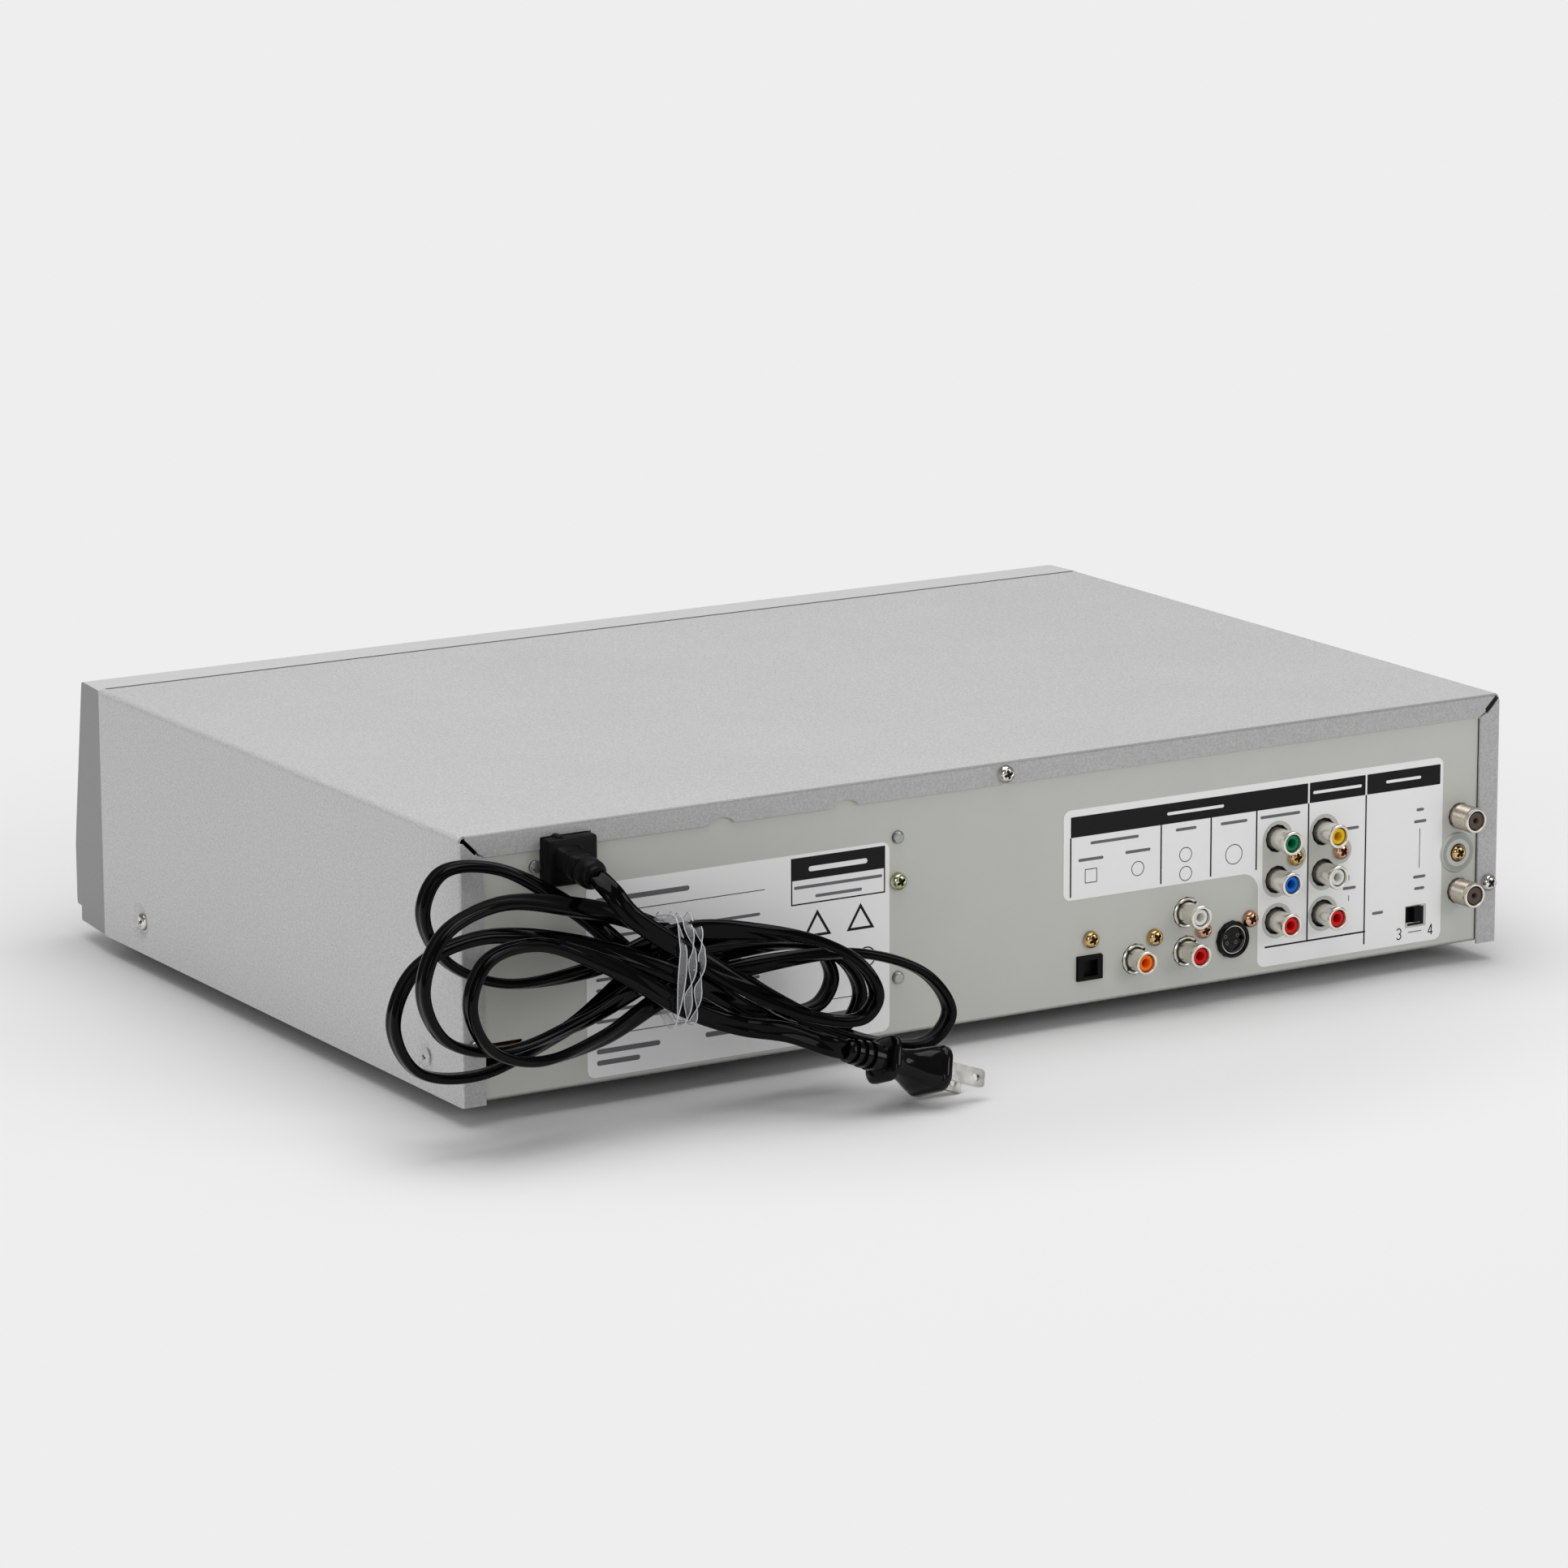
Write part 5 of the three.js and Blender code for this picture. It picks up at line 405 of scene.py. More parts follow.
def rounded(half_wide, half_high, radius, steps=5):
    """Corners of a rounded rectangle, anticlockwise."""
    radius = min(radius, half_wide, half_high)
    if not radius:
        return [(sx * half_wide, sy * half_high) for sx, sy in QUARTERS]
    outline = []
    for quarter, (sx, sy) in enumerate(QUARTERS):
        for k in range(steps + 1):
            angle = (quarter + k / steps) * math.pi / 2
            outline.append((
                sx * (half_wide - radius) + radius * math.cos(angle),
                sy * (half_high - radius) + radius * math.sin(angle),
            ))
    return outline


def swept(sections, start, way, look=0, up=None):
    """Rounded rectangles set along a line: each is a distance, half width, half height and corner radius."""
    side, lift, along = axes_along(way, up)
    rings = []
    for distance, *section in sections:
        rings.append([start + along * distance + side * u + lift * v for u, v in rounded(*section)])
    return loft(rings, look)


def slab(low, high, edge, look=0):
    """A box between two corners with a rounded edge of the given radius all round."""
    low, high = Vector(low), Vector(high)
    middle = (low + high) / 2
    half = (high - low) / 2
    share = edge * (1 - math.sqrt(0.5))
    levels = [(0, edge), (share, share), (edge, 0)]
    levels += [(2 * half.z - rise, inset) for rise, inset in reversed(levels)]
    rings = []
    for rise, inset in levels:
        corners = rounded(half.x - inset, half.y - inset, edge, 3)
        rings.append([Vector((middle.x + u, middle.y + v, low.z + rise)) for u, v in corners])
    return loft(rings, look)


def plate(outline, holes, near, far, look=0):
    """A flat sheet on the rear, cut from an outline of (x, height) with holes, between two distances out."""
    loops = [outline, *holes]
    triangles = tessellate_polygon([[Vector((x, z, 0)) for x, z in loop] for loop in loops])
    count = sum(len(loop) for loop in loops)
    points = [rear(x, out, z) for out in (near, far) for loop in loops for x, z in loop]
    faces = [tuple(reversed(face)) for face in triangles]
    faces += [tuple(corner + count for corner in face) for face in triangles]
    start = 0
    for loop in loops:
        faces += wall(start, len(loop), count)
        start += len(loop)
    return points, faces, look


def circle(x, z, radius, steps=36):
    angles = [math.tau * k / steps for k in range(steps)]
    return [(x + radius * math.cos(angle), z + radius * math.sin(angle)) for angle in angles]


def frame_of(x, z, half_wide, half_high, radius):
    return [(x + u, z + v) for u, v in rounded(half_wide, half_high, radius)]


# The mains cord: the lead, a hank with four loops on each side of its waist, and the tail

CORD_WIDTH = 7.0
CORD_THICKNESS = 3.6
CORD_GAP = 0.3
GROOVE_DEPTH = 0.42
GROOVE_WIDTH = 0.5
RELIEF_FROM = (179, 4.5, 83)
RELIEF_TO = (178, 23.7, 80)

# The numbers in the five tables of places and lobes are a search program's output, the same as in the
# part's source. They weren't chosen by hand. A lobe is its reach, half height, lift and distance out.
LEAD_PLACES = [(176.236, 30.969, 75.981), (170.74, 33.372, 68.172)]
WAIST_X = 149
WAIST_OUT = 26
WAIST_Z = 46
WAIST_COLUMN = 4.3
WAIST_ROW = 7.7
WAIST_PLACES = [
    (2.34, 0.797), (1.201, 1.7), (-1.58, -0.984), (-0.489, 0.988), (2.015, -0.357),
    (0.395, 0.164), (-2.4, 1.333), (0.322, -0.989), (1.972, -1.7),
]
RIGHT_LOBES = [
    (60.036, 12.758, -11.556, 57.185),
    (67.042, 12.959, -15.236, 16.603),
    (73.994, 14.672, -20.823, 23.895),
    (98.487, 16.676, -26.331, 42.593),
]
LEFT_LOBES = [
    (87.126, 20.982, 26.557, 8.518),
    (103.094, 24.491, -8.337, 16.563),
    (103.927, 24.054, 8.49, 39.705),
    (89.971, 20.481, 3.511, 46.154),
]
LOBE_STEPS = 8
LOBE_EASE = 1.15
TAIL_PLACES = [(130.234, 36.607, 25.108), (117.734, 47.42, 23.338)]
PLUG_PLACE = (65.4, 55.7, 3.8)
PLUG_WAY = Vector((-0.938, -0.008, -0.346)).normalized()
PLUG_APART = Vector((-0.137, 0.927, 0.350)).normalized()
PLUG_LENGTH = 38
PLUG_STRAIGHT = 7
PLUG_WIDE = PLUG_WAY.cross(PLUG_APART).normalized()
RELIEF_WAY = (Vector(RELIEF_TO) - Vector(RELIEF_FROM)).normalized()
SAMPLES_PER_SPAN = 12
SECTION_STEPS = 32
WAY_STEP = 0.05

plug_face = rear(*PLUG_PLACE)
plug_end = plug_face - PLUG_WAY * PLUG_LENGTH


def route_points():
    """Places of the route as (x, out, height, turn of the cord's wide side)."""
    def waist(place):
        column, row = place
        return (WAIST_X, WAIST_OUT + column * WAIST_COLUMN, WAIST_Z + row * WAIST_ROW, 0)

    points = [(RELIEF_TO[0], RELIEF_TO[1] + CORD_GAP, RELIEF_TO[2], 0)]
    points += [(*place, 0) for place in LEAD_PLACES]
    number = 0
    for right, left in zip(RIGHT_LOBES, LEFT_LOBES):
        for hand, (reach, half, lift, out) in ((-1, right), (1, left)):
            start = waist(WAIST_PLACES[number])
            end = waist(WAIST_PLACES[number + 1])
            points.append(start)
            for k in range(1, LOBE_STEPS):
                turn = math.pi * k / LOBE_STEPS
                bulge = math.sin(turn)
                share = k / LOBE_STEPS
                base_out = start[1] + (end[1] - start[1]) * share
                base_z = start[2] + (end[2] - start[2]) * share
                ease = min(1, bulge * LOBE_EASE)
                points.append((
                    WAIST_X + hand * reach * bulge,
                    base_out * (1 - bulge) + out * bulge,
                    WAIST_Z + (base_z - WAIST_Z) * (1 - bulge) - half * math.sin(2 * turn) + lift * bulge,
                    ease * ease * (3 - 2 * ease) * math.pi / 2,
                ))
            number += 1
    points.append(waist(WAIST_PLACES[number]))
    points += [(*place, 0) for place in TAIL_PLACES]
    for distance in (PLUG_STRAIGHT, CORD_GAP):
        place = plug_end - PLUG_WAY * distance
        points.append((place.x, place.y - REAR_Y, place.z - CASE_BOTTOM, 0))
    return [np.array(point, float) for point in points]


def route_sample(points, at):
    """The smooth curve through the route's places, at a place number with a fraction."""
    last = len(points) - 1

    def get(k):
        if k < 0:
            return points[0] - np.array([*RELIEF_WAY, 0]) * PLUG_STRAIGHT
        if k > last:
            return points[last] + np.array([*PLUG_WAY, 0]) * PLUG_STRAIGHT
        return points[k]

    def root(a, b):
        return math.sqrt(np.linalg.norm((a - b)[:3]))

    begin = min(int(at), last - 1)
    p0, p1, p2, p3 = (get(begin + k) for k in (-1, 0, 1, 2))
    d0, d1, d2 = root(p1, p0), root(p2, p1), root(p3, p2)
    s = at - begin
    leave = ((p1 - p0) / d0 - (p2 - p0) / (d0 + d1) + (p2 - p1) / d1) * d1
    arrive = ((p2 - p1) / d1 - (p3 - p1) / (d1 + d2) + (p3 - p2) / d2) * d1
    return (
        p1 * (2 * s ** 3 - 3 * s ** 2 + 1) + leave * (s ** 3 - 2 * s ** 2 + s)
        + p2 * (3 * s ** 2 - 2 * s ** 3) + arrive * (s ** 3 - s ** 2)
    )


def cord_section():
    """Outline of flat two-core cord: rounded edges and a groove along the middle of each side."""
    outline = []
    for k in range(SECTION_STEPS):
        angle = math.tau * k / SECTION_STEPS
        c, s = math.cos(angle), math.sin(angle)
        wide = math.copysign(abs(c) ** 0.75, c) * CORD_WIDTH / 2
        thick = math.copysign(abs(s) ** 0.5, s) * CORD_THICKNESS / 2
        groove = GROOVE_DEPTH * math.exp(-((wide / GROOVE_WIDTH) ** 2))
        outline.append((wide, thick - math.copysign(groove, s) if abs(s) > 0.1 else thick))
    return outline


def make_cord():
    points = route_points()
    last = len(points) - 1
    count = last * SAMPLES_PER_SPAN
    section = cord_section()
    rings, path = [], []
    for k in range(count + 1):
        at = last * k / count
        x, out, z, turn = route_sample(points, at)
        place = rear(x, out, z)
        if at == 0:
            way = RELIEF_WAY
        elif at == last:
            way = PLUG_WAY
        else:
            before = route_sample(points, at - WAY_STEP)
            after = route_sample(points, at + WAY_STEP)
            way = Vector((after - before)[:3]).normalized()
        flat = way.cross(REAR_WAY).normalized()
        facing = flat.cross(way)
        wide = flat * math.cos(turn) + facing * math.sin(turn)
        thick = way.cross(wide)
        rings.append([place + wide * u + thick * v for u, v in section])
        path.append(place * MM)
    cord = make("mains_cord", [loft(rings)], [PVC], slot="gloss_black", sharp=60)
    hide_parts("cord_lead", "cord_hank", "cord_tail")


# Inlet bushing: a block with a round key on top, and a tapered relief that ends in a bell

INLET_X = 176.8
INLET_Z = 81.7
INLET_HALF_WIDTH = 9.6
INLET_HALF_HEIGHT = 8.3
INLET_PROUD = 5.5


def make_bushing():
    middle = rear(INLET_X, PANEL_OUT + CORD_GAP, INLET_Z)
    proud = INLET_PROUD - PANEL_OUT - CORD_GAP
    block = swept([
        (0, INLET_HALF_WIDTH, INLET_HALF_HEIGHT, 1),
        (proud - 1.3, INLET_HALF_WIDTH, INLET_HALF_HEIGHT, 1),
        (proud - 0.4, INLET_HALF_WIDTH - 0.35, INLET_HALF_HEIGHT - 0.35, 1.2),
        (proud, INLET_HALF_WIDTH - 1.1, INLET_HALF_HEIGHT - 1.1, 1.2),
    ], middle, REAR_WAY)
    neck = swept([
        (0, INLET_HALF_WIDTH - 1, INLET_HALF_HEIGHT - 1, 1),
        (9, INLET_HALF_WIDTH - 1, INLET_HALF_HEIGHT - 1, 1),
    ], rear(INLET_X, PANEL_OUT - PANEL_SHEET - 9 + CORD_GAP, INLET_Z), REAR_WAY)
    key_place = rear(INLET_X + 4.2, PANEL_OUT + 1.4, INLET_Z + 7.7)
    key = turned([(1.7, 0), (1.7, 3.0), (1.4, 3.6)], key_place, REAR_WAY)
    start = rear(*RELIEF_FROM)
    length = (rear(*RELIEF_TO) - start).length
    relief = swept([
        (-1.2, 5.6, 5.0, 2.5), (0.6, 5.2, 4.6, 2.4), (1.6, 4.9, 4.3, 2.2),
        (4.0, 4.7, 4.2, 2.2), (4.2, 4.5, 4.0, 2.2), (4.5, 4.5, 4.0, 2.2),
        (4.7, 4.7, 4.2, 2.2), (6.6, 4.7, 4.2, 2.2), (6.8, 4.5, 4.0, 2.2),
        (7.1, 4.5, 4.0, 2.2), (7.3, 4.7, 4.3, 2.4), (10.2, 4.6, 4.4, 3.0),
        (10.7, 4.2, 4.1, 3.4), (11.0, 3.9, 3.9, 3.6), (12.0, 3.9, 3.9, 3.6),
        (12.3, 4.9, 4.9, 4.6), (12.9, 5.35, 5.35, 5.1), (16.6, 5.2, 5.2, 5.0),
        (17.6, 4.9, 4.9, 4.8), (18.1, 4.4, 4.4, 4.3), (18.2, 4.0, 4.0, 3.9),
        (length - 0.5, 3.9, 3.9, 3.8), (length, 3.7, 3.7, 3.6),
    ], start, RELIEF_WAY)
    parts = [block, neck, key, relief]
    bushing = make("inlet_bushing", parts, [BUSHING_BLACK], slot="gloss_black", sharp=40)
    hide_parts("cord_bushing")
    return bushing


# Plug: a flange at the blades, a waisted grip, a finger wing and a ribbed relief

PLUG_SECTIONS = [
    (-38.0, 3.7, 3.4, 3.0), (-37.2, 4.3, 3.9, 3.4), (-36.2, 4.4, 4.0, 3.4),
    (-36.0, 3.6, 3.2, 3.0), (-34.6, 3.6, 3.2, 3.0), (-34.4, 4.6, 4.1, 3.5),
    (-32.8, 4.7, 4.2, 3.6), (-32.6, 3.8, 3.4, 3.1), (-31.2, 3.8, 3.4, 3.1),
    (-31.0, 4.9, 4.4, 3.7), (-29.4, 5.0, 4.5, 3.8), (-29.2, 4.1, 3.7, 3.4),
    (-27.8, 4.1, 3.7, 3.4), (-27.6, 5.2, 4.7, 4.0), (-25.8, 5.3, 4.8, 4.1),
    (-25.6, 4.7, 4.3, 3.9), (-23.0, 5.0, 4.6, 4.2), (-22.5, 6.5, 5.6, 4.6),
    (-22.2, 8.6, 7.6, 5.0), (-21.5, 9.0, 8.0, 5.0), (-20.4, 8.9, 7.9, 5.0),
    (-19.8, 7.4, 6.3, 4.8), (-18.8, 6.3, 5.0, 4.4), (-15.5, 6.2, 4.7, 4.2),
    (-11.5, 7.4, 5.3, 4.8), (-8.0, 9.2, 6.4, 5.0), (-5.0, 10.5, 7.3, 5.2),
    (-3.3, 10.7, 7.5, 5.2), (-2.9, 11.3, 7.9, 5.2), (-2.2, 11.5, 8.0, 5.0),
    (-0.6, 11.5, 8.0, 5.0), (0.0, 11.0, 7.5, 4.6),
]


def make_plug():
    body = swept(PLUG_SECTIONS, plug_face, PLUG_WAY, up=PLUG_WIDE)
    plug = make("plug_grip", [body], [GLOSS_BLACK], slot="gloss_black", sharp=50)
    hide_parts("plug_body")
    return plug


# Tie: three twisted strands of clear film round the waist of the hank, with whiter beads along their edges
# as painted highlights

TIE_ROOM = 0.5
TIE_SHEET = 0.35
TIE_TURNS = 96
TIE_STRANDS = [(5.2, 2.6, 3, 0.2), (1.5, 2.7, 8, 0.0), (-2.0, 2.5, 9, 0.9)]
TIE_LEAN = 0.1
TIE_HIGHLIGHT_BEAD = 0.34


def tie_line():
    """Places round the waist: the outline that a taut band takes round the strands, evenly spaced."""
    half_out = CORD_THICKNESS / 2 + TIE_ROOM
    half_up = CORD_WIDTH / 2 + TIE_ROOM
    corners = []
    for column, row in WAIST_PLACES:
        out = WAIST_OUT + column * WAIST_COLUMN
        height = WAIST_Z + row * WAIST_ROW
        corners += [(out + u, height + v) for u, v in rounded(half_out, half_up, half_out, 4)]
    corners.sort()
    hull = []
    for way in (corners, corners[::-1]):
        chain = []
        for point in way:
            while len(chain) > 1 and turn_of(chain[-2], chain[-1], point) <= 0:
                chain.pop()
            chain.append(point)
        hull += chain[:-1]
    hull.append(hull[0])
    lengths = np.cumsum([0, *(math.dist(a, b) for a, b in zip(hull, hull[1:]))])
    evenly = lengths[-1] * np.arange(TIE_TURNS) / TIE_TURNS
    return list(zip(*(np.interp(evenly, lengths, side) for side in zip(*hull))))


def turn_of(a, b, c):
    return (b[0] - a[0]) * (c[1] - a[1]) - (b[1] - a[1]) * (c[0] - a[0])


def tie_strand(line, offset, width, twists, phase, edge=0, look=0):
    """One strand of film, turning over on itself round the waist, or the bead of painted highlight at one of
    its edges.
    """
    half_wide, half_thick = (TIE_HIGHLIGHT_BEAD / 2, TIE_HIGHLIGHT_BEAD / 2) if edge else (width / 2, TIE_SHEET / 2)
    rings = []
    for k in range(TIE_TURNS):
        before, place, after = (line[(k + step) % TIE_TURNS] for step in (-1, 0, 1))
        outward = Vector((0, after[1] - before[1], before[0] - after[0])).normalized()
        angle = phase + math.pi * twists * k / TIE_TURNS
        lie = X_AXIS * math.cos(angle) + outward * math.sin(angle)
        stand = outward * math.cos(angle) - X_AXIS * math.sin(angle)
        lean = (WAIST_Z - place[1]) * TIE_LEAN
        centre = rear(WAIST_X + offset + lean, *place) + outward * abs(math.sin(angle)) * width * 0.4
        centre += lie * edge * width / 2
        section = rounded(1, 1, 0.5, 2)
        rings.append([centre + lie * p * half_wide + stand * q * half_thick for p, q in section])
    return loft(rings, look, closed=True)


def make_tie():
    line = tie_line()
    parts = [tie_strand(line, *strand) for strand in TIE_STRANDS]
    parts += [tie_strand(line, *strand, edge=edge, look=1) for strand in TIE_STRANDS for edge in (-1, 1)]
    tie = make("hank_tie", parts, [TIE_FILM, TIE_EDGE_HIGHLIGHT], slot="clear_tie", sharp=50)
    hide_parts("cord_tie")
    return tie


bushing = make_bushing()
plug = make_plug()
tie = make_tie()
make_cord()


# Screws: a domed head with a cross recess

SCREW_RADIUS = 3.2
SCREW_HEIGHT = 2.4
SCREW_SEAT = 0.35
HEAD_RIM = 0.3
CROSS_REACH = 0.52
CROSS_HALF = 0.13
CROSS_DEPTH = 0.85


def screw_head(start, way, radius, height, turn, look=0, steps=64, rings=16):
    side, lift, along = axes_along(way)
    points, faces = [], []
    for k in range(rings + 1):
        share = (k + 1) / (rings + 1)
        distance = radius * share
        dome = height * (1 - share ** 3.2) ** 0.55 if share < 1 else 0
        for j in range(steps):
            angle = math.tau * j / steps
            across = (abs(distance * math.cos(angle - turn)), abs(distance * math.sin(angle - turn)))
            near, far = min(across), max(across)
            in_arm = 1 / (1 + math.exp((near - radius * CROSS_HALF) / (radius * 0.022)))
            end = radius * CROSS_REACH * (1 - near / radius)
            in_reach = 1 / (1 + math.exp((far - end) / (radius * 0.03)))
            depth = height * CROSS_DEPTH * in_arm * in_reach
            points.append(
                start + along * max(dome - depth, 0)
                + side * distance * math.cos(angle) + lift * distance * math.sin(angle)
            )
    for k in range(rings):
        faces += wall(k * steps, steps, steps)
    faces.append(tuple(range(steps)))
    base = len(points)
    points += [point - along * HEAD_RIM for point in points[-steps:]]
    faces += wall(base - steps, steps, steps)
    faces.append(tuple(range(base, base + steps)))
    return points, faces, look


def screw_cross(start, way, radius, height, turn, look=1):
    """Painted shade on the floor of the recess: a thin dark cross inside the head."""
    side, lift, along = axes_along(way)
    reach = radius * CROSS_REACH * 0.9
    half = radius * CROSS_HALF * 1.1
    corners = []
    for k in range(4):
        angle = turn + math.pi / 2 * k
        out = side * math.cos(angle) + lift * math.sin(angle)
        left = lift * math.cos(angle) - side * math.sin(angle)
        corners += [out * reach - left * half, out * reach + left * half, out * half + left * half]
    count = len(corners)
    points = [start + corner + along * height * share for share in (0.25, 0.45) for corner in corners]
    faces = [tuple(range(count)), tuple(range(count, count * 2)), *wall(0, count, count)]
    return points, faces, look


def screw(name, start, turn, look, way=REAR_WAY, height=SCREW_HEIGHT, **rest):
    parts = [shape(start, way, SCREW_RADIUS, height, turn) for shape in (screw_head, screw_cross)]
    make(name, parts, [look, HOLE_SHADE], sharp=70, **rest)


PANEL_SCREWS = [
    ("olive", 43.8, 56.4, 0.5), ("gold", -126.2, 43.3, 0.2), ("copper", -146.5, 43.1, 0.9),
    ("gold", -37.2, 24.5, 0.4), ("gold", -64.7, 21.6, 0.7), ("copper", -85.9, 21.5, 0.3),
    ("copper", -106.5, 22.9, 1.1), ("gold", -199.5, 35.8, 0.6),
]
FLANGE_SCREWS = [(0, 89.7, 0.3), (-213.2, 22.9, 0.8), (212.2, 20.5, 0.5)]
DIMPLE_FROM_REAR = (251, 28.5)
DIMPLE_Z = 11.5
DIMPLE_DEPTH = 1.6
DIMPLE_TURN = 0.4
DIMPLE_LOOKS = (SILVER_SCREW, COVER)


def make_screws():
    for number, (kind, x, z, turn) in enumerate(PANEL_SCREWS, 1):
        screw(f"panel_screw_{number}", rear(x, PANEL_OUT + SCREW_SEAT, z), turn, SCREW_LOOKS[kind])
    for number, (x, z, turn) in enumerate(FLANGE_SCREWS, 1):
        screw(f"flange_screw_{number}", rear(x, SCREW_SEAT, z), turn, SILVER_SCREW, slot="nickel")
    for hand, side in ((1, "left"), (-1, "right")):
        for number, (from_rear, look) in enumerate(zip(DIMPLE_FROM_REAR, DIMPLE_LOOKS)):
            screw(
                f"side_screw_{side}_{number + 1}",
                rear(hand * (HALF_WIDTH - DIMPLE_DEPTH + SCREW_SEAT), -from_rear, DIMPLE_Z),
                DIMPLE_TURN + number, look, X_AXIS * hand, DIMPLE_DEPTH - SCREW_SEAT, slot="nickel",
            )


make_screws()


# Connectors

JACK_SUNK = 2
JACK_RADIUS = 4
COLLAR = 0.45
JACK_BLOCK_WIDTH = 11
JACK_BLOCK_DEPTH = 13
JACK_BLOCK_FACE = -2.3
JACK_PITCH = 15.3
LOWEST_JACK_Z = 20.6
LONG_BARREL = 8.7
SHORT_BARREL = 6.6
COMPONENT_X = -118.4
AV_X = -139
AUDIO_X = -78.7
COAX_X = -56.6
LOW_AUDIO_Z = 14.6
AUDIO_PITCH = 14.3
WASHER_RADIUS = 5.5


def phono(x, z, out, washer):
    """Parts of one phono socket: 0 nickel shell, 1 coloured ring, 2 contact painted dark as the shade deep
    in the hole.
    """
    base = rear(x, PANEL_OUT - JACK_SUNK, z)
    tip = out - PANEL_OUT + JACK_SUNK
    shell = rear_ring([
        (3.3, 0), (JACK_RADIUS, 0), (JACK_RADIUS, tip - 1.7), (JACK_RADIUS + COLLAR - 0.05, tip - 1.4),
        (JACK_RADIUS + COLLAR, tip - 0.5), (JACK_RADIUS + COLLAR - 0.15, tip - 0.12), (JACK_RADIUS, tip),
        (3.45, tip), (3.3, tip - 0.2), (3.3, tip - 1.4), (3.3, tip - 3),
    ], base, steps=48)
    ring = rear_ring([
        (1.5, 0.5), (2.95, 0.5), (2.95, tip - 1.0), (2.8, tip - 0.85), (2.2, tip - 0.85),
        (1.75, tip - 0.95), (1.5, tip - 1.5),
    ], base, 1)
    contact = turned([(1.48, 0.4), (1.48, tip - 6), (0.6, tip - 6.3)], base, REAR_WAY, 2, 24)
    parts = [shell, ring, contact]
    if washer:
        foot = rear(x, PANEL_OUT, z)
        parts.append(rear_ring([
            (4.5, 0.02), (WASHER_RADIUS, 0.02), (WASHER_RADIUS, 0.5),
            (WASHER_RADIUS - 0.25, 0.75), (4.9, 0.75), (4.5, 0.5),
        ], foot))
        for k in range(4):
            angle = math.pi / 4 + math.pi / 2 * k
            claw = foot + Vector((math.cos(angle), 0, math.sin(angle))) * 4.75
            parts.append(slab(claw - Vector((0.5, 0, 0.5)), claw + Vector((0.5, 0.85, 0.5)), 0.12, 2))
    return parts


def jack_block(x, low_z, high_z):
    half = JACK_BLOCK_WIDTH / 2
    low = rear(x - half, JACK_BLOCK_FACE - JACK_BLOCK_DEPTH, low_z - half)
    return slab(low, rear(x + half, JACK_BLOCK_FACE, high_z + half), 0.5)


def make_jacks(name, node, x, heights, colours, out=LONG_BARREL, washer=True):
    block = make(f"{name}_block", [jack_block(x, heights[0], heights[-1])], [BLACK], slot="black_plastic")
    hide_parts(node)
    for z, colour in zip(heights, colours):
        looks = [NICKEL, JACK_FINISHES[colour], HOLE_SHADE]
        make(f"{name}_{colour}", phono(x, z, out, washer), looks, slot="nickel", sharp=40)


COLUMN = [LOWEST_JACK_Z + k * JACK_PITCH for k in range(3)]
AUDIO_COLUMN = [LOW_AUDIO_Z, LOW_AUDIO_Z + AUDIO_PITCH]
make_jacks("component", "component_jacks", COMPONENT_X, COLUMN, ("red", "blue", "green"), washer=False)
make_jacks("video", "av_jacks", AV_X, COLUMN, ("red", "white", "yellow"), washer=False)
make_jacks("audio", "audio_jacks", AUDIO_X, AUDIO_COLUMN, ("red", "white"))
make_jacks("coaxial", "coaxial_jack", COAX_X, [LOW_AUDIO_Z], ("orange",), SHORT_BARREL)

FRONT_COLOURS = ("yellow", "white", "red")
FRONT_PITCH = 18
FRONT_RING = [(1.9, 0.02), (3.2, 0.02), (3.2, 0.3), (2.9, 0.4), (2.1, 0.4), (1.9, 0.3)]


def make_front_rings():
    """Coloured rings on the three sockets under the cassette door."""
    low, high = (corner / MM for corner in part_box("front_jacks"))
    first = (low.x + high.x) / 2 - FRONT_PITCH
    for number, colour in enumerate(FRONT_COLOURS):
        place = Vector((first + number * FRONT_PITCH, low.y, (low.z + high.z) / 2))
        ring = turned(FRONT_RING, place, -REAR_WAY, 0, 32, closed=True)
        make(f"front_ring_{colour}", [ring], [JACK_FINISHES[colour]], slot="black_plastic")


make_front_rings()

S_VIDEO_X = -98.8
S_VIDEO_Z = 16.3
S_VIDEO_RADIUS = 6.7
S_VIDEO_TIP = 3.0
S_VIDEO_PINS = ((-2.9, 1.2), (2.9, 1.2), (-2.1, -1.6), (2.1, -1.6))
S_VIDEO_NOTCHES = ((-4.4, 0, 0.8), (4.4, 0, 0.8), (0, 4.5, 1.4))


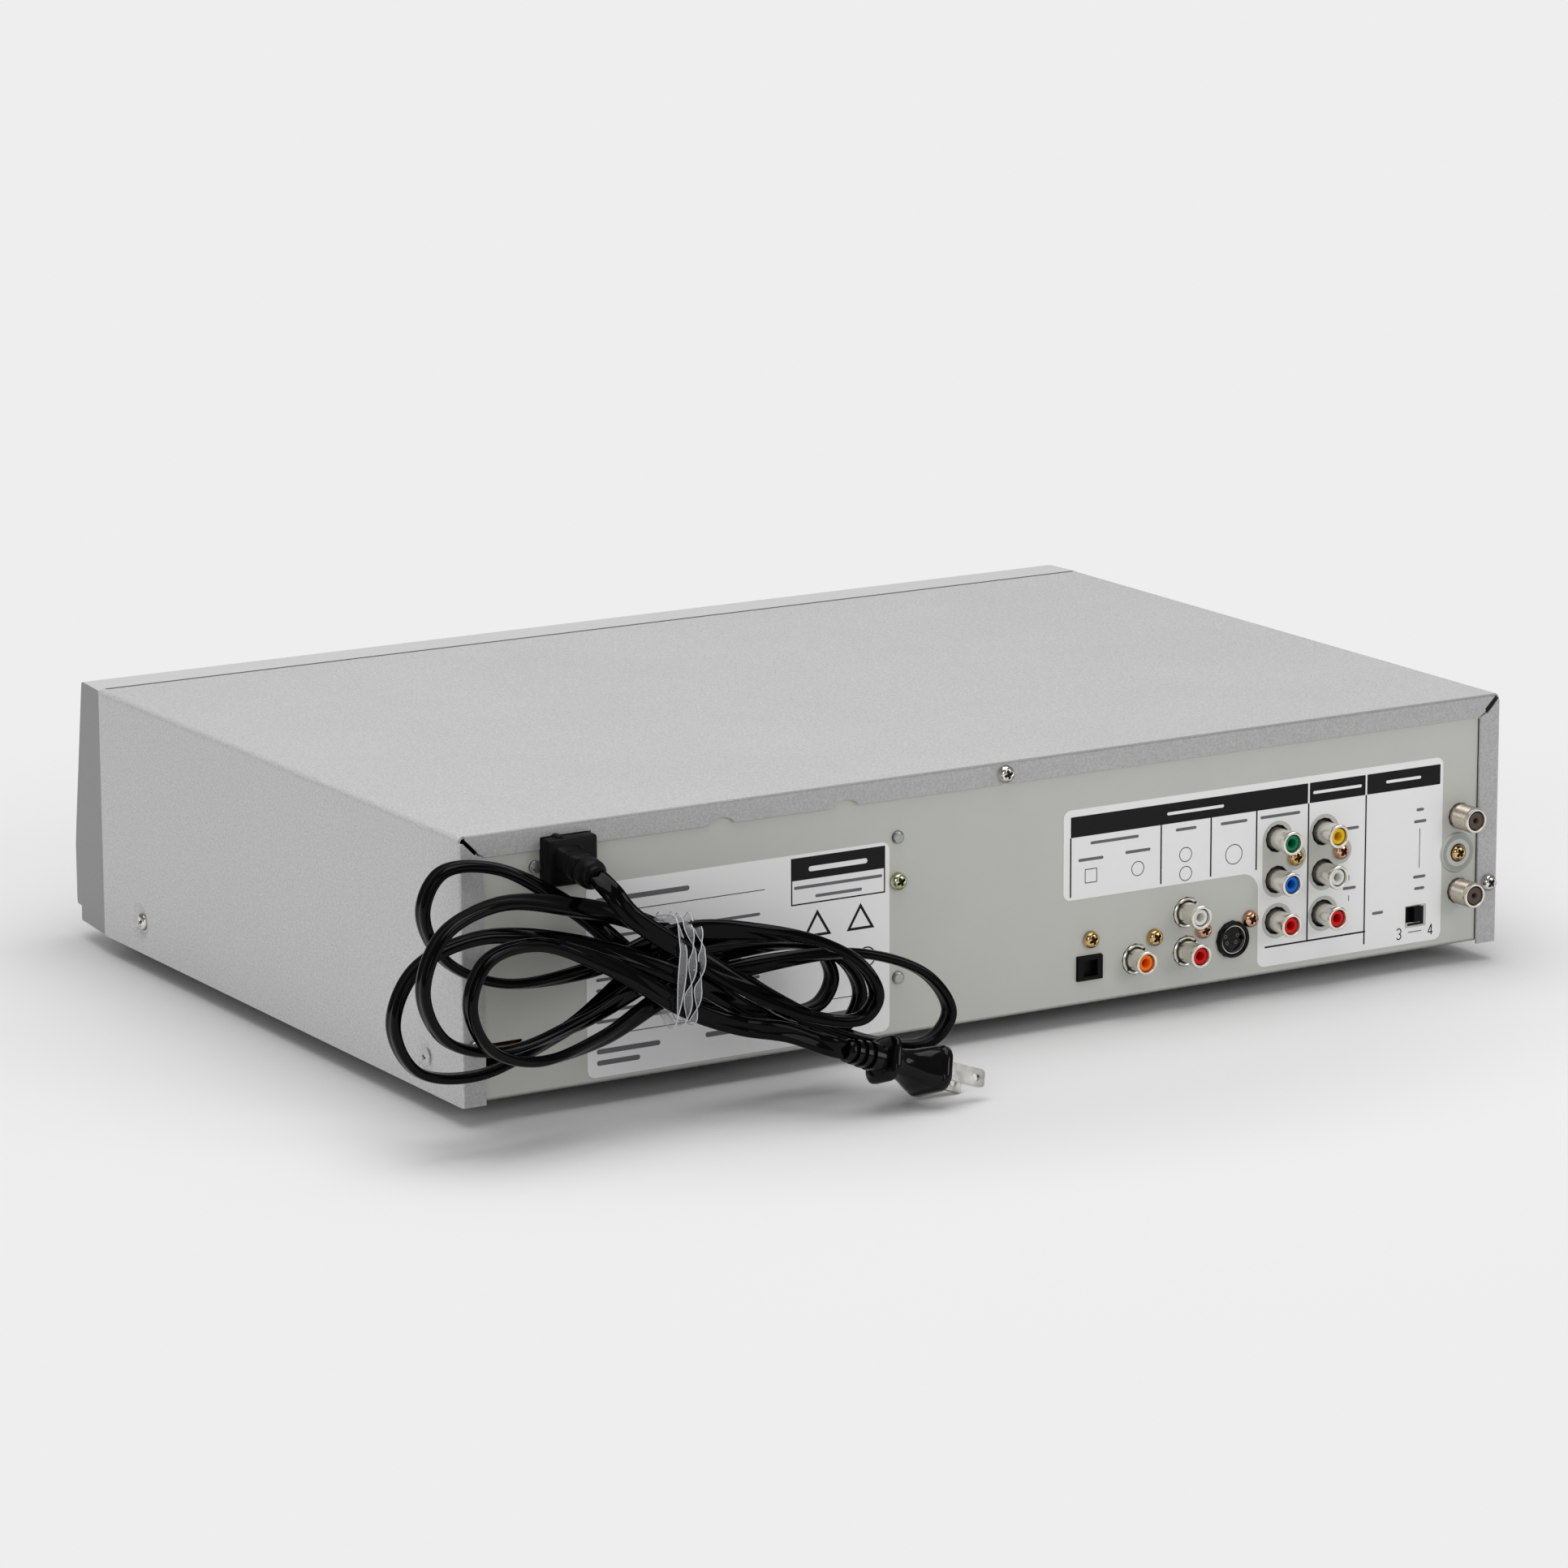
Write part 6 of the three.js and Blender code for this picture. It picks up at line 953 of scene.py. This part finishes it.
def make_s_video():
    base = rear(S_VIDEO_X, PANEL_OUT - JACK_SUNK, S_VIDEO_Z)
    tip = S_VIDEO_TIP
    body = rear_ring([
        (5.2, 0), (S_VIDEO_RADIUS, 0), (S_VIDEO_RADIUS, tip + 0.4), (S_VIDEO_RADIUS - 0.25, tip + 0.8),
        (S_VIDEO_RADIUS - 0.7, tip + 1.0), (5.5, tip + 0.8), (5.25, tip + 0.4),
    ], base, steps=48)
    shield = rear_ring([(4.95, 0), (5.15, 0), (5.15, tip + 0.1), (4.95, tip + 0.1)], base, 1, 48)
    face = turned([(4.9, 0), (4.9, tip - 1.6), (4.7, tip - 1.4)], base, REAR_WAY, 2, 40)
    parts = [body, shield, face]
    face_out = PANEL_OUT - JACK_SUNK + tip - 1.4
    for x, z in S_VIDEO_PINS:
        pin = rear(S_VIDEO_X + x * 0.9, face_out, S_VIDEO_Z + z * 0.9)
        parts.append(rear_ring([(0.5, 0), (0.72, 0), (0.72, 0.16), (0.5, 0.16)], pin, 3, 16))
        parts.append(turned([(0.5, -0.02), (0.48, 0.04)], pin, REAR_WAY, 4, 16))
    key = rear(S_VIDEO_X, face_out, S_VIDEO_Z - 3)
    parts.append(slab(key - Vector((1.2, 0.1, 0.55)), key + Vector((1.2, 0.06, 0.55)), 0.05, 4))
    for x, z, wide in S_VIDEO_NOTCHES:
        notch = rear(S_VIDEO_X + x, face_out, S_VIDEO_Z + z)
        parts.append(slab(notch - Vector((wide / 2, 0, 0.5)), notch + Vector((wide / 2, 1.5, 0.5)), 0.1))
    # The pin holes and the key are painted dark as shade.
    looks = [GLOSS_BLACK, NICKEL, GLOSS_BLACK, GREY_INK_AND_SHADE, HOLE_SHADE]
    make("s_video_socket", parts, looks, slot="black_plastic", sharp=40)
    block = jack_block(S_VIDEO_X, S_VIDEO_Z - 1, S_VIDEO_Z + 1)
    body = make("s_video_block", [block], [BLACK], slot="black_plastic")
    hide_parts("s_video_jack")


make_s_video()

ANTENNA_X = -200.4
ANTENNA_HEIGHTS = (49.5, 21.2)
ANTENNA_RADIUS = 4.75
ANTENNA_OUT = 9.3
ANTENNA_SUNK = 1.2
THREAD_START = 2.6
THREAD_PITCH = 0.8
THREAD_DEPTH = 0.28


def make_antennas():
    low, high = (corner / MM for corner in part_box("tuner_can"))
    high.y = REAR_Y + JACK_BLOCK_FACE
    can = make("tuner_shield", [slab(low, high, 0.8)], [ZINC], slot="zinc_steel")
    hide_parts("tuner_can")
    tip = ANTENNA_OUT - PANEL_OUT + ANTENNA_SUNK
    root = ANTENNA_RADIUS - THREAD_DEPTH
    thread = [(3.6, 0), (root, 0)]
    for k in range(int((tip - THREAD_START - 0.8) / THREAD_PITCH)):
        at = THREAD_START + k * THREAD_PITCH
        crest = [(ANTENNA_RADIUS, at + THREAD_PITCH * share) for share in (0.35, 0.6)]
        thread += [(root, at), *crest]
    thread += [
        (root, tip - 0.7), (ANTENNA_RADIUS - 0.3, tip - 0.2), (ANTENNA_RADIUS - 0.55, tip),
        (3.75, tip), (3.6, tip - 0.2),
    ]
    insulator = [
        (0.75, 1), (3.58, 1), (3.58, tip - 1.4), (3.2, tip - 1.3), (3.1, tip - 0.4),
        (1.5, tip - 0.4), (1.1, tip - 0.6), (0.75, tip - 1.4),
    ]
    rim = [(3.78, tip - 0.5), (3.78, tip + 0.02), (4.2, tip + 0.02), (4.5, tip - 0.16), (4.62, tip - 0.5)]
    # The centre contact is painted dark as the shade in its hole.
    contact = [(0.72, 0.8), (0.72, tip - 3), (0.3, tip - 3.1)]
    looks = [AERIAL_NICKEL, BROWN_INSULATOR, HOLE_SHADE, NICKEL]
    for number, z in enumerate(ANTENNA_HEIGHTS, 1):
        base = rear(ANTENNA_X, PANEL_OUT - ANTENNA_SUNK, z)
        parts = [
            rear_ring(thread, base, 0, 56), rear_ring(insulator, base, 1),
            turned(contact, base, REAR_WAY, 2, 20), rear_ring(rim, base, 3, 56),
        ]
        make(f"antenna_socket_{number}", parts, looks, slot="nickel", sharp=25)


RING_X = -199.4
RING_Z = 35.8
RING_PARTS = [
    (0, [(3.4, -0.1), (3.45, 1.0), (3.6, 1.1), (4.95, 1.1), (5.15, 1.05), (5.25, 0.96), (5.25, -0.1)]),
    (1, [(5.25, -0.1), (5.25, 0.96), (6.85, 0.96), (6.85, -0.1)]),
    (0, [(6.85, -0.1), (6.85, 0.96), (6.95, 1.04), (7.1, 1.0), (7.35, 0.6), (7.6, 0.15), (7.7, -0.1)]),
]
PIP_PROFILE = [(2.35, -0.1), (2.3, 0.5), (2.15, 0.92), (1.5, 1.1), (0.6, 1.16), (0.05, 1.17)]
PIPS = [(43.9, 72.2), (43.8, 21.7), (188.2, 80)]


def make_pressed_forms():
    """The pressed ring between the aerial sockets, with its shaded groove, and the bare steel pips."""
    centre = rear(RING_X, PANEL_OUT, RING_Z)
    rings = [rear_ring(profile, centre, look, 64) for look, profile in RING_PARTS]
    make("panel_ring", rings, [PANEL, PANEL_SHADE], slot="panel_paint")
    pips = [turned(PIP_PROFILE, rear(x, PANEL_OUT, z), REAR_WAY, 0, 32) for x, z in PIPS]
    make("panel_pips", pips, [PIP_STEEL], slot="zinc_steel", sharp=80)


make_antennas()
make_pressed_forms()


# Labels: a light film with windows round the sockets, printed with plain bars, lines and figures

LABEL_SHEET = 0.12
INK_SHEET = 0.03
LABEL_LEFT = -25.5
LABEL_RIGHT = -192.5
LABEL_TOP = 72.7
LABEL_STEP_X = -110
LABEL_STEP_Z = 39.8
LABEL_BOTTOM = 4
LABEL_CORNER = 3
LABEL_INNER_CORNER = 7
label_out = PANEL_OUT + LABEL_SHEET


def arc(x, z, radius, start, end, steps=8):
    """Points of an arc, its angles in quarter turns."""
    angles = [(start + (end - start) * k / steps) * math.pi / 2 for k in range(steps + 1)]
    return [(x + radius * math.cos(angle), z + radius * math.sin(angle)) for angle in angles]


def label_outline():
    c, i = LABEL_CORNER, LABEL_INNER_CORNER
    return (
        arc(LABEL_LEFT - c, LABEL_TOP - c, c, 0, 1)
        + arc(LABEL_RIGHT + c, LABEL_TOP - c, c, 1, 2)
        + arc(LABEL_RIGHT + c, LABEL_BOTTOM + c, c, 2, 3)
        + arc(LABEL_STEP_X - c, LABEL_BOTTOM + c, c, 3, 4)
        + arc(LABEL_STEP_X + i, LABEL_STEP_Z - i, i, 2, 1)
        + arc(LABEL_LEFT - c, LABEL_STEP_Z + c, c, 3, 4)
    )


LABEL_WINDOW = 6.6
SCREW_WINDOW = 4.9
PAIR_SCREWS = {COMPONENT_X: (-126.2, 43.3), AV_X: (-146.5, 43.1)}
CHANNEL_X = -181
CHANNEL_Z = 14.1
CHANNEL_WINDOW_WIDTH = 9.6
CHANNEL_WINDOW_HEIGHT = 8.4
HEADER_LOW = 62.6
HEADER_HIGH = 70.1
HEADER_BARS = [(-28.5, -131.6), (-132.4, -157.3), (-158.1, -191.2)]
DIVIDERS = [(-28.5, 40.9), (-67.3, 40.9), (-89, 40.8), (-109, 40.7), (-132, 11.2), (-157.7, 6.4)]
DIVIDER_WIDTH = 0.62
BASE_LINE = (-113.2, -158.2, 11.2)
FINE_LINE = 0.28
MARK_RINGS = [(-57.3, 47.9, 2.75), (-78, 50.4, 2.75), (-78.1, 43.4, 2.75), (-99.1, 47.8, 3.75)]
MARK_SQUARE = (-37.2, 47.9, 2.6)
SHORT_LINES = [(-182.3, 32.1, 47), (-150.5, 31.4, 33.5), (-150.5, 23.7, 25.8)]
SWITCH_LINE = (-177.8, -183.8, 8.2)
DIGIT_HEIGHT = 4
DIGIT_WIDTH = 2.1
DIGIT_STROKE = 0.45
DIGIT_Z = 6.1
THREE_X = -173.5
FOUR_X = -187.9
PRINT_BARS = [
    (-36.9, -57.6, 59.8), (-31.8, -42.5, 54), (-51.9, -62.7, 54.4), (-73.6, -82.6, 59.9),
    (-93.2, -104.9, 59.7), (-110.6, -128.2, 59.8), (-161.2, -166.2, 17.5), (-180.6, -184, 54.1),
    (-179.6, -185.2, 49.7), (-179.6, -185.2, 28.8), (-180.2, -184.8, 24.4), (-148.6, -154.6, 51),
    (-147.8, -153.6, 28.6),
]
RATING_LABEL = (168.6, 47.3, 3, 71)
RATING_ROWS = 9
RATING_ROW_TOP = 52
RATING_ROW_PITCH = 3.7
RATING_ROW_START = 165
RATING_ROW_REACH = 74
RATING_ROW_SWAY = 0.12
RATING_RULES = [(165.5, 51.5, 17.6), (165.5, 98, 60.4)]
RATING_BLOCKS = [(165, 128, 65), (165, 140, 12), (165, 148, 8), (122, 98, 12), (92, 56, 12)]
RATING_BLOCK_HALF = 0.9
RATING_BOX = (87.4, 49.1, 53, 69.8)
RATING_BOX_HEADER = 61.8
RATING_BOX_ROWS = [(86.2, 50.3, 59.2), (77.6, 58.6, 55.5)]
RATING_HEADER_ROW = (80.3, 56.4, 65.4)
FRAME_LINE = 0.5
TRIANGLES = [(76.8, 50.6, 41.1, 5.7), (59.2, 50.6, 41.1, 5.7)]
MARK_RING = (56.7, 30.9, 3.7)
TRIANGLE_INNER = 0.7
# Painted shade: dark sheets in the channel switch's opening, along the seam beside the panel and over the
# corner notch.
CHANNEL_SHADE = [(-177.4, -184.7, 10.6, 11.5), (-183.2, -184.7, 11.5, 17.5)]
SEAM_FROM_SIDE = 9
SEAM_WIDTH = 0.35
SEAM_LOW = 2
SEAM_HIGH = 85
NOTCH_LINE = [(-210.9, 88.1), (-215.7, 92.8)]
NOTCH_WIDTH = 1.7
HEADER_PRINT = [(-69.8, -94.5, 66.3), (-133.9, -155.6, 66.3), (-166.6, -182.4, 66.3)]
PRINT_HALF = 0.55
LABEL_LIFT = 0.01


def keyhole(x, screw_x, screw_z):
    """One window round the two upper sockets of a column and the screw beside them."""
    low, high = COLUMN[1], COLUMN[2]
    side = x - LABEL_WINDOW
    reach = math.sqrt(SCREW_WINDOW ** 2 - (side - screw_x) ** 2)
    turn = math.atan2(reach, side - screw_x) / (math.pi / 2)
    return (
        arc(x, high, LABEL_WINDOW, 0, 2, 18)
        + arc(screw_x, screw_z, SCREW_WINDOW, turn, 4 - turn, 14)
        + arc(x, low, LABEL_WINDOW, 2, 4, 18)
    )


def band(path, width):
    """Outline of a stroke of even width along a path of (x, height)."""
    left, right = [], []
    for k, (x, z) in enumerate(path):
        before = path[max(k - 1, 0)]
        after = path[min(k + 1, len(path) - 1)]
        run = math.dist(before, after)
        across = (-(after[1] - before[1]) / run * width / 2, (after[0] - before[0]) / run * width / 2)
        left.append((x + across[0], z + across[1]))
        right.append((x - across[0], z - across[1]))
    return left + right[::-1]


def bar(x0, x1, z0, z1, radius=0.0):
    return frame_of((x0 + x1) / 2, (z0 + z1) / 2, abs(x1 - x0) / 2, abs(z1 - z0) / 2, radius)


def printed(outline, holes=(), lift=0.0, look=0):
    """A shape printed on a label, or over other print where it is lifted."""
    start = label_out + 0.004 + lift
    return plate(outline, holes, start, start + INK_SHEET, look)


def strip(row, half, radius=0.0, **rest):
    """A printed strip from one x to another at a height, and half its width to each side."""
    start, end, z = row
    return printed(bar(start, end, z - half, z + half, radius), **rest)


def upright(x, low, high, width):
    return printed(bar(x - width / 2, x + width / 2, low, high))


def words(rows, half=PRINT_HALF, **rest):
    """Plain bars with round ends, where a label has its words."""
    return [strip(row, half, half, **rest) for row in rows]


def ring_print(x, z, radius, line):
    return printed(circle(x, z, radius), [circle(x, z, radius - line)])


def digit_strokes():
    """The figures beside the channel switch, as seen from behind."""
    bowl = DIGIT_HEIGHT / 4
    middle = DIGIT_Z + DIGIT_HEIGHT / 2
    upper = arc(THREE_X, middle + bowl, bowl, 1.7, -1, 12)
    lower = arc(THREE_X, middle - bowl, bowl, 1, -1.7, 12)
    three = [[(2 * THREE_X - x, z) for x, z in stroke] for stroke in (upper, lower)]
    left = (FOUR_X + DIGIT_WIDTH / 2, DIGIT_Z + DIGIT_HEIGHT / 4)
    right = (FOUR_X - DIGIT_WIDTH / 2, DIGIT_Z + DIGIT_HEIGHT / 4)
    stem = FOUR_X - DIGIT_WIDTH / 5
    top = (stem, DIGIT_Z + DIGIT_HEIGHT)
    four = [[(stem, DIGIT_Z), top], [top, left], [left, right]]
    return [band(path, DIGIT_STROKE) for path in three + four]


def make_connector_label():
    holes = [keyhole(x, *place) for x, place in PAIR_SCREWS.items()]
    holes += [circle(x, COLUMN[0], LABEL_WINDOW) for x in PAIR_SCREWS]
    half_wide, half_high = CHANNEL_WINDOW_WIDTH / 2, CHANNEL_WINDOW_HEIGHT / 2
    holes.append(frame_of(CHANNEL_X, CHANNEL_Z, half_wide, half_high, 0.5))
    make("connector_label", [plate(label_outline(), holes, PANEL_OUT + LABEL_LIFT, label_out)], [LABEL])
    parts = [printed(bar(x0, x1, HEADER_LOW, HEADER_HIGH, 0.3)) for x0, x1 in HEADER_BARS]
    parts += [upright(x, low, HEADER_LOW, DIVIDER_WIDTH) for x, low in DIVIDERS]
    parts.append(strip(BASE_LINE, DIVIDER_WIDTH / 2, lift=0.002))
    parts += [ring_print(*ring, FINE_LINE) for ring in MARK_RINGS]
    x, z, reach = MARK_SQUARE
    inner = reach - FINE_LINE
    parts.append(printed(frame_of(x, z, reach, reach, 0), [frame_of(x, z, inner, inner, 0)]))
    parts += [upright(*line, FINE_LINE) for line in SHORT_LINES]
    parts.append(strip(SWITCH_LINE, FINE_LINE / 2))
    parts += [printed(stroke, lift=number * 0.001) for number, stroke in enumerate(digit_strokes())]
    parts += words(PRINT_BARS, look=1)
    parts += words(HEADER_PRINT, lift=INK_SHEET, look=2)
    make("connector_print", parts, [BLACK_INK_AND_SHADE, GREY_INK_AND_SHADE, LABEL])


def rating_rows():
    """Plain ruled rows of uneven length, where the label has its small print."""
    rows = []
    for k in range(RATING_ROWS):
        reach = RATING_ROW_REACH * (1 - RATING_ROW_SWAY * (1 + math.sin(k * 2.1)))
        rows.append((RATING_ROW_START, RATING_ROW_START - reach, RATING_ROW_TOP - k * RATING_ROW_PITCH))
    return rows


def make_rating_label():
    outline = bar(*RATING_LABEL, LABEL_CORNER)
    make("rating_label", [plate(outline, [], PANEL_OUT + LABEL_LIFT, label_out)], [LABEL])
    left, right, low, high = RATING_BOX
    inner = bar(left - FRAME_LINE, right + FRAME_LINE, low + FRAME_LINE, high - FRAME_LINE)
    parts = [printed(bar(*RATING_BOX), [inner])]
    parts.append(printed(bar(left, right, RATING_BOX_HEADER, high), lift=INK_SHEET / 2))
    parts += [strip(row, FINE_LINE / 2) for row in RATING_RULES]
    parts += words(RATING_BLOCKS, RATING_BLOCK_HALF, look=1)
    parts += words(rating_rows() + RATING_BOX_ROWS, look=1)
    parts += words([RATING_HEADER_ROW], RATING_BLOCK_HALF, lift=INK_SHEET * 1.5, look=2)
    for x, top, foot, reach in TRIANGLES:
        corners = [(x, top), (x + reach, foot), (x - reach, foot)]
        middle = (x, foot + (top - foot) / 3)
        inner = [tuple(m + (c - m) * TRIANGLE_INNER for m, c in zip(middle, corner)) for corner in corners]
        parts.append(printed(corners, [inner]))
    parts.append(ring_print(*MARK_RING, FRAME_LINE))
    make("rating_print", parts, [BLACK_INK_AND_SHADE, GREY_INK_AND_SHADE, LABEL])


def make_openings():
    """Painted shade: dark sheets in the opening of the channel switch, in the seam beside the panel and over
    the corner notch.
    """
    near, far = PANEL_OUT + LABEL_LIFT, PANEL_OUT + 0.05
    parts = [plate(bar(*edges), [], near, far) for edges in CHANNEL_SHADE]
    seam = SEAM_FROM_SIDE - HALF_WIDTH
    parts.append(plate(bar(seam, seam + SEAM_WIDTH, SEAM_LOW, SEAM_HIGH), [], near, far))
    parts.append(plate(band(NOTCH_LINE, NOTCH_WIDTH), [], LABEL_LIFT, 0.05))
    make("shade_in_openings", parts, [BLACK_INK_AND_SHADE])


BEZEL_SEAM_START = 0.3
BEZEL_SEAM_END = 2
BEZEL_SEAM_FROM_SIDE = 2.6
BEZEL_SEAM_LIFT = 0.01


def make_bezel_seam():
    """Painted shade in the gap between the bezel and the top of the cover, drawn as a grey strip on the
    cover's front edge.
    """
    half = HALF_WIDTH - BEZEL_SEAM_FROM_SIDE
    low = Vector((-half, cover_low.y + BEZEL_SEAM_START, cover_high.z - BEZEL_SEAM_LIFT))
    high = Vector((half, cover_low.y + BEZEL_SEAM_END, cover_high.z + BEZEL_SEAM_LIFT))
    make("bezel_seam", [slab(low, high, 0)], [GREY_INK_AND_SHADE])


make_connector_label()
make_rating_label()
make_openings()
make_bezel_seam()


# Carried-over solids take the finish of their slot, and the visible ones a softened edge

BEVELLED = {"top_cover": 0.3, "rear_panel": 0.15, "front_bezel": 0.4}


def dress_frame():
    slots = {part["node"]: part.get("material_slot") for part in frame["record"]["subparts"]}
    for name, node in frame["nodes"].items():
        look = SLOT_FINISHES[slots[name]]
        node.data.materials.clear()
        node.data.materials.append(look)
        node.data.polygons.foreach_set("material_index", [0] * len(node.data.polygons))
        node.data.shade_smooth()
        node.data.set_sharp_from_angle(angle=math.radians(28))
        if name in BEVELLED:
            edge = node.modifiers.new("edge", "BEVEL")
            edge.width = BEVELLED[name] * MM
            edge.segments = 2
            edge.limit_method = "ANGLE"
            edge.angle_limit = math.radians(40)


dress_frame()


# Floor, backdrop and light

BACKDROP = srgb(238, 238, 238)
# Painted shadow: the floor's colour falls to a share of the backdrop near the player, between two distances
# from its middle.
FLOOR_SHADOW_SHARE = 0.87
FLOOR_SHADOW_START = 0.22
FLOOR_SHADOW_END = 0.34
FLOOR_RADIUS = 6
FLOOR_STEPS = 96
FADE_START = 0.28
FADE_END = 0.52


def make_floor():
    material = bpy.data.materials.new("floor")
    material.use_nodes = True
    tree = material.node_tree
    tree.nodes.clear()
    place = add_node(tree, "TexCoord").outputs["Object"]
    distance = add_node(tree, "VectorMath", {0: place}, operation="LENGTH").outputs["Value"]
    # near is the painted shadow round the player; fade blends the lit floor into the plain backdrop.
    near, fade = (
        remap(tree, distance, *span, interpolation_type="SMOOTHSTEP")
        for span in ((FLOOR_SHADOW_START, FLOOR_SHADOW_END, FLOOR_SHADOW_SHARE, 1), (FADE_START, FADE_END, 0, 1))
    )
    matt = add_node(tree, "BsdfDiffuse", {"Color": scaled(tree, BACKDROP[:3], near)}).outputs["BSDF"]
    plain = add_node(tree, "Emission", {"Color": BACKDROP}).outputs["Emission"]
    rays = add_node(tree, "LightPath").outputs
    through = {0: rays["Is Camera Ray"], 1: rays["Is Transmission Ray"]}
    seen = add_node(tree, "Math", through, operation="MAXIMUM").outputs["Value"]
    share = add_node(tree, "Math", {0: fade, 1: seen}, operation="MULTIPLY").outputs["Value"]
    add_node(tree, "OutputMaterial", {"Surface": mixed(tree, share, matt, plain)})
    mesh = bpy.data.meshes.new("floor")
    ring = [(x, y, 0) for x, y in circle(0, 0, FLOOR_RADIUS, FLOOR_STEPS)]
    mesh.from_pydata(ring, [], [tuple(range(FLOOR_STEPS))])
    mesh.materials.append(material)
    floor = add_object("floor", mesh)


AMBIENT = 0.42
MIRRORED = 0.2
WORLD_WHITE = (1, 1, 1, 1)


def make_world():
    world = bpy.data.worlds.new("world")
    bpy.context.scene.world = world
    world.use_nodes = True
    tree = world.node_tree
    tree.nodes.clear()
    ambient, mirrored, plain = (
        add_node(tree, "Background", {"Color": colour, "Strength": strength}).outputs["Background"]
        for colour, strength in ((WORLD_WHITE, AMBIENT), (WORLD_WHITE, MIRRORED), (BACKDROP, 1))
    )
    rays = add_node(tree, "LightPath").outputs
    around = mixed(tree, rays["Is Glossy Ray"], ambient, mirrored)
    add_node(tree, "OutputWorld", {"Surface": mixed(tree, rays["Is Camera Ray"], around, plain)})


LAMPS = [
    ("overhead", (0.1, 0.1, 1.9), 1.8, 23.5),
    ("left_front", (2.2, 2.3, 1.1), 1.2, 9.2),
    ("right_front", (-1.6, 2.6, 1.2), 1.2, 16),
]


def make_lamps():
    target = Vector((0, 0, 0.05))
    for name, place, size, power in LAMPS:
        data = bpy.data.lights.new(name, "AREA")
        data.shape = "RECTANGLE"
        data.size = size
        data.size_y = size
        data.energy = power
        lamp = add_object(name, data)
        lamp.location = place
        lamp.rotation_mode = "QUATERNION"
        lamp.rotation_quaternion = (target - Vector(place)).to_track_quat("-Z", "Y")


make_floor()
make_world()
make_lamps()
bpy.context.scene.view_settings.view_transform = "Standard"
